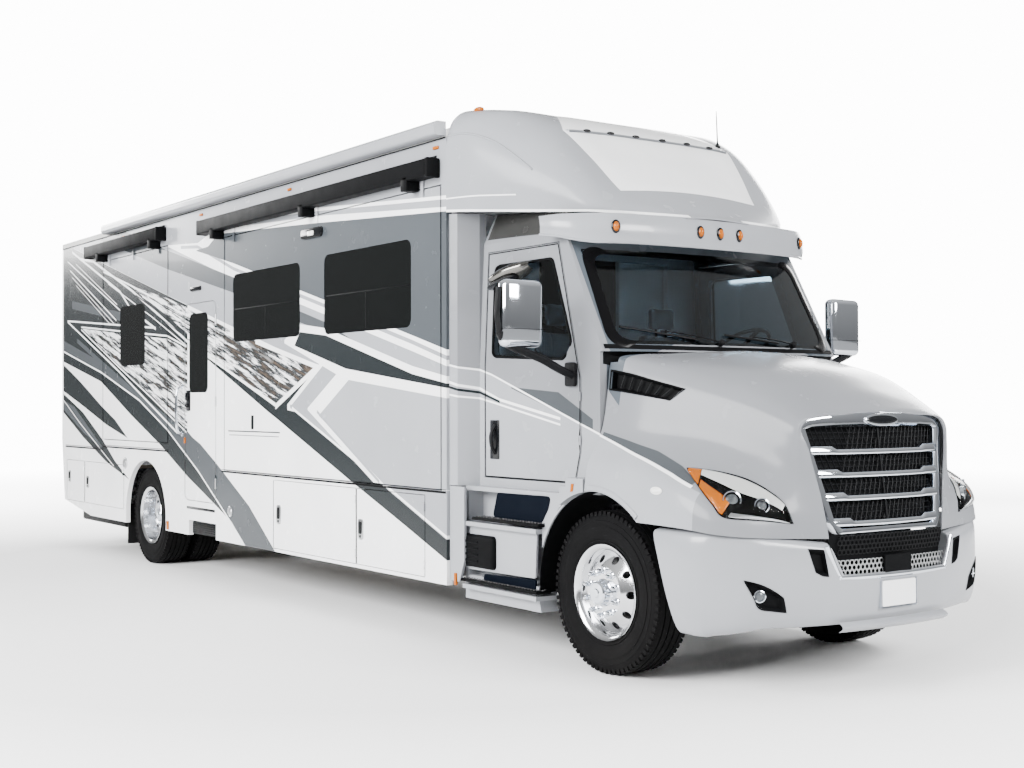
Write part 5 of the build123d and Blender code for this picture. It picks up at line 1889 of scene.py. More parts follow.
@dataclass
class Bumper:
    """The deep painted bumper with its fog lamps, slots, meshes and blank number plate.

    Args:
        path: The left half of its line (X, Y), from the wheel arch to the middle.
        profile: Its section: Z, and how far it stands behind its line.
        opening: The left half of the middle opening (Y, Z), from its head to its foot.
        fog_low: The fog lamp's recess (Y, Z), its lower edge from the inner end.
        fog_high: Its upper edge.
        slot_low: The upright slot's lower edge (Y, Z).
        slot_high: Its upper edge.
    """

    path: Section = ((5.170, 1.250), (5.400, 1.250), (5.600, 1.200), (5.790, 1.000), (5.930, 0.600), (5.972, 0.300),
                     (5.984, 0.0))
    profile: Section = ((0.362, 0.085), (0.378, 0.045), (0.440, 0.018), (0.600, 0.0), (0.840, 0.0), (0.935, 0.006),
                        (0.972, 0.022), (0.985, 0.060))
    opening: Section = ((0.548, 1.100), (0.545, 0.885), (0.455, 0.712))
    fog_low: Section = ((0.824, 0.513), (0.905, 0.524), (0.985, 0.542), (1.015, 0.600), (1.062, 0.698))
    fog_high: Section = ((0.848, 0.602), (0.900, 0.640), (0.955, 0.672), (1.005, 0.692), (1.064, 0.708))
    slot_low: Section = ((0.563, 0.709), (0.605, 0.716), (0.650, 0.738))
    slot_high: Section = ((0.593, 0.867), (0.645, 0.873), (0.696, 0.878))

    def line(self, u: float) -> tuple[Vector, Vector]:
        """Returns the line's place and its outward direction at a share from the left to the right end.

        Args:
            u: The share, from the left to the right end.

        Returns:
            The place and the direction.
        """
        points = whole_row([(*point, 0.0) for point in self.path])
        here = between(points, u)
        ahead = (between(points, min(1.0, u + 0.01)) - between(points, max(0.0, u - 0.01))).normalized()
        return here, Vector((-ahead.y, ahead.x, 0)) * -1.0

    def place(self, u: float, z: float, depth: float) -> Vector:
        """Returns the place on the bumper at a share along it, a height and a depth behind its line.

        Args:
            u: The share, from the left to the right end.
            z: The height, before the edges drop towards the front.
            depth: How far behind the line.

        Returns:
            The place, with the rear edge sloping and the upper and lower edges following the nose.
        """
        here, out = self.line(u)
        if out.x < 0 or out.y * here.y < 0 and abs(here.y) > 0.3:
            out = -out
        y = abs(here.y)
        slope = clamp((5.60 - here.x) / 0.40) * 0.33 * (0.96 - z)
        sag = (0.078 - 0.068 * clamp((y - 0.57) / 0.55)) * clamp((z - 0.84) / 0.12)
        rise = 0.050 * clamp((1.25 - y) / 0.30) * clamp((0.60 - z) / 0.20)
        return Vector((here.x + max(0.0, slope), here.y, z - sag + rise)) - out * depth

    def front(self, point: Point2, depth: float) -> Vector:
        """Returns the place of a point (Y, Z) on the bumper's middle face, at a depth in front of it."""
        return Vector((5.984 - 0.15 * point[0] ** 2 + depth, point[0], point[1]))

    def shell(self, shop: Shop) -> Piece:
        """Builds the painted shell and cuts its opening.

        Args:
            shop: Where the pieces are finished.

        Returns:
            The piece.
        """
        rows = [Vector((z, depth, 0)) for z, depth in self.profile]

        def place(u: float, v: float) -> Vector:
            """Returns a place on the shell, along it and up its section."""
            z, depth, _ = between(rows, v)
            return self.place(u, z, depth)

        bm = sheet(place, 112, 32)
        turned_up(bm, lambda spot: Vector((1, spot.y, 0)))
        thickened(bm, 0.008)
        shell = shop.piece("bumper_shell", bm, "silver", "coach", replaces=("front_bumper",), sharp=50.0)
        cutter = bmesh.new()
        outline = [*self.opening, *((-y, z) for y, z in reversed(self.opening))]
        front_plate(cutter, outline, 5.70, 6.10)
        carve(shell, cutter)
        return shell

    def middle(self, shop: Shop) -> None:
        """Builds the middle opening: its chrome frame, two webs, the dark screen and the radar cover.

        Args:
            shop: Where the pieces are finished.
        """
        corners = [(0.570, 0.888), (0.530, 0.800), (0.478, 0.706), (0.440, 0.698), (0.0, 0.694)]
        points = [Vector((y, z, 0)) for y, z in (*corners, *((-y, z) for y, z in reversed(corners[:-1])))]

        def frame(u: float, v: float) -> Vector:
            """Returns a place on the frame, along it and across it.

            Args:
                u: The share along it, from 0 to 1.
                v: The share across it, from 0 to 1.

            Returns:
                The place.
            """
            here = between(points, u)
            ahead = (between(points, min(1.0, u + 0.01)) - between(points, max(0.0, u - 0.01))).normalized()
            spot = here + Vector((-ahead.y, ahead.x, 0)) * (v - 0.5) * 0.034
            return self.front((spot.x, spot.y), 0.001 + 0.009 * math.sin(math.pi * v))

        shop.skin("lower_frame", frame, (96, 8), (1, 0, 0), 0.006, "chrome", "coach")
        web = hex_web(((0.722, 0.455), (0.795, 0.500)), 0.034, 0.008, self.front, -0.012)
        shop.piece("lower_web", web, "satin", "coach")
        web = hex_web(((0.840, 0.470), (0.930, 0.480)), 0.032, 0.009, self.front, -0.030)
        shop.piece("upper_web", web, "black", "coach")

        def screen(u: float, v: float) -> Vector:
            """Returns a place on the dark screen, across it and up it."""
            return self.front(((2 * u - 1) * (0.45 + 0.08 * v), 0.700 + 0.24 * v), -0.048)

        shop.skin("lower_screen", screen, (24, 6), (1, 0, 0), 0.005, "pitch", "coach")
        cover = bmesh.new()
        slab(cover, oblong(-0.118, 0.118, 0.706, 0.812, 0.006, 3), self.front, -0.020, 0.004)
        shop.piece("radar_cover", cover, "pitch", "coach")

    def laid_patch(self, tree: BVHTree, way: int, edges: tuple[Section, Section],
                   dip: Callable[[float, float], float]) -> BMesh:
        """Makes a patch laid on the bumper between two edges.

        Args:
            tree: The bumper.
            way: 1 on the left and -1 on the right.
            edges: Its lower and its upper edge (Y, Z).
            dip: Gives its depth over the bumper at its shares.

        Returns:
            The patch.
        """
        low, high = ([Vector((y, z, 0)) for y, z in edge] for edge in edges)

        def place(u: float, v: float) -> Vector:
            """Returns a place on the patch, along it and up it."""
            spot = between(low, u).lerp(between(high, u), v)
            return laid(tree, Vector((6.5, way * spot.x, spot.y)), Vector((-1, 0, 0)), dip(u, v))

        bm = sheet(place, 36, 20)
        turned_up(bm, lambda spot: Vector((1, way, 0)))
        thickened(bm, 0.003)
        return bm

    def fittings(self, shop: Shop, shell: Piece, tree: BVHTree) -> None:
        """Builds the fog lamps, the slots, the blank plate and the valance.

        Args:
            shop: Where they are finished.
            shell: The bumper's shell.
            tree: A search tree of it.
        """
        def sunk(u: float, v: float) -> float:
            """Returns the depth of a recess: its rim stands proud and its floor is sunk."""
            return 0.004 - 0.030 * clamp((min(u, 1 - u, v * 0.6, (1 - v) * 0.6) - 0.04) / 0.08)

        for side, way in SIDES:
            for name, edges in (("fog_bowl", (self.fog_low, self.fog_high)),
                                ("bumper_slot", (self.slot_low, self.slot_high))):
                low, high = ([Vector((y, z, 0)) for y, z in edge] for edge in edges)
                rungs = [(between(low, 0.04 + 0.92 * k / 10), between(high, 0.04 + 0.92 * k / 10)) for k in range(11)]
                ring = [foot.lerp(head, 0.07) for foot, head in rungs]
                ring += [foot.lerp(head, 0.93) for foot, head in reversed(rungs)]
                cutter = bmesh.new()
                front_plate(cutter, [(way * p.x, p.y) for p in ring], 5.50, 6.10)
                carve(shell, cutter)
                shop.piece(f"{side}_{name}", self.laid_patch(tree, way, edges, sunk), "pitch", "coach")
            spot = laid(tree, Vector((6.5, way * 0.982, 0.612)), Vector((-1, 0, 0)), -0.012)
            for name, finish, profile in (
                ("fog_ring", "chrome", ((-0.02, 0.036), (0.006, 0.036), (0.008, 0.031), (0.002, 0.028),
                                        (-0.015, 0.028))),
                ("fog_glass", "bulb", ((-0.012, 0.028), (0.0, 0.027), (0.006, 0.018), (0.008, 0.0), (-0.012, 0.0),
                                       (-0.012, 0.028))),
            ):
                bm = bmesh.new()
                spun(bm, profile, spot, (0.85, way * 0.5, 0), 36)
                shop.piece(f"{side}_{name}", bm, finish, "coach")
        plate, edge = bmesh.new(), bmesh.new()
        front_plate(plate, oblong(-0.152, 0.152, 0.506, 0.658, 0.012), 5.970, 5.991)
        shop.piece("number_plate", plate, "white", "coach")
        frame_plate(edge, oblong(-0.162, 0.162, 0.496, 0.668, 0.016), 0.013, facing(0), 5.968, 5.994)
        shop.piece("plate_frame", edge, "chrome", "coach")

        def valance(u: float, v: float) -> Vector:
            """Returns a place on the valance under the bumper, along it and up it."""
            return self.place(0.5 + (u - 0.5) * 0.27, 0.325 + 0.060 * v, 0.016 - 0.036 * math.sin(math.pi * v))

        shop.skin("lower_valance", valance, (64, 8), (1, 0, 0), 0.003, "silver", "coach")

    def build(self, shop: Shop) -> None:
        """Builds the whole bumper.

        Args:
            shop: Where the pieces are finished.
        """
        shell = self.shell(shop)
        self.middle(shop)
        self.fittings(shop, shell, shop.tree(shell))


# --------------------------------------------------------------------------------------
# Cap, visor and windscreen
# --------------------------------------------------------------------------------------


@dataclass
class Cap:
    """The moulded cap over the cab, with its white front panel, brow and lamps.

    Args:
        rows: Left half sections from the body to the nose.
        wall: Its thickness.
        panel_low: The left half of the front panel's lower edge.
        panel_high: The left half of its upper edge.
    """

    rows: tuple[tuple[Point3, ...], ...] = (
        ((2.960, 1.295, 3.120), (2.960, 1.297, 3.400), (2.960, 1.290, 3.640), (2.960, 1.215, 3.820),
         (2.960, 1.020, 3.898), (2.960, 0.5, 3.900), (2.960, 0.0, 3.900)),
        ((3.180, 1.262, 3.101), (3.180, 1.280, 3.380), (3.180, 1.270, 3.610), (3.180, 1.195, 3.790),
         (3.180, 0.990, 3.868), (3.180, 0.5, 3.872), (3.180, 0.0, 3.872)),
        ((3.400, 1.180, 3.083), (3.400, 1.225, 3.330), (3.400, 1.210, 3.545), (3.400, 1.130, 3.710),
         (3.400, 0.950, 3.815), (3.400, 0.5, 3.825), (3.400, 0.0, 3.825)),
        ((3.700, 1.085, 3.055), (3.700, 1.130, 3.250), (3.700, 1.110, 3.420), (3.700, 1.020, 3.570),
         (3.690, 0.840, 3.668), (3.680, 0.45, 3.690), (3.675, 0.0, 3.692)),
        ((3.970, 0.990, 3.032), (3.970, 1.015, 3.160), (3.970, 0.985, 3.280), (3.955, 0.890, 3.385),
         (3.930, 0.730, 3.440), (3.915, 0.40, 3.465), (3.910, 0.0, 3.470)),
        ((4.190, 0.880, 3.014), (4.190, 0.880, 3.060), (4.180, 0.845, 3.105), (4.165, 0.770, 3.155),
         (4.150, 0.630, 3.192), (4.150, 0.33, 3.225), (4.150, 0.0, 3.235)),
        ((4.330, 0.560, 2.990), (4.345, 0.555, 2.998), (4.350, 0.530, 3.012), (4.350, 0.470, 3.030),
         (4.350, 0.380, 3.045), (4.355, 0.20, 3.056), (4.360, 0.0, 3.060)),
        ((4.420, 0.300, 2.985), (4.440, 0.290, 2.988), (4.442, 0.275, 2.992), (4.443, 0.240, 2.996),
         (4.444, 0.190, 3.000), (4.445, 0.10, 3.003), (4.446, 0.0, 3.005)),
    )
    wall: float = 0.010
    panel_low: tuple[Point3, ...] = ((4.165, 0.640, 3.190), (4.170, 0.33, 3.205), (4.170, 0.0, 3.212))
    panel_high: tuple[Point3, ...] = ((3.715, 0.800, 3.655), (3.70, 0.42, 3.668), (3.695, 0.0, 3.672))

    def shell(self, shop: Shop) -> BVHTree:
        """Builds the shell and its flat underside and returns a search tree of it.

        Args:
            shop: Where the pieces are finished.

        Returns:
            The search tree.
        """
        bm = lofted(self.rows, 72, 64)
        turned_up(bm, lambda spot: Vector((0.4, spot.y, spot.z - 3.1)))
        thickened(bm, self.wall)
        shell = shop.piece("cap_shell", bm, "cap", "coach", replaces=("front_cap",), sharp=45.0)
        left = [Vector(row[0]) + Vector((0, 0, 0.004)) for row in self.rows]

        def place(u: float, v: float) -> Vector:
            """Returns a place on the underside, across it and along it."""
            edge = between(left, v)
            return Vector((edge.x, edge.y * (1 - 2 * u) * 0.997, edge.z))

        shop.skin("cap_soffit", place, (8, 40), (0, 0, -1), self.wall, "soffit", "coach")
        return shop.tree(shell)

    def front(self, shop: Shop, tree: BVHTree) -> None:
        """Builds the white front panel, its chrome strip of small lamps and the brow.

        Args:
            shop: Where the pieces are finished.
            tree: A search tree of the cap.
        """
        heading = Vector((-0.7, 0, -0.7))
        low, high = whole_row(self.panel_low), whole_row(self.panel_high)

        def place(u: float, v: float) -> Vector:
            """Returns a place on the front panel, across it and up it.

            Args:
                u: The share across it, from 0 to 1.
                v: The share up it, from 0 to 1.

            Returns:
                The place.
            """
            spot = between(low, u).lerp(between(high, u), v)
            edge = min(1.0, 12 * min(u, 1 - u, v, 1 - v))
            return laid(tree, spot - heading, heading, 0.001 + 0.006 * edge)

        shop.skin("cap_panel", place, (60, 30), (1, 0, 1), 0.004, "white", "coach")

        def crown(u: float, v: float) -> Vector:
            """Returns a place on the white crown behind the panel.

            Args:
                u: The first share, from 0 to 1.
                v: The second share, from 0 to 1.

            Returns:
                The place.
            """
            front, half = between(high, 1 - u), 0.60
            rear = Vector((3.36, (2 * u - 1) * half, 3.9))
            spot = front.lerp(rear, v)
            edge = min(1.0, 12 * min(u, 1 - u, 1 - v))
            return laid(tree, Vector((spot.x, spot.y, 5.0)), Vector((0, 0, -1)), 0.001 + 0.006 * edge)

        shop.skin("cap_crown", crown, (60, 24), (0.2, 0, 1), 0.004, "white", "coach")

        def strip(u: float, v: float) -> Vector:
            """Returns a place on the chrome strip, across the cap and down the strip.

            Args:
                u: The share across the cap, from 0 to 1.
                v: The share down the strip, from 0 to 1.

            Returns:
                The place.
            """
            at = 0.02 + 0.96 * u
            top, base = between(high, at), between(low, at)
            spot = top.lerp(base, -0.005 + 0.055 * v)
            return laid(tree, spot - heading, heading, 0.003 + 0.012 * math.sin(math.pi * v))

        shop.skin("brow_strip", strip, (60, 6), (1, 0, 1), 0.005, "chrome", "coach")
        lamps = bmesh.new()
        for at in (0.12, 0.27, 0.42, 0.58, 0.73, 0.88):
            bead(lamps, strip(at, 0.5), (0.020, 0.034, 0.012), 16)
        shop.piece("brow_lamps", lamps, "gloss_black", "coach")

    def fittings(self, shop: Shop, tree: BVHTree) -> None:
        """Builds the roof lamps, the whip aerial and the side ridges.

        Args:
            shop: Where the pieces are finished.
            tree: A search tree of the cap.
        """
        for side, way in SIDES:
            spot = laid(tree, Vector((3.10, way * 1.10, 5.0)), Vector((0, 0, -1)), 0.004)
            lamp = bmesh.new()
            bead(lamp, spot, (0.055, 0.030, 0.022), 24)
            shop.piece(f"{side}_roof_marker", lamp, "amber", "coach")
            ridge = bmesh.new()
            points = [laid(tree, Vector((x, way * 3.0, z)), Vector((0, -way, 0)), 0.002)
                      for x, z in ((2.975, 3.68), (3.20, 3.66), (3.42, 3.58), (3.62, 3.45), (3.76, 3.34))]
            tube(ridge, points, 0.010, 8, 30, 0.7)
            shop.piece(f"{side}_cap_ridge", ridge, "silver", "coach")
        spot = laid(tree, Vector((3.66, 0.75, 5.0)), Vector((0, 0, -1)), 0.0)
        whip = bmesh.new()
        spun(whip, ((-0.01, 0.022), (0.012, 0.022), (0.022, 0.012), (0.05, 0.006), (0.22, 0.0045), (0.285, 0.003),
                    (0.29, 0.0)),
             spot, (-0.05, 0, 1), 16)
        shop.piece("whip_aerial", whip, "black", "coach")

    def build(self, shop: Shop) -> None:
        """Builds the whole cap.

        Args:
            shop: Where the pieces are finished.
        """
        tree = self.shell(shop)
        self.front(shop, tree)
        self.fittings(shop, tree)


@dataclass
class Visor:
    """The painted sun visor over the windscreen, with five amber lamps.

    Args:
        path: The left half of its line (X, Y), from its tail to the middle.
        low: Z of its lower edge in the middle.
        high: Z of its upper edge.
        lean: How far it leans forwards for each metre down.
    """

    path: Section = ((3.960, 1.180), (4.130, 1.130), (4.290, 1.000), (4.385, 0.820), (4.440, 0.450), (4.452, 0.0))
    low: float = 2.795
    high: float = 2.990
    lean: float = 0.25

    def line(self, u: float) -> Vector:
        """Returns the place on its line at a share from the left tail to the right one."""
        return between(whole_row([(*point, 0.0) for point in self.path]), u)

    def place(self, u: float, v: float, lift: float = 0.0) -> Vector:
        """Returns the place at shares along it and up it, lifted off its face.

        Args:
            u: The share along it, from 0 to 1.
            v: The share up it, from 0 to 1.
            lift: How far off its face.

        Returns:
            The place.
        """
        here = self.line(u)
        tail = clamp((abs(here.y) - 0.95) / 0.23)
        low = self.low + 0.07 * tail * tail
        z = low + (self.high - low) * v
        out = 0.020 * math.sin(math.pi * clamp(v)) + lift
        return Vector((here.x + (2.80 - z) * self.lean * 0.4 + out, here.y + out * here.y * 0.4, z))

    def build(self, shop: Shop) -> None:
        """Builds the visor and its lamps.

        Args:
            shop: Where the pieces are finished.
        """
        bm = sheet(self.place, 80, 12)
        turned_up(bm, lambda spot: Vector((1, spot.y, 0)))
        thickened(bm, 0.012)
        shop.piece("visor_blade", bm, "silver", "coach", replaces=("sun_visor",), sharp=50.0)
        edge = bmesh.new()
        tube(edge, [self.place(k / 24, 0.0, -0.004) for k in range(25)], 0.010, 8, 72)
        shop.piece("visor_edge", edge, "silver", "coach")
        lamps = bmesh.new()
        bezels = bmesh.new()
        for y in (-0.861, -0.185, 0.0, 0.185, 0.861):
            share = min((k / 400 for k in range(401)), key=lambda u: abs(self.line(u).y - y))
            spot = self.place(share, 0.52, 0.004)
            turn = Matrix.Rotation(y * 0.5, 4, "Z")
            bead(lamps, spot, (0.028, 0.022, 0.034), 20, turn)
            bead(bezels, spot, (0.012, 0.032, 0.046), 20, turn)
        shop.piece("visor_lamps", lamps, "amber", "coach")
        shop.piece("visor_bezels", bezels, "gloss_black", "coach")


@dataclass
class Windscreen:
    """What dresses the windscreen: its black border, the cowl's apron and the wipers.

    Args:
        low_z: Z of the glass's foot.
        half: Half its width.
        base: X of its foot's middle.
        bow: How far its sides lie behind its middle.
        rake: How far it leans back for each metre up.
    """

    low_z: float = 2.110
    half: float = 1.000
    base: float = 4.695
    bow: float = 0.180
    rake: float = 0.547

    def place(self, y: float, z: float, lift: float = 0.0) -> Vector:
        """Returns the place on the glass at Y and Z, lifted off its face."""
        x = self.base - self.bow * (y / self.half) ** 2 - self.rake * (z - self.low_z)
        return Vector((x + lift, y, z + lift * 0.4))

    def build(self, shop: Shop, tree: BVHTree) -> None:
        """Builds the border and the wipers.

        Args:
            shop: Where they are finished.
            tree: The glass.
        """
        def on_glass(y: float, z: float, lift: float) -> Vector:
            """Returns the place on the glass at Y and Z, lifted off its face."""
            out = Vector((1.0, 0, 0.5))
            return laid(tree, self.place(y, z) + out, -out, lift)

        outline = rounded_outline([(-1.040, 2.085), (1.040, 2.085), (1.005, 2.775), (-1.005, 2.775)], 0.12, 9)
        outline.append(outline[0])
        count = len(outline) - 1
        both = bmesh.new()
        for name in ("windshield", "cab_shell"):
            both.from_mesh(shop.nodes[name].data)
        front = BVHTree.FromBMesh(both)
        both.free()

        def seated(y: float, z: float, lift: float) -> Vector:
            """Returns the place on the glass or the cab round it at Y and Z, lifted off its face."""
            out = Vector((1.0, 0, 0.3))
            return laid(front, self.place(y, z) + out, -out, lift)

        def border(u: float, v: float) -> Vector:
            """Returns a place on the black border, round the glass and across the border.

            Args:
                u: The share round the glass, from 0 to 1.
                v: The share across the border, from 0 to 1.

            Returns:
                The place.
            """
            y, z = outline[min(count, round(u * count))]
            inner = Vector((y, z)).lerp(Vector((y * 0.930, 2.43 + (z - 2.43) * 0.86)), v)
            return seated(inner.x, inner.y, 0.003 + 0.005 * math.sin(math.pi * v))

        shop.skin("screen_border", border, (count, 5), (1, 0, 0.4), 0.003, "frit", "coach")

        def apron(u: float, v: float) -> Vector:
            """Returns a place on the cowl between the hood and the glass."""
            return seated((2 * u - 1) * 1.075, 1.995 + 0.110 * v, 0.003)

        shop.skin("cowl_apron", apron, (60, 4), (1, 0, 0), 0.003, "pitch", "coach")
        for name, pivot, tip in (("right_wiper", (-0.20, 2.125), (-0.93, 2.215)),
                                 ("left_wiper", (0.52, 2.125), (-0.13, 2.185))):
            arm = bmesh.new()
            path = [on_glass(pivot[0] + (tip[0] - pivot[0]) * t,
                             pivot[1] + (tip[1] - pivot[1]) * t + 0.012 * math.sin(math.pi * t), lift)
                    for t, lift in ((0.0, 0.030), (0.2, 0.036), (0.45, 0.034), (0.62, 0.026))]
            tube(arm, path, 0.010, 8, 20, 0.5)
            spun(arm, ((-0.02, 0.022), (0.012, 0.022), (0.020, 0.015), (0.020, 0.0), (-0.02, 0.0), (-0.02, 0.022)),
                 path[0], (0.9, 0, 0.45), 24)
            blade = [on_glass(pivot[0] + (tip[0] - pivot[0]) * t, pivot[1] + (tip[1] - pivot[1]) * t + 0.004, 0.012)
                     for t in (0.22, 0.48, 0.74, 1.0)]
            tube(arm, blade, 0.008, 6, 20)
            shop.piece(name, arm, "black", "coach")


# --------------------------------------------------------------------------------------
# Cab sides: mirrors, door furniture and steps
# --------------------------------------------------------------------------------------


@dataclass
class Mirror:
    """A chrome mirror head on a black arm, with the look-down mirror over the window.

    Args:
        low: The head's lowest corner on the left.
        high: Its highest corner.
        bevel: Rounding of the head.
    """

    low: Point3 = (4.152, 1.375, 2.085)
    high: Point3 = (4.268, 1.682, 2.522)
    bevel: float = 0.045

    def build(self, shop: Shop) -> None:
        """Builds both mirrors.

        Args:
            shop: Where the pieces are finished.
        """
        for side, way in SIDES:
            body = f"{side}_cab_door"
            (x0, y0, z0), (x1, y1, z1) = self.low, self.high
            head = bmesh.new()
            block(head, (x0, way * y0, z0), (x1, way * y1, z1), self.bevel, 5)
            shop.piece(f"{side}_mirror_head", head, "chrome", body, replaces=(f"{side}_mirror",))
            glass = bmesh.new()
            block(glass, (x0 - 0.004, way * (y0 + 0.03), z0 + 0.03),
                  (x0 + 0.006, way * (y1 - 0.03), z1 - 0.03), 0.004)
            shop.piece(f"{side}_mirror_glass", glass, "chrome", body)
            arm = bmesh.new()
            lower = [Vector(p) for p in ((4.235, way * 1.112, 1.905), (4.230, way * 1.22, 1.945),
                                         (4.220, way * 1.36, 2.010), (4.212, way * 1.52, 2.065),
                                         (4.205, way * 1.63, 2.110), (4.200, way * 1.685, 2.180))]
            tube(arm, lower, 0.034, 12, 36, 0.80)
            upper = [Vector(p) for p in ((4.200, way * 1.685, 2.16), (4.196, way * 1.700, 2.30),
                                         (4.200, way * 1.690, 2.47))]
            tube(arm, upper, 0.020, 10, 12)
            block(arm, (4.155, way * 1.104, 1.835), (4.265, way * 1.135, 1.995), 0.018, 3)
            shop.piece(f"{side}_mirror_arm", arm, "black", body)
            seam = bmesh.new()
            block(seam, (x0 + 0.012, way * (y0 - 0.001), 2.200), (x1 + 0.0012, way * (y1 + 0.001), 2.204))
            shop.piece(f"{side}_mirror_seam", seam, "gloss_black", body)
            if side == "right":
                self.look_down(shop, body, way)

    def look_down(self, shop: Shop, body: str, way: int) -> None:
        """Builds the small hooded mirror over the window that looks down at the kerb.

        Args:
            shop: Where it is finished.
            body: The door it rides on.
            way: 1 on the left and -1 on the right.
        """
        rows = [[(x, 1.080 + (reach + 0.02) * math.sin(math.pi * k / 12) ** 0.8,
                  2.625 + tall * math.cos(math.pi * k / 12) - drop)
                 for k in range(13)]
                for x, reach, tall, drop in ((3.340, 0.075, 0.022, 0.045), (3.400, 0.130, 0.045, 0.030),
                                             (3.500, 0.150, 0.060, 0.010), (3.600, 0.130, 0.058, -0.020),
                                             (3.700, 0.080, 0.045, -0.045), (3.745, 0.030, 0.025, -0.060))]

        def shell(u: float, v: float) -> Vector:
            """Returns a place on the hood, round it and along it."""
            x, y, z = between([between([Vector(p) for p in row], u) for row in rows], v)
            return Vector((x, way * y, z))

        shop.skin("look_down_hood", shell, (24, 24), (0, way, 0.4), 0.004, "smoked", body)
        glass = bmesh.new()
        bead(glass, (3.500, way * 1.165, 2.572), (0.165, 0.085, 0.022), 28, Matrix.Rotation(-0.25, 4, "Y"))
        shop.piece("look_down_glass", glass, "gloss_black", body)


@dataclass
class DoorFurniture:
    """Handles, window rubbers and frame lines of the cab doors.

    Args:
        window: The window's outline (X, Z).
        outline: The door's outline (X, Z).
    """

    window: Section = ((3.265, 2.060), (4.110, 2.020), (4.190, 2.130), (3.950, 2.710), (3.265, 2.710))
    outline: Section = ((3.180, 1.200), (4.230, 1.200), (4.285, 1.400), (4.285, 1.900), (4.005, 2.805), (3.180, 2.805))

    def strip(self, tree: BVHTree, outline: Sequence[Point2], way: int, width: float) -> BMesh:
        """Makes a raised line round an outline laid on the door.

        Args:
            tree: The door.
            outline: The outline (X, Z).
            way: 1 on the left and -1 on the right.
            width: Its width.

        Returns:
            The line.
        """
        bm = bmesh.new()
        ring = [*outline, outline[0]]
        points = [laid(tree, Vector((x, way * 2.0, z)), Vector((0, -way, 0)), 0.0) for x, z in ring]
        for a, b in zip(points, points[1:]):
            tube(bm, [a, (a + b) / 2, b], width, 6, 2)
        return bm

    def build(self, shop: Shop) -> None:
        """Builds the furniture of both doors.

        Args:
            shop: Where the pieces are finished.
        """
        runs = zip(self.outline, (*self.outline[1:], self.outline[0]))
        line = [(a[0] + (b[0] - a[0]) * k / 6, a[1] + (b[1] - a[1]) * k / 6) for a, b in runs for k in range(6)]
        for side, way in SIDES:
            body = f"{side}_cab_door"
            tree = shop.tree(shop.nodes[body])
            rubber = self.strip(tree, rounded_outline(self.window, 0.06, 6), way, 0.011)
            shop.piece(f"{side}_window_rubber", rubber, "pitch", body)
            shop.piece(f"{side}_door_seam", self.strip(tree, line, way, 0.0045), "pitch", body)
            cup = bmesh.new()
            spot = laid(tree, Vector((3.30, way * 2, 1.465)), Vector((0, -way, 0)), 0.0)
            y0, y1 = sorted((spot.y - way * 0.008, spot.y + way * 0.010))
            block(cup, (3.245, y0, 1.325), (3.355, y1, 1.605), 0.03, 3)
            shop.piece(f"{side}_handle_cup", cup, "gloss_black", body)
            pull = bmesh.new()
            points = [Vector((3.315, spot.y + way * d, z)) for d, z in ((0.008, 1.365), (0.040, 1.42), (0.045, 1.50),
                                                                        (0.010, 1.570))]
            tube(pull, points, 0.016, 10, 20, 0.8)
            spun(pull, ((0.0, 0.014), (0.016, 0.014), (0.018, 0.010), (0.018, 0.0), (0.0, 0.0), (0.0, 0.014)),
                 (3.275, spot.y, 1.40), (0, way, 0), 20)
            shop.piece(f"{side}_door_handle", pull, "black", body)


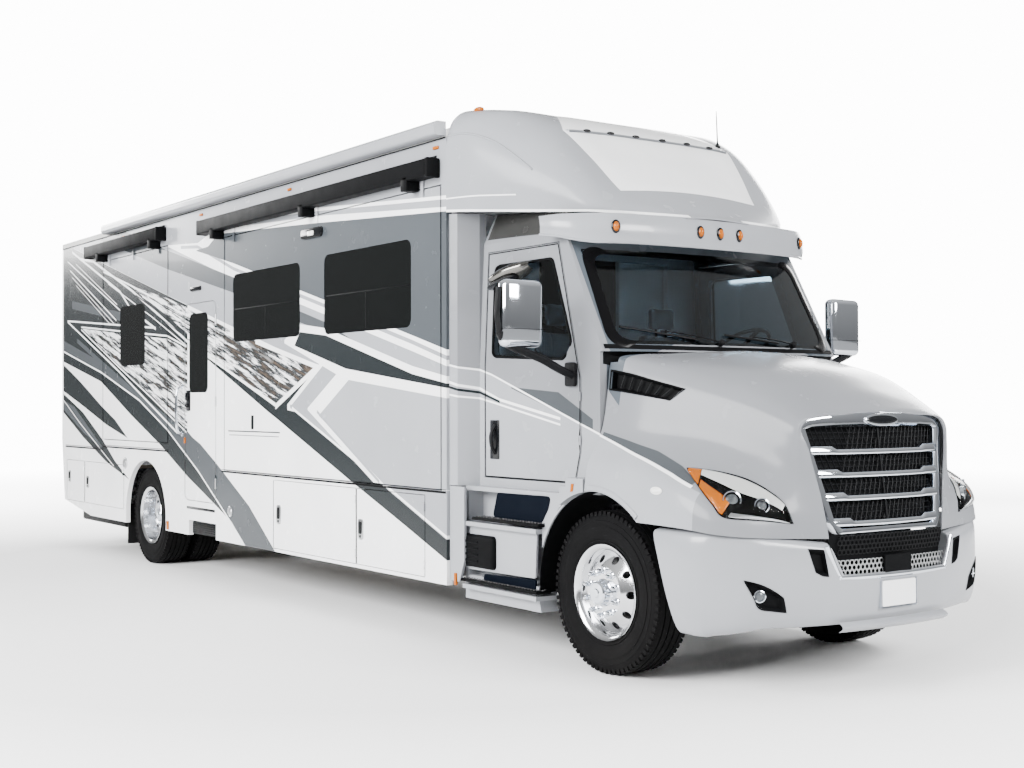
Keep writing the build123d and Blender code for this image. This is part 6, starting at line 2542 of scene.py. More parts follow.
@dataclass
class Steps:
    """The tread plates, near-black plates over them painted as the shade of the step recess, and the black box behind
    them.

    Args:
        levels: For each tread its Z, its rear end and its front end.
        inner: Y of the treads' inner edge.
        outer: Y of their outer edge.
        pitch: Distance between the grips.
        grip_rows: How far each row of grips lies outside the inner edge, and how far it is shifted forwards.
        arch_at: The wheel arch's centre.
        arch_r: The radius of its liner.
    """

    levels: tuple[Point3, ...] = ((0.890, 3.235, 4.030), (0.440, 3.080, 4.010))
    inner: float = 1.130
    outer: float = 1.262
    pitch: float = 0.034
    grip_rows: Section = ((0.035, 0.0), (0.068, 0.017), (0.101, 0.0))
    arch_at: Point3 = (4.6, 0.0, 0.52)
    arch_r: float = 0.638

    def build(self, shop: Shop) -> None:
        """Builds both sides' steps.

        Args:
            shop: Where the pieces are finished.
        """
        for side, way in SIDES:
            treads = bmesh.new()
            grips = bmesh.new()
            for z, x0, x1 in self.levels:
                block(treads, (x0, way * self.inner, z + 0.006), (x1, way * self.outer, z + 0.028), 0.008, 2)
                for number in range(int((x1 - x0) / self.pitch)):
                    for row, shift in self.grip_rows:
                        spot = (x0 + 0.02 + number * self.pitch + shift, way * (self.inner + row), z + 0.030)
                        bmesh.ops.create_cone(grips, cap_ends=True, segments=8, radius1=0.010, radius2=0.006,
                                              depth=0.007, matrix=Matrix.Translation(spot))
            shop.piece(f"{side}_treads", treads, "pitch", "coach")
            shop.piece(f"{side}_tread_grips", grips, "steel", "coach")
            # Near-black plates above the treads: painted shade in the step recesses.
            recess = bmesh.new()
            y0, y1 = sorted((way * 1.196, way * 1.206))
            side_plate(recess, rounded_outline([(3.42, 0.925), (4.00, 0.925), (4.07, 1.02), (4.10, 1.105),
                                                (3.48, 1.100)], 0.03, 3), y0, y1)
            side_plate(recess, rounded_outline([(3.30, 0.470), (3.93, 0.470), (3.93, 0.535), (3.32, 0.515)], 0.01, 3),
                       y0, y1)
            shop.piece(f"{side}_step_recess", recess, "recess", "coach")
            y0, y1 = sorted((way * 1.10, way * 1.252))
            box = bmesh.new()
            block(box, (3.085, y0, 0.555), (3.480, y1, 0.790), 0.030, 3)
            for number in range(4):
                z = 0.595 + number * 0.045
                block(box, (3.105, way * 1.245, z), (3.300, way * 1.258, z + 0.020), 0.006)
            shop.piece(f"{side}_step_box", box, "pitch", "coach")
            skirt = bmesh.new()
            y0, y1 = sorted((way * 1.245, way * 1.268))
            side_plate(skirt, rounded_outline([(2.962, 0.440), (3.085, 0.440), (3.150, 0.60), (3.150, 1.125),
                                               (2.962, 1.125)], 0.01, 3), y0, y1, 0.004)
            shop.piece(f"{side}_corner_skirt", skirt, "cab", "coach")
            panel = bmesh.new()
            y0, y1 = sorted((way * 1.196, way * 1.215))
            side_plate(panel, rounded_outline([(3.10, 0.535), (3.94, 0.545), (3.96, 0.880), (3.10, 0.880)], 0.02, 3),
                       y0, y1, 0.006)
            shop.piece(f"{side}_step_panel", panel, "cab", "coach")
            marker = bmesh.new()
            y0, y1 = sorted((way * 1.228, way * 1.250))
            side_plate(marker, [(4.368, 1.150), (4.392, 1.155), (4.402, 1.205), (4.378, 1.203)], y0, y1, 0.004)
            shop.piece(f"{side}_cab_marker", marker, "amber", "coach")
            liner = bmesh.new()
            spun(liner, ((0.80, self.arch_r), (1.190, self.arch_r)), self.arch_at, (0, way, 0), 96)
            planes = (((4.5, 0, 0), (1, 0, 0), True), ((0, 0, 0.45), (0, 0, 1), False))
            for spot, normal, outer in planes:
                bmesh.ops.bisect_plane(liner, geom=[*liner.verts, *liner.edges, *liner.faces], plane_co=spot,
                                       plane_no=normal, clear_outer=outer, clear_inner=not outer)
            bmesh.ops.solidify(liner, geom=liner.faces, thickness=0.003)
            shop.piece(f"{side}_fairing_liner", liner, "pitch", "coach")


# --------------------------------------------------------------------------------------
# Cab seats
# --------------------------------------------------------------------------------------


def stuffed(piece: Piece, voxel: float, most: float) -> None:
    """Swells a closed cover over its filling, by cloth simulation.

    Args:
        piece: The cover. It keeps the swollen shape in its mesh.
        voxel: The size of its new faces.
        most: The furthest that a point may move.
    """
    baked(piece, ("REMESH", {"mode": "VOXEL", "voxel_size": voxel}))
    scene = bpy.context.scene
    rest = [vert.co.copy() for vert in piece.data.vertices]
    cloth = piece.modifiers.new("cloth", "CLOTH")
    cloth.settings.use_pressure = True
    cloth.settings.uniform_pressure_force = 4.0
    cloth.settings.effector_weights.gravity = 0.0
    cloth.point_cache.frame_start, cloth.point_cache.frame_end = 1, 20
    for number in range(1, 21):
        scene.frame_set(number)
    swollen = piece.evaluated_get(bpy.context.evaluated_depsgraph_get())
    moved = [vert.co.copy() for vert in swollen.to_mesh().vertices]
    swollen.to_mesh_clear()
    piece.modifiers.clear()
    scene.frame_set(1)
    for vert, start, stop in zip(piece.data.vertices, rest, moved):
        shift = stop - start
        vert.co = start + shift * min(1.0, most / max(shift.length, 1e-6))


@dataclass(frozen=True)
class Pad:
    """One padded part of a seat.

    Args:
        name: Its name.
        low: Its lowest corner, measured from the seat's middle plane.
        high: Its highest corner.
        crown: How far its middle stands out.
        channels: Distance of the sewn channels from the seat's middle plane, or 0.
        thin: The axis across its thickness.
        voxel: The size of its faces.
    """

    name: str
    low: Point3
    high: Point3
    crown: float
    channels: float
    thin: int
    voxel: float = 0.010

    def cover(self) -> BMesh:
        """Returns the cover before it is stuffed: crowned, with its sides drawn in between the corners.

        Returns:
            The cover.
        """
        bm = bmesh.new()
        block(bm, self.low, self.high, 0.035, 4)
        bmesh.ops.subdivide_edges(bm, edges=list(bm.edges), cuts=3, use_grid_fill=True)
        middle, half = (Vector(self.low) + Vector(self.high)) / 2, (Vector(self.high) - Vector(self.low)) / 2
        wide = [axis for axis in range(3) if axis != self.thin]
        for vert in bm.verts:
            share = [(vert.co[k] - middle[k]) / half[k] for k in range(3)]
            flat = max(0.0, 1 - share[wide[0]] ** 2) * max(0.0, 1 - share[wide[1]] ** 2)
            vert.co[self.thin] += share[self.thin] * self.crown * flat
            for a, b in (wide, wide[::-1]):
                vert.co[a] -= share[a] * 0.010 * max(0.0, 1 - share[b] ** 2)
        return bm

    def sewn(self, piece: Piece) -> None:
        """Presses the sewn channels into the stuffed cover.

        Args:
            piece: The stuffed cover.
        """
        middle = (self.low[self.thin] + self.high[self.thin]) / 2
        for vert in piece.data.vertices:
            off = abs(abs(vert.co.y) - self.channels)
            depth = 0.009 * math.exp(-(off / 0.008) ** 2)
            vert.co[self.thin] -= math.copysign(depth, vert.co[self.thin] - middle)

    def build(self, shop: Shop, seats: Sequence[tuple[str, float]]) -> None:
        """Builds the pad once and sets a copy on each seat.

        Args:
            shop: Where it is finished.
            seats: For each seat its side and the Y of its middle plane.
        """
        first = shop.piece(f"seat_{self.name}", self.cover(), "cloth", "coach", replaces=("cab_seats",), sharp=180.0)
        stuffed(first, self.voxel, 0.012)
        if self.channels:
            self.sewn(first)
        baked(first, ("SUBSURF", {"levels": 1, "render_levels": 1}))
        for side, y in seats:
            bm = bmesh.new()
            bm.from_mesh(first.data)
            bmesh.ops.translate(bm, verts=bm.verts, vec=(0.0, y, 0.0))
            pad = shop.piece(f"{side}_seat_{self.name}", bm, "cloth", "coach", replaces=("cab_seats",), sharp=180.0)
        bpy.data.objects.remove(first)


@dataclass
class Seats:
    """The two cab seats: padded cushion, back and headrest on a black pedestal.

    Args:
        pads: The padded parts of a seat.
        places: For each seat its side and the Y of its middle plane.
    """

    pads: tuple[Pad, ...] = (
        Pad("cushion", (3.305, -0.235, 1.490), (3.795, 0.235, 1.600), 0.014, 0.120, 2),
        Pad("back", (3.236, -0.225, 1.585), (3.336, 0.225, 2.262), 0.012, 0.115, 0),
        Pad("headrest", (3.242, -0.125, 2.290), (3.312, 0.125, 2.465), 0.008, 0.0, 0),
    )
    places: tuple[tuple[str, float], ...] = (("left", 0.5), ("right", -0.5))

    def build(self, shop: Shop) -> None:
        """Builds both seats.

        Args:
            shop: Where the pieces are finished.
        """
        for pad in self.pads:
            pad.build(shop, self.places)
        for side, y in self.places:
            stand = bmesh.new()
            block(stand, (3.385, y - 0.165, 1.160), (3.715, y + 0.165, 1.470), 0.020, 3)
            for row in range(5):
                z = 1.20 + row * 0.045
                block(stand, (3.375, y - 0.172, z), (3.725, y + 0.172, z + 0.022), 0.006, 2)
            for off in (-0.060, 0.045):
                block(stand, (3.265, y + off, 2.240), (3.285, y + off + 0.015, 2.320), 0.004, 1)
            shop.piece(f"{side}_seat_stand", stand, "black", "coach", replaces=("cab_seats",))
            rests = bmesh.new()
            for way in (-1, 1):
                block(rests, (3.34, y + way * 0.215 - 0.022, 1.745), (3.66, y + way * 0.215 + 0.022, 1.785), 0.016, 3)
            shop.piece(f"{side}_seat_armrests", rests, "trim", "coach", replaces=("cab_seats",))


# --------------------------------------------------------------------------------------
# Wheels
# --------------------------------------------------------------------------------------


@dataclass
class Wheel:
    """A tyre and its polished aluminium rim.

    Args:
        name: The wheel's name, which its pieces start with.
        body: The body it turns with.
        centre: Its middle.
        way: 1 on the left and -1 on the right.
        dish: How far the disc lies inside the rim's outer edge.
        tyre_r: The tyre's radius.
        rim_r: The rim's radius.
        half: Half the tyre's width.
    """

    name: str
    body: str
    centre: Point3
    way: int
    dish: float
    tyre_r: float = 0.520
    rim_r: float = 0.300
    half: float = 0.1425

    def tyre(self, shop: Shop) -> None:
        """Builds the tyre with its grooves, shoulder blocks and sidewall ribs.

        Args:
            shop: Where the pieces are finished.
        """
        bm = bmesh.new()
        r, w = self.tyre_r, self.half
        side = ((w - 0.030, self.rim_r - 0.004), (w - 0.012, self.rim_r + 0.012), (w - 0.004, self.rim_r + 0.030),
                (w - 0.010, self.rim_r + 0.036), (w - 0.001, self.rim_r + 0.060), (w, r - 0.105),
                (w - 0.001, r - 0.099), (w - 0.004, r - 0.099), (w - 0.003, r - 0.065), (w - 0.006, r - 0.062),
                (w - 0.014, r - 0.030), (w - 0.024, r - 0.010), (w - 0.034, r - 0.004))
        tread: list[Point2] = []
        for edge in (0.074, 0.025, -0.025, -0.074):
            tread += [(edge + 0.006, r), (edge + 0.004, r - 0.014), (edge - 0.004, r - 0.014), (edge - 0.006, r)]
        profile = [*side, *tread, *((-d, k) for d, k in reversed(side))]
        spun(bm, profile, self.centre, (0, self.way, 0), 96)
        shop.piece(f"{self.name}_tyre_skin", bm, "tyre", self.body, replaces=(self.replaced("tyre"),), sharp=28.0)
        lugs = bmesh.new()
        for number in range(72):
            for edge in (-1, 1):
                angle = math.tau * (number + 0.5 * (edge > 0)) / 72
                turn = Matrix.Translation(self.centre) @ Matrix.Rotation(angle, 4, "Y")
                turn = turn @ Matrix.Translation((0, edge * (w - 0.027), r - 0.0195))
                bmesh.ops.create_cube(lugs, size=1.0, matrix=turn @ Matrix.Diagonal((0.026, 0.034, 0.030, 1.0)))
        shop.piece(f"{self.name}_tread_lugs", lugs, "tyre", self.body)

    def replaced(self, part: str) -> str:
        """Returns the name of the node that this wheel's part stands for."""
        stem = self.body.removesuffix("_wheels").removesuffix("_wheel")
        return f"{stem}_{part}" + ("s" if self.body.endswith("s") else "")

    def rim(self, shop: Shop) -> None:
        """Builds the rim, with ten hand holes, nut covers and hub cover.

        Args:
            shop: Where the pieces are finished.
        """
        bm = bmesh.new()
        face = self.half - 0.006
        disc = face - self.dish
        r = self.rim_r
        single = self.dish < 0.06
        proud = 0.055 if single else -0.035
        inner = -0.055 if single else -face
        profile = ((inner, r - 0.004), (inner, r + 0.006), (inner + 0.02, r - 0.018), (disc - 0.05, r - 0.034),
                   (disc - 0.02, r - 0.040), (disc - 0.012, r - 0.055), (disc + proud * 0.55, 0.190),
                   (disc + proud, 0.165), (disc + proud, 0.085), (disc + proud - 0.022, 0.085),
                   (disc + proud - 0.022, 0.168), (disc + proud * 0.55 - 0.022, 0.196), (disc - 0.034, r - 0.052),
                   (disc - 0.046, r - 0.046))
        outer = ((disc - 0.020, r - 0.030), (disc + 0.012, r - 0.026), (face - 0.020, r - 0.020),
                 (face - 0.006, r + 0.002), (face, r + 0.008), (face + 0.003, r + 0.006), (face + 0.001, r - 0.004),
                 (face - 0.014, r - 0.026), (disc + 0.010, r - 0.036), (disc - 0.018, r - 0.042),
                 (disc - 0.020, r - 0.030))
        spun(bm, profile, self.centre, (0, self.way, 0), 80)
        bmesh.ops.remove_doubles(bm, verts=bm.verts, dist=SAME)
        plate = shop.piece(f"{self.name}_rim_disc", bm, "rim", self.body, replaces=(self.replaced("rim"),), sharp=40.0)
        cutter = bmesh.new()
        for number in range(10):
            angle = math.tau * number / 10
            spot = Vector(self.centre) + Vector((0.215 * math.cos(angle), 0, 0.215 * math.sin(angle)))
            spun(cutter, ((-0.4, 0.0), (-0.4, 0.025), (0.4, 0.025), (0.4, 0.0)), spot, (0, self.way, 0), 24)
        carve(plate, cutter)
        flange = bmesh.new()
        spun(flange, outer, self.centre, (0, self.way, 0), 80)
        shop.piece(f"{self.name}_rim_flange", flange, "rim", self.body, sharp=40.0)
        back = bmesh.new()
        spun(back, ((disc - 0.075, r - 0.045), (disc - 0.085, 0.05), (disc - 0.10, 0.05), (disc - 0.09, r - 0.045),
                    (disc - 0.075, r - 0.045)),
             self.centre, (0, self.way, 0), 48)
        shop.piece(f"{self.name}_brake_drum", back, "cast", self.body)
        nuts = bmesh.new()
        for number in range(10):
            angle = math.tau * (number + 0.5) / 10
            spot = Vector(self.centre) + Vector((0.1425 * math.cos(angle), 0, 0.1425 * math.sin(angle)))
            spun(nuts, ((disc + proud - 0.004, 0.024), (disc + proud + 0.004, 0.024), (disc + proud + 0.008, 0.018),
                        (disc + proud + 0.038, 0.016), (disc + proud + 0.050, 0.010), (disc + proud + 0.052, 0.0)),
                        spot, (0, self.way, 0), 14)
        hub = disc + proud
        cap = bmesh.new()
        reach = 0.060 if single else 0.085
        spun(cap, ((hub - 0.03, 0.088), (hub + 0.004, 0.088), (hub + 0.010, 0.080), (hub + reach - 0.01, 0.074),
                   (hub + reach, 0.064), (hub + reach + 0.002, 0.030), (hub + reach + 0.010, 0.026),
                   (hub + reach + 0.011, 0.0)), self.centre, (0, self.way, 0), 40)
        shop.piece(f"{self.name}_nut_covers", nuts, "chrome", self.body)
        shop.piece(f"{self.name}_hub_cover", cap, "chrome", self.body)

    def build(self, shop: Shop) -> None:
        """Builds the whole wheel."""
        self.tyre(shop)
        self.rim(shop)


# --------------------------------------------------------------------------------------
# Coach: windows, awnings, latches, lamps and tail
# --------------------------------------------------------------------------------------


@dataclass(frozen=True)
class Window:
    """A flush window in the coach's side.

    Args:
        name: Its name.
        body: The body it rides on.
        way: 1 on the left and -1 on the right.
        span: Its lowest and highest X.
        rise: Its lowest and highest Z.
        sash: Share of its height at which the sliding sash starts, or 0.
    """

    name: str
    body: str
    way: int
    span: Point2
    rise: Point2
    sash: float = 0.48

    def build(self, shop: Shop, tree: BVHTree) -> None:
        """Builds the rubber round the glass, and the sash bars on it.

        Args:
            shop: Where they are finished.
            tree: The glass.
        """
        (x0, x1), (z0, z1) = self.span, self.rise
        face = laid(tree, Vector(((x0 + x1) / 2, self.way * 3, (z0 + z1) / 2)), Vector((0, -self.way, 0)), 0).y
        bm = bmesh.new()
        frame_plate(bm, oblong(x0 - 0.010, x1 + 0.010, z0 - 0.010, z1 + 0.010, 0.085, 8), 0.016,
                    facing(1, face, self.way), -0.012, 0.004)
        shop.piece(f"{self.name}_rubber", bm, "pitch", self.body)
        if not self.sash:
            return
        bars = bmesh.new()
        z, x = z0 + (z1 - z0) * self.sash, (x0 + x1) / 2
        low, high = sorted((face - self.way * 0.002, face + self.way * 0.0015))
        block(bars, (x0 + 0.03, low, z - 0.006), (x1 - 0.03, high, z + 0.006), 0.002)
        block(bars, (x - 0.005, low, z0 + 0.03), (x + 0.005, high, z), 0.002)
        shop.piece(f"{self.name}_sash", bars, "pitch", self.body)


WINDOWS = (
    ("right_front_slide", (Window("window_a", "right_front_slide", -1, (-0.802, 0.604), (2.312, 2.955)),
                           Window("window_b", "right_front_slide", -1, (1.051, 2.464), (2.305, 2.975)))),
    ("left_front_slide", (Window("window_c", "left_front_slide", 1, (-0.802, 0.604), (2.312, 2.955)),
                          Window("window_d", "left_front_slide", 1, (1.051, 2.464), (2.305, 2.975)))),
    ("right_rear_slide", (Window("window_e", "right_rear_slide", -1, (-3.900, -3.116), (2.155, 2.826), 0.0),)),
    ("entry_door", (Window("window_f", "entry_door", -1, (-1.879, -1.399), (1.840, 2.635), 0.0),)),
    ("wall", (Window("window_g", "coach", 1, (-5.485, -4.685), (2.155, 2.826)),
              Window("window_h", "coach", 1, (-3.800, -2.600), (2.155, 2.826)))),
)


@dataclass
class Topper:
    """The black awning case over a slide-out room, with its end caps and brackets.

    Args:
        body: The room it rides on.
        way: 1 on the left and -1 on the right.
        span: Its lowest and highest X.
        rise: Its lowest and highest Z.
        brackets: X of each bracket.
    """

    body: str
    way: int
    span: Point2
    rise: Point2
    brackets: tuple[float, ...]

    def build(self, shop: Shop) -> None:
        """Builds the case and its fittings.

        Args:
            shop: Where the pieces are finished.
        """
        (x0, x1), (z0, z1) = self.span, self.rise
        y0, y1 = sorted((self.way * 1.299, self.way * 1.414))
        case = bmesh.new()
        block(case, (x0 - 0.008, y0, z0 - 0.012), (x1 + 0.008, y1, z1 + 0.012), 0.012, 3)
        for x in (x0, x1):
            block(case, (x - 0.020, y0, z0 - 0.018), (x + 0.020, y1, z1 + 0.016), 0.008, 2)
        reach = y0 + 0.055 if self.way > 0 else y1
        for x in self.brackets:
            block(case, (x - 0.045, y0, z0 - 0.085), (x + 0.045, reach, z0 + 0.02), 0.006)
        shop.piece(f"{self.body}_topper", case, "pitch", self.body)
        rail = bmesh.new()
        line = [Vector((x, self.way * 1.3, z1 + 0.028)) for x in (x0 + 0.03, (x0 + x1) / 2, x1 - 0.03)]
        tube(rail, line, 0.016, 8, 4)
        shop.piece(f"{self.body}_topper_fabric", rail, "black", self.body)


TOPPERS = (
    Topper("right_front_slide", -1, (-1.400, 2.863), (3.400, 3.510), (-1.05, 0.84, 2.55)),
    Topper("left_front_slide", 1, (-1.400, 2.863), (3.400, 3.510), (-1.05, 0.84, 2.55)),
    Topper("right_rear_slide", -1, (-4.793, -2.508), (3.460, 3.570), (-4.35, -2.70)),
)


@dataclass
class Latch:
    """A paddle latch on a storage-bay door: a bright escutcheon and a black paddle.

    Args:
        body: The door it rides on.
        way: 1 on the left and -1 on the right.
        x: Its middle.
        rise: Its lowest and highest Z.
    """

    body: str
    way: int
    x: float
    rise: Point2

    def build(self, shop: Shop) -> None:
        """Builds the latch.

        Args:
            shop: Where the pieces are finished.
        """
        name = self.body.replace("_bay_door", "_latch")
        z0, z1 = self.rise
        lift = facing(1, self.way * 1.295, self.way)
        plate = bmesh.new()
        slab(plate, oblong(self.x - 0.042, self.x + 0.042, z0, z1, 0.035), lift, -0.004, 0.008, 0.003)
        shop.piece(f"{name}_plate", plate, "satin", self.body)
        paddle = bmesh.new()
        slab(paddle, oblong(self.x - 0.026, self.x + 0.026, z0 + 0.045, z1 - 0.02, 0.015), lift, 0.004, 0.013, 0.003)
        spun(paddle, ((0.004, 0.012), (0.011, 0.012), (0.013, 0.009), (0.013, 0.0), (0.004, 0.0), (0.004, 0.012)),
             lift((self.x, z0 + 0.026), 0.0), (0, self.way, 0), 16)
        shop.piece(f"{name}_paddle", paddle, "black", self.body)


LATCHES = (
    Latch("right_tail_bay_door", -1, -5.674, (0.765, 0.913)),
    Latch("right_rear_bay_door", -1, -4.996, (0.724, 0.870)),
    Latch("right_middle_bay_door", -1, 0.191, (0.655, 0.824)),
    Latch("right_front_bay_door", -1, 1.684, (0.635, 0.800)),
    Latch("left_middle_bay_door", 1, 0.191, (0.655, 0.824)),
    Latch("left_front_bay_door", 1, 1.684, (0.635, 0.800)),
)


@dataclass
class CoachTrim:
    """Belt lines, gutters, markers, the porch lamp, the entry door's furniture, the tail and the roof.

    Args:
        gutter_z: Z of the gutter line.
        marker_z: Z of the high marker lamps.
        skin: How far out the front room's and the entry door's faces lie.
    """

    gutter_z: float = 3.669
    marker_z: float = 3.61
    skin: float = 1.2965

    def strips(self, shop: Shop) -> None:
        """Builds the dark belt lines and the rubbers round the slide-out rooms.

        Args:
            shop: Where the pieces are finished.
        """
        for side, way in SIDES:
            lines = bmesh.new()
            y0, y1 = sorted((way * 1.291, way * 1.3005))
            rear = ((-5.833, -2.0, 1.205),) if way > 0 else ((-5.833, -4.480, 1.205), (-4.448, -2.446, 1.235))
            for x0, x1, z in ((-1.057, 2.951, 1.078), *rear):
                block(lines, (x0, y0, z - 0.010), (x1, y1, z + 0.006), 0.002, 1)
                block(lines, (x0, y0, z + 0.014), (x1, y1, z + 0.019), 0.001, 1)
            shop.piece(f"{side}_belt_line", lines, "pitch", "coach")
            eave = bmesh.new()
            y0, y1 = sorted((way * 1.289, way * 1.304))
            block(eave, (-5.96, y0, self.gutter_z - 0.006), (2.955, y1, self.gutter_z + 0.004), 0.002, 1)
            shop.piece(f"{side}_gutter_line", eave, "black", "coach")
        for latch in LATCHES:
            low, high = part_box(latch.body)
            edges = bmesh.new()
            for x in (low.x + 0.003, high.x - 0.009):
                block(edges, (x, latch.way * 1.2935, low.z + 0.002), (x + 0.006, latch.way * self.skin, high.z - 0.002))
            shop.piece(f"{latch.body}_edges", edges, "pitch", latch.body)
        for body, way, (x0, x1), (z0, z1) in (
            ("right_front_slide", -1, (-1.0, 2.887), (1.095, 3.325)),
            ("left_front_slide", 1, (-1.0, 2.887), (1.095, 3.325)),
            ("right_rear_slide", -1, (-4.465, -2.450), (1.322, 3.385)),
        ):
            seal = bmesh.new()
            frame_plate(seal, oblong(x0 + 0.001, x1 - 0.001, z0 + 0.001, z1 - 0.001, 0.012), 0.009,
                        facing(1, way * 1.2955, way), -0.008, 0.0045)
            shop.piece(f"{body}_seal", seal, "pitch", body)

    def markers(self, shop: Shop) -> None:
        """Builds the amber marker lamps and reflectors along the sides.

        Args:
            shop: Where the pieces are finished.
        """
        for side, way in SIDES:
            ambers = bmesh.new()
            for x in (-3.774, -1.562, 0.411, 2.829):
                block(ambers, (x - 0.035, way * 1.300 - 0.012, self.marker_z - 0.012),
                      (x + 0.035, way * 1.300 + 0.012, self.marker_z + 0.012), 0.007, 3)
            block(ambers, (3.030, way * 1.272 - 0.010, 0.412), (3.058, way * 1.272 + 0.010, 0.500), 0.006, 3)
            shop.piece(f"{side}_side_markers", ambers, "amber", "coach")
            reflector = bmesh.new()
            block(reflector, (-2.475, way * 1.298 - 0.008, 0.415), (-2.415, way * 1.298 + 0.008, 0.505), 0.006, 3)
            shop.piece(f"{side}_reflector", reflector, "amber", "coach")

    def porch(self, shop: Shop) -> None:
        """Builds the porch lamp and the hatch lines on the front room.

        Args:
            shop: Where the pieces are finished.
        """
        lift = facing(1, -self.skin, -1)
        case = bmesh.new()
        slab(case, oblong(0.655, 1.035, 3.140, 3.225, 0.040, 6), lift, -0.004, 0.022, 0.006)
        shop.piece("porch_lamp_case", case, "gloss_black", "right_front_slide")
        lens = bmesh.new()
        slab(lens, oblong(0.790, 0.905, 3.160, 3.200, 0.016, 4), lift, 0.015, 0.028, 0.004)
        shop.piece("porch_lamp_lens", lens, "lit", "right_front_slide")
        hatch = bmesh.new()
        block(hatch, (-0.90, -1.3005, 1.464), (0.21, -1.294, 1.474), 0.002, 1)
        block(hatch, (-0.88, -1.2995, 1.428), (0.19, -1.294, 1.434), 0.002, 1)
        slab(hatch, oblong(-0.372, -0.338, 1.490, 1.620, 0.015, 4), lift, -0.003, 0.012, 0.003)
        shop.piece("hatch_lines", hatch, "black", "right_front_slide")

    def entry(self, shop: Shop) -> None:
        """Builds the entry door's lock, frame line, grab handle, lamps and step.

        Args:
            shop: Where the pieces are finished.
        """
        lift = facing(1, -self.skin, -1)
        frame = bmesh.new()
        frame_plate(frame, oblong(-1.982, -1.202, 0.754, 2.738, 0.09, 8), 0.008, lift, -0.004, 0.004)
        shop.piece("entry_door_line", frame, "satin", "entry_door")
        lock = bmesh.new()
        slab(lock, oblong(-1.925, -1.840, 1.655, 1.865, 0.020, 4), lift, -0.003, 0.014, 0.004)
        spun(lock, ((0.0, 0.020), (0.030, 0.020), (0.034, 0.016), (0.034, 0.0), (0.0, 0.0), (0.0, 0.020)),
             lift((-1.882, 1.71), 0.0), (0, -1, 0), 20)
        block(lock, (-1.905, -1.330, 1.760), (-1.860, -1.305, 1.845), 0.010, 2)
        shop.piece("entry_lock", lock, "gloss_black", "entry_door")
        hinges = bmesh.new()
        for z in (0.95, 1.75, 2.55):
            spun(hinges, ((-0.05, 0.0), (-0.05, 0.010), (0.05, 0.010), (0.05, 0.0)), (-1.196, -1.300, z), (0, 0, 1), 12)
        shop.piece("entry_hinges", hinges, "satin", "coach")
        grab = bmesh.new()
        tube(grab, [Vector(p) for p in ((-2.055, -1.297, 1.42), (-2.055, -1.350, 1.46), (-2.055, -1.362, 1.66),
                                        (-2.055, -1.350, 1.86), (-2.055, -1.297, 1.90))], 0.014, 12, 32)
        for z in (1.42, 1.90):
            spun(grab, ((-0.004, 0.026), (0.006, 0.026), (0.008, 0.020), (0.008, 0.0), (-0.004, 0.0), (-0.004, 0.026)),
                 (-2.055, -1.296, z), (0, -1, 0), 20)
        shop.piece("grab_handle", grab, "chrome", "coach")
        lamp = bmesh.new()
        slab(lamp, oblong(-1.82, -1.56, 2.860, 2.905, 0.020, 4), lift, -0.003, 0.016, 0.004)
        slab(lamp, oblong(-1.93, -1.224, 0.667, 0.693, 0.010, 3), lift, -0.010, 0.003, 0.002)
        shop.piece("door_lamp", lamp, "gloss_black", "coach")
        small = bmesh.new()
        slab(small, oblong(-1.995, -1.965, 1.325, 1.385, 0.010, 3), lift, -0.003, 0.008, 0.002)
        shop.piece("door_marker", small, "amber", "coach")
        step = bmesh.new()
        block(step, (-1.865, -1.262, 0.418), (-1.215, -1.150, 0.540), 0.010, 2)
        for number in range(5):
            block(step, (-1.845, -1.268, 0.432 + number * 0.021), (-1.235, -1.255, 0.442 + number * 0.021), 0.003, 1)
        shop.piece("entry_step", step, "black", "coach")

    def ports(self, shop: Shop) -> None:
        """Builds the filler cover, the round cap, the black gear under the tail and the mud flaps.

        Args:
            shop: Where the pieces are finished.
        """
        for name, x, z, radius in (("filler_cover", -3.72, 1.067, 0.066), ("round_cap", -0.86, 0.70, 0.050)):
            ring = bmesh.new()
            spun(ring, ((-0.004, radius), (0.006, radius), (0.009, radius * 0.9), (0.006, radius * 0.8),
                        (0.004, radius * 0.74), (0.009, radius * 0.66), (0.011, radius * 0.3), (0.011, 0.0),
                        (-0.004, 0.0), (-0.004, radius)),
                 (x, -1.2955, z), (0, -1, 0), 36)
            block(ring, (x - 0.006, -1.3125, z - radius * 0.45), (x + 0.006, -1.304, z + radius * 0.45), 0.003, 2)
            shop.piece(name, ring, "satin", "coach")
        for side, way in SIDES:
            gear = bmesh.new()
            y0, y1 = sorted((way * 0.70, way * 1.16))
            block(gear, (-5.60, y0, 0.310), (-4.10, y1, 0.50), 0.025, 3)
            shop.piece(f"{side}_under_tank", gear, "black", "coach")
            flap = bmesh.new()
            y0, y1 = sorted((way * 0.62, way * 1.25))
            block(flap, (-3.765, y0, 0.16), (-3.750, y1, 0.60), 0.004, 1)
            shop.piece(f"{side}_mud_flap", flap, "black", "coach")

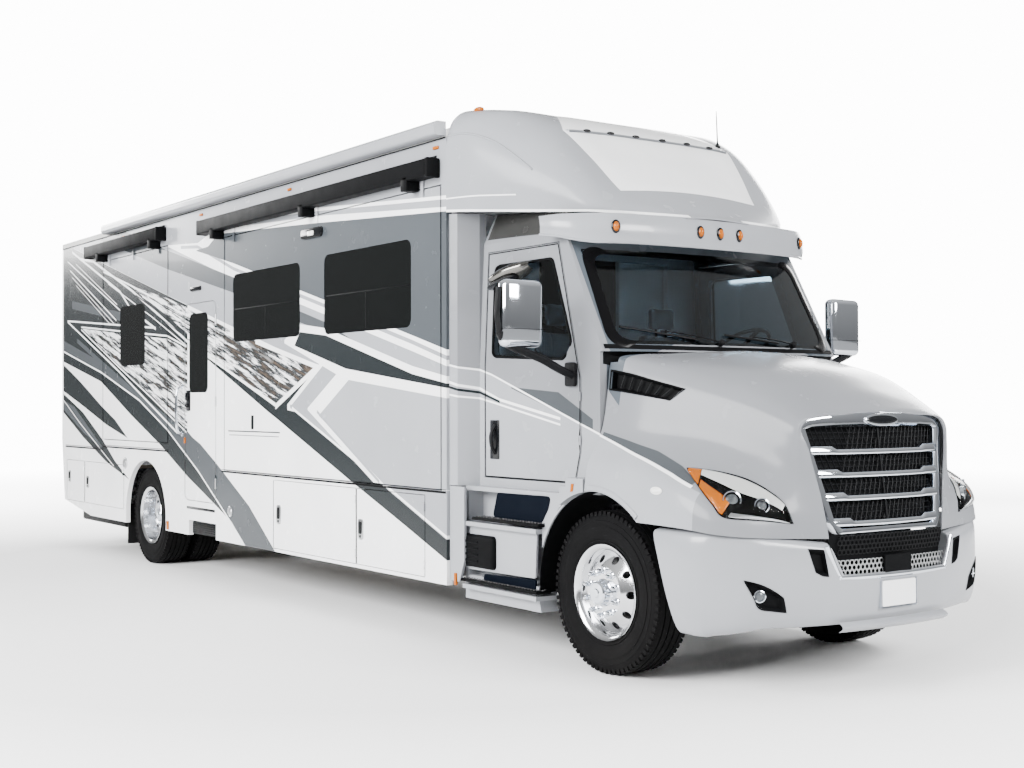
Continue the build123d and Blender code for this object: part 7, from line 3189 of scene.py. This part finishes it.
    def tail(self, shop: Shop) -> None:
        """Builds the tail's window rubber, lamps, blank plate and louvres.

        Args:
            shop: Where the pieces are finished.
        """
        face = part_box("end_walls")[0].x
        lift = facing(0, face, -1)
        rubber = bmesh.new()
        frame_plate(rubber, oblong(-0.51, 0.51, 2.24, 2.86, 0.08, 8), 0.018, lift, -0.010, 0.006)
        shop.piece("tail_window_rubber", rubber, "black", "coach")
        for side, way in SIDES:
            bezel = bmesh.new()
            y0, y1 = sorted((way * 1.02, way * 1.18))
            slab(bezel, oblong(y0, y1, 0.98, 1.62, 0.03, 5), lift, -0.004, 0.012, 0.004)
            shop.piece(f"{side}_tail_bezel", bezel, "chrome", "coach")
            for name, finish, z0, z1 in (("brake", "red", 1.385, 1.595), ("turn", "amber", 1.205, 1.375),
                                         ("back_up", "lit", 1.005, 1.195)):
                lens = bmesh.new()
                slab(lens, oblong(y0 + 0.018, y1 - 0.018, z0, z1, 0.02, 4), lift, 0.004, 0.024, 0.006)
                shop.piece(f"{side}_{name}_lens", lens, finish, "coach")
        top = bmesh.new()
        for y in (-1.05, -0.17, 0.0, 0.17, 1.05):
            slab(top, oblong(y - 0.035, y + 0.035, 3.565, 3.590, 0.010, 3), lift, -0.002, 0.014, 0.004)
        slab(top, oblong(-0.17, 0.17, 3.43, 3.465, 0.012, 3), lift, -0.002, 0.014, 0.004)
        shop.piece("tail_markers", top, "red", "coach")
        plate = bmesh.new()
        slab(plate, oblong(-0.155, 0.155, 0.80, 0.955, 0.012, 3), lift, 0.002, 0.008, 0.001)
        shop.piece("tail_plate", plate, "lit", "coach")
        vent = bmesh.new()
        for number in range(9):
            block(vent, (face - 0.010, -0.52, 1.34 + number * 0.055), (face + 0.002, 0.52, 1.372 + number * 0.055),
                  0.004, 2)
        shop.piece("tail_louvres", vent, "silver", "coach")

    def roof(self, shop: Shop) -> None:
        """Builds the louvres of the roof units, the vents and the solar panels.

        Args:
            shop: Where the pieces are finished.
        """
        for number, x in enumerate((1.06, -2.20, -4.585)):
            fins = bmesh.new()
            for side in (-1, 1):
                for row in range(6):
                    y, z = side * 0.351, 3.845 + row * 0.026
                    block(fins, (x - 0.38, y - 0.004, z), (x + 0.38, y + 0.004, z + 0.010), 0.002, 1)
            block(fins, (x - 0.20, -0.20, 4.034), (x + 0.20, 0.20, 4.043), 0.003, 1)
            shop.piece(f"roof_unit_{number}_louvres", fins, "black", "coach")
        panels = bmesh.new()
        frames = bmesh.new()
        for x, y in ((-0.35, 0.62), (-0.35, -0.62), (-3.35, 0.62), (-3.35, -0.62)):
            block(panels, (x - 0.50, y - 0.32, 3.800), (x + 0.50, y + 0.32, 3.822), 0.004, 1)
            frame_plate(frames, oblong(x - 0.515, x + 0.515, y - 0.335, y + 0.335, 0.026, 3), 0.022, facing(2), 3.792,
                        3.828)
        shop.piece("solar_panels", panels, "glass", "coach")
        shop.piece("solar_frames", frames, "satin", "coach")
        vents = bmesh.new()
        for x, y in ((2.35, 0.0), (-0.95, 0.0), (-5.45, 0.45)):
            block(vents, (x - 0.20, y - 0.20, 3.785), (x + 0.20, y + 0.20, 3.868), 0.035, 4)
        shop.piece("roof_vents", vents, "white", "coach")

    def build(self, shop: Shop) -> None:
        """Builds all of the trim.

        Args:
            shop: Where the pieces are finished.
        """
        self.strips(shop)
        self.markers(shop)
        self.porch(shop)
        self.entry(shop)
        self.ports(shop)
        self.tail(shop)
        self.roof(shop)


@dataclass
class Studio:
    """The pale floor, soft lights and camera.

    Args:
        eye: The camera's place.
        ahead: The way it looks.
        upward: Its upward direction.
        focal: Focal length in pixels of the picture.
        picture: The picture's width in pixels.
        sensor: The camera's sensor width in millimetres.
        floor_radius: The floor's radius.
        horizon: How bright the sky is to surfaces at the horizon.
        zenith: How bright it is to them overhead.
        backdrop: How bright the sky and the far floor are to the camera.
    """

    eye: Point3 = (11.471, -6.735, 1.724)
    ahead: Point3 = (-0.8161, 0.5777, 0.0140)
    upward: Point3 = (0.0128, -0.0061, 0.9999)
    focal: float = 1385.5
    picture: float = 1024.0
    sensor: float = 36.0
    floor_radius: float = 90.0
    horizon: float = 0.22
    zenith: float = 0.78
    backdrop: float = 14.0

    def camera(self) -> None:
        """Places the camera."""
        data = bpy.data.cameras.new("viewpoint")
        data.sensor_width = self.sensor
        data.lens = self.focal * self.sensor / self.picture
        data.clip_end = 400.0
        camera = bpy.data.objects.new("viewpoint", data)
        back = -Vector(self.ahead).normalized()
        right = Vector(self.upward).cross(back).normalized()
        turn = Matrix((right, back.cross(right), back)).transposed().to_4x4()
        camera.matrix_world = Matrix.Translation(self.eye) @ turn
        bpy.context.scene.collection.objects.link(camera)
        bpy.context.scene.camera = camera

    def lamp(self, name: str, place: Point3, aim: Point3, size: float, power: float) -> None:
        """Adds one soft area light.

        Args:
            name: The light's name.
            place: Where it hangs.
            aim: What it points at.
            size: Its side.
            power: Its power in watts.
        """
        data = bpy.data.lights.new(name, "AREA")
        data.shape = "RECTANGLE"
        data.size, data.size_y, data.energy = size, size * 0.6, power
        lamp = bpy.data.objects.new(name, data)
        lamp.location = place
        lamp.rotation_euler = (Vector(aim) - Vector(place)).to_track_quat("-Z", "Y").to_euler()
        bpy.context.scene.collection.objects.link(lamp)

    def surroundings(self) -> None:
        """Sets a pale sky. Surfaces get more of it from above than from the horizon."""
        world = bpy.data.worlds.new("pale_room")
        world.use_nodes = True
        graph = Graph(world.node_tree)
        height = graph.add("SeparateXYZ", None, Vector=graph.add("TexCoord").outputs["Generated"]).outputs["Z"]
        above = graph.ramp(height, 0.0, 0.8)
        glow = graph.mix(above, (self.horizon,) * 3, (self.zenith,) * 3)
        seen = graph.add("LightPath").outputs["Is Camera Ray"]
        background = world.node_tree.nodes["Background"]
        graph.feed(background.inputs["Color"], graph.mix(seen, glow, (self.backdrop,) * 3))
        background.inputs["Strength"].default_value = 1.0
        bpy.context.scene.world = world

    def floor(self) -> None:
        """Lays the floor."""
        bm = bmesh.new()
        bmesh.ops.create_circle(bm, cap_ends=True, segments=96, radius=self.floor_radius)
        mesh = bpy.data.meshes.new("studio_floor")
        bm.to_mesh(mesh)
        bm.free()
        floor = bpy.data.objects.new("studio_floor", mesh)
        bpy.context.scene.collection.objects.link(floor)
        material = bpy.data.materials.new("studio_floor")
        material.use_nodes = True
        graph = Graph(material.node_tree)
        shader = material.node_tree.nodes["Principled BSDF"]
        shade = graph.mix(graph.noise(0.4, 2.0), (0.86, 0.86, 0.86), (0.88, 0.88, 0.88))
        graph.feed(shader.inputs["Base Color"], shade)
        shader.inputs["Roughness"].default_value = 0.9
        shader.inputs["Specular IOR Level"].default_value = 0.0
        axes = graph.add("SeparateXYZ", None, Vector=graph.place())
        span = graph.reach(axes.outputs["X"], axes.outputs["Y"])
        far = graph.math("MULTIPLY", graph.ramp(span, 5.5, 26.0), graph.add("LightPath").outputs["Is Camera Ray"])
        graph.feed(shader.inputs["Emission Color"], graph.mix(far, (0.0, 0.0, 0.0), (1.0, 1.0, 1.0)))
        shader.inputs["Emission Strength"].default_value = self.backdrop - 1.0
        mesh.materials.append(material)

    def build(self) -> None:
        """Builds the whole studio."""
        self.camera()
        self.surroundings()
        self.floor()
        self.lamp("high_right", (3.0, -12.0, 6.0), (0.0, 0.0, 1.5), 9.0, 5000.0)
        self.lamp("high_front", (16.0, 2.0, 6.5), (3.0, 0.0, 1.5), 7.0, 3500.0)
        self.lamp("high_left", (-3.0, 12.0, 6.5), (0.0, 0.0, 1.5), 9.0, 3000.0)
        self.lamp("high_back", (-15.0, -3.0, 6.5), (-4.0, 0.0, 1.5), 7.0, 2000.0)


def main() -> None:
    """Builds the looks round the frame."""
    logging.basicConfig(level=logging.INFO, format="%(message)s")
    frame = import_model()
    palette = Palette()
    for name, node in frame["nodes"].items():
        palette.dress(node, node_finish(name))
    shop = Shop(palette, frame["nodes"])
    hood = Hood().build(shop)
    Grille().build(shop)
    Headlamps().build(shop, hood)
    Bumper().build(shop)
    Cap().build(shop)
    Visor().build(shop)
    Windscreen().build(shop, shop.tree(shop.nodes["windshield"]))
    Mirror().build(shop)
    DoorFurniture().build(shop)
    Steps().build(shop)
    Seats().build(shop)
    for side, way in SIDES:
        Wheel(f"front_{side}", f"front_{side}_wheel", (4.6, way * 1.020, 0.520), way, 0.050).build(shop)
        Wheel(f"rear_{side}_outer", f"rear_{side}_wheels", (-3.1, way * 1.093, 0.520), way, 0.130).build(shop)
        Wheel(f"rear_{side}_inner", f"rear_{side}_wheels", (-3.1, way * 0.750, 0.520), way, 0.130).build(shop)
    for node, windows in WINDOWS:
        for window in windows:
            window.build(shop, shop.tree(shop.nodes[f"{node}_glass"]))
    for topper in TOPPERS:
        topper.build(shop)
    for latch in LATCHES:
        latch.build(shop)
    CoachTrim().build(shop)
    Studio().build()


if __name__ == "__main__":
    main()
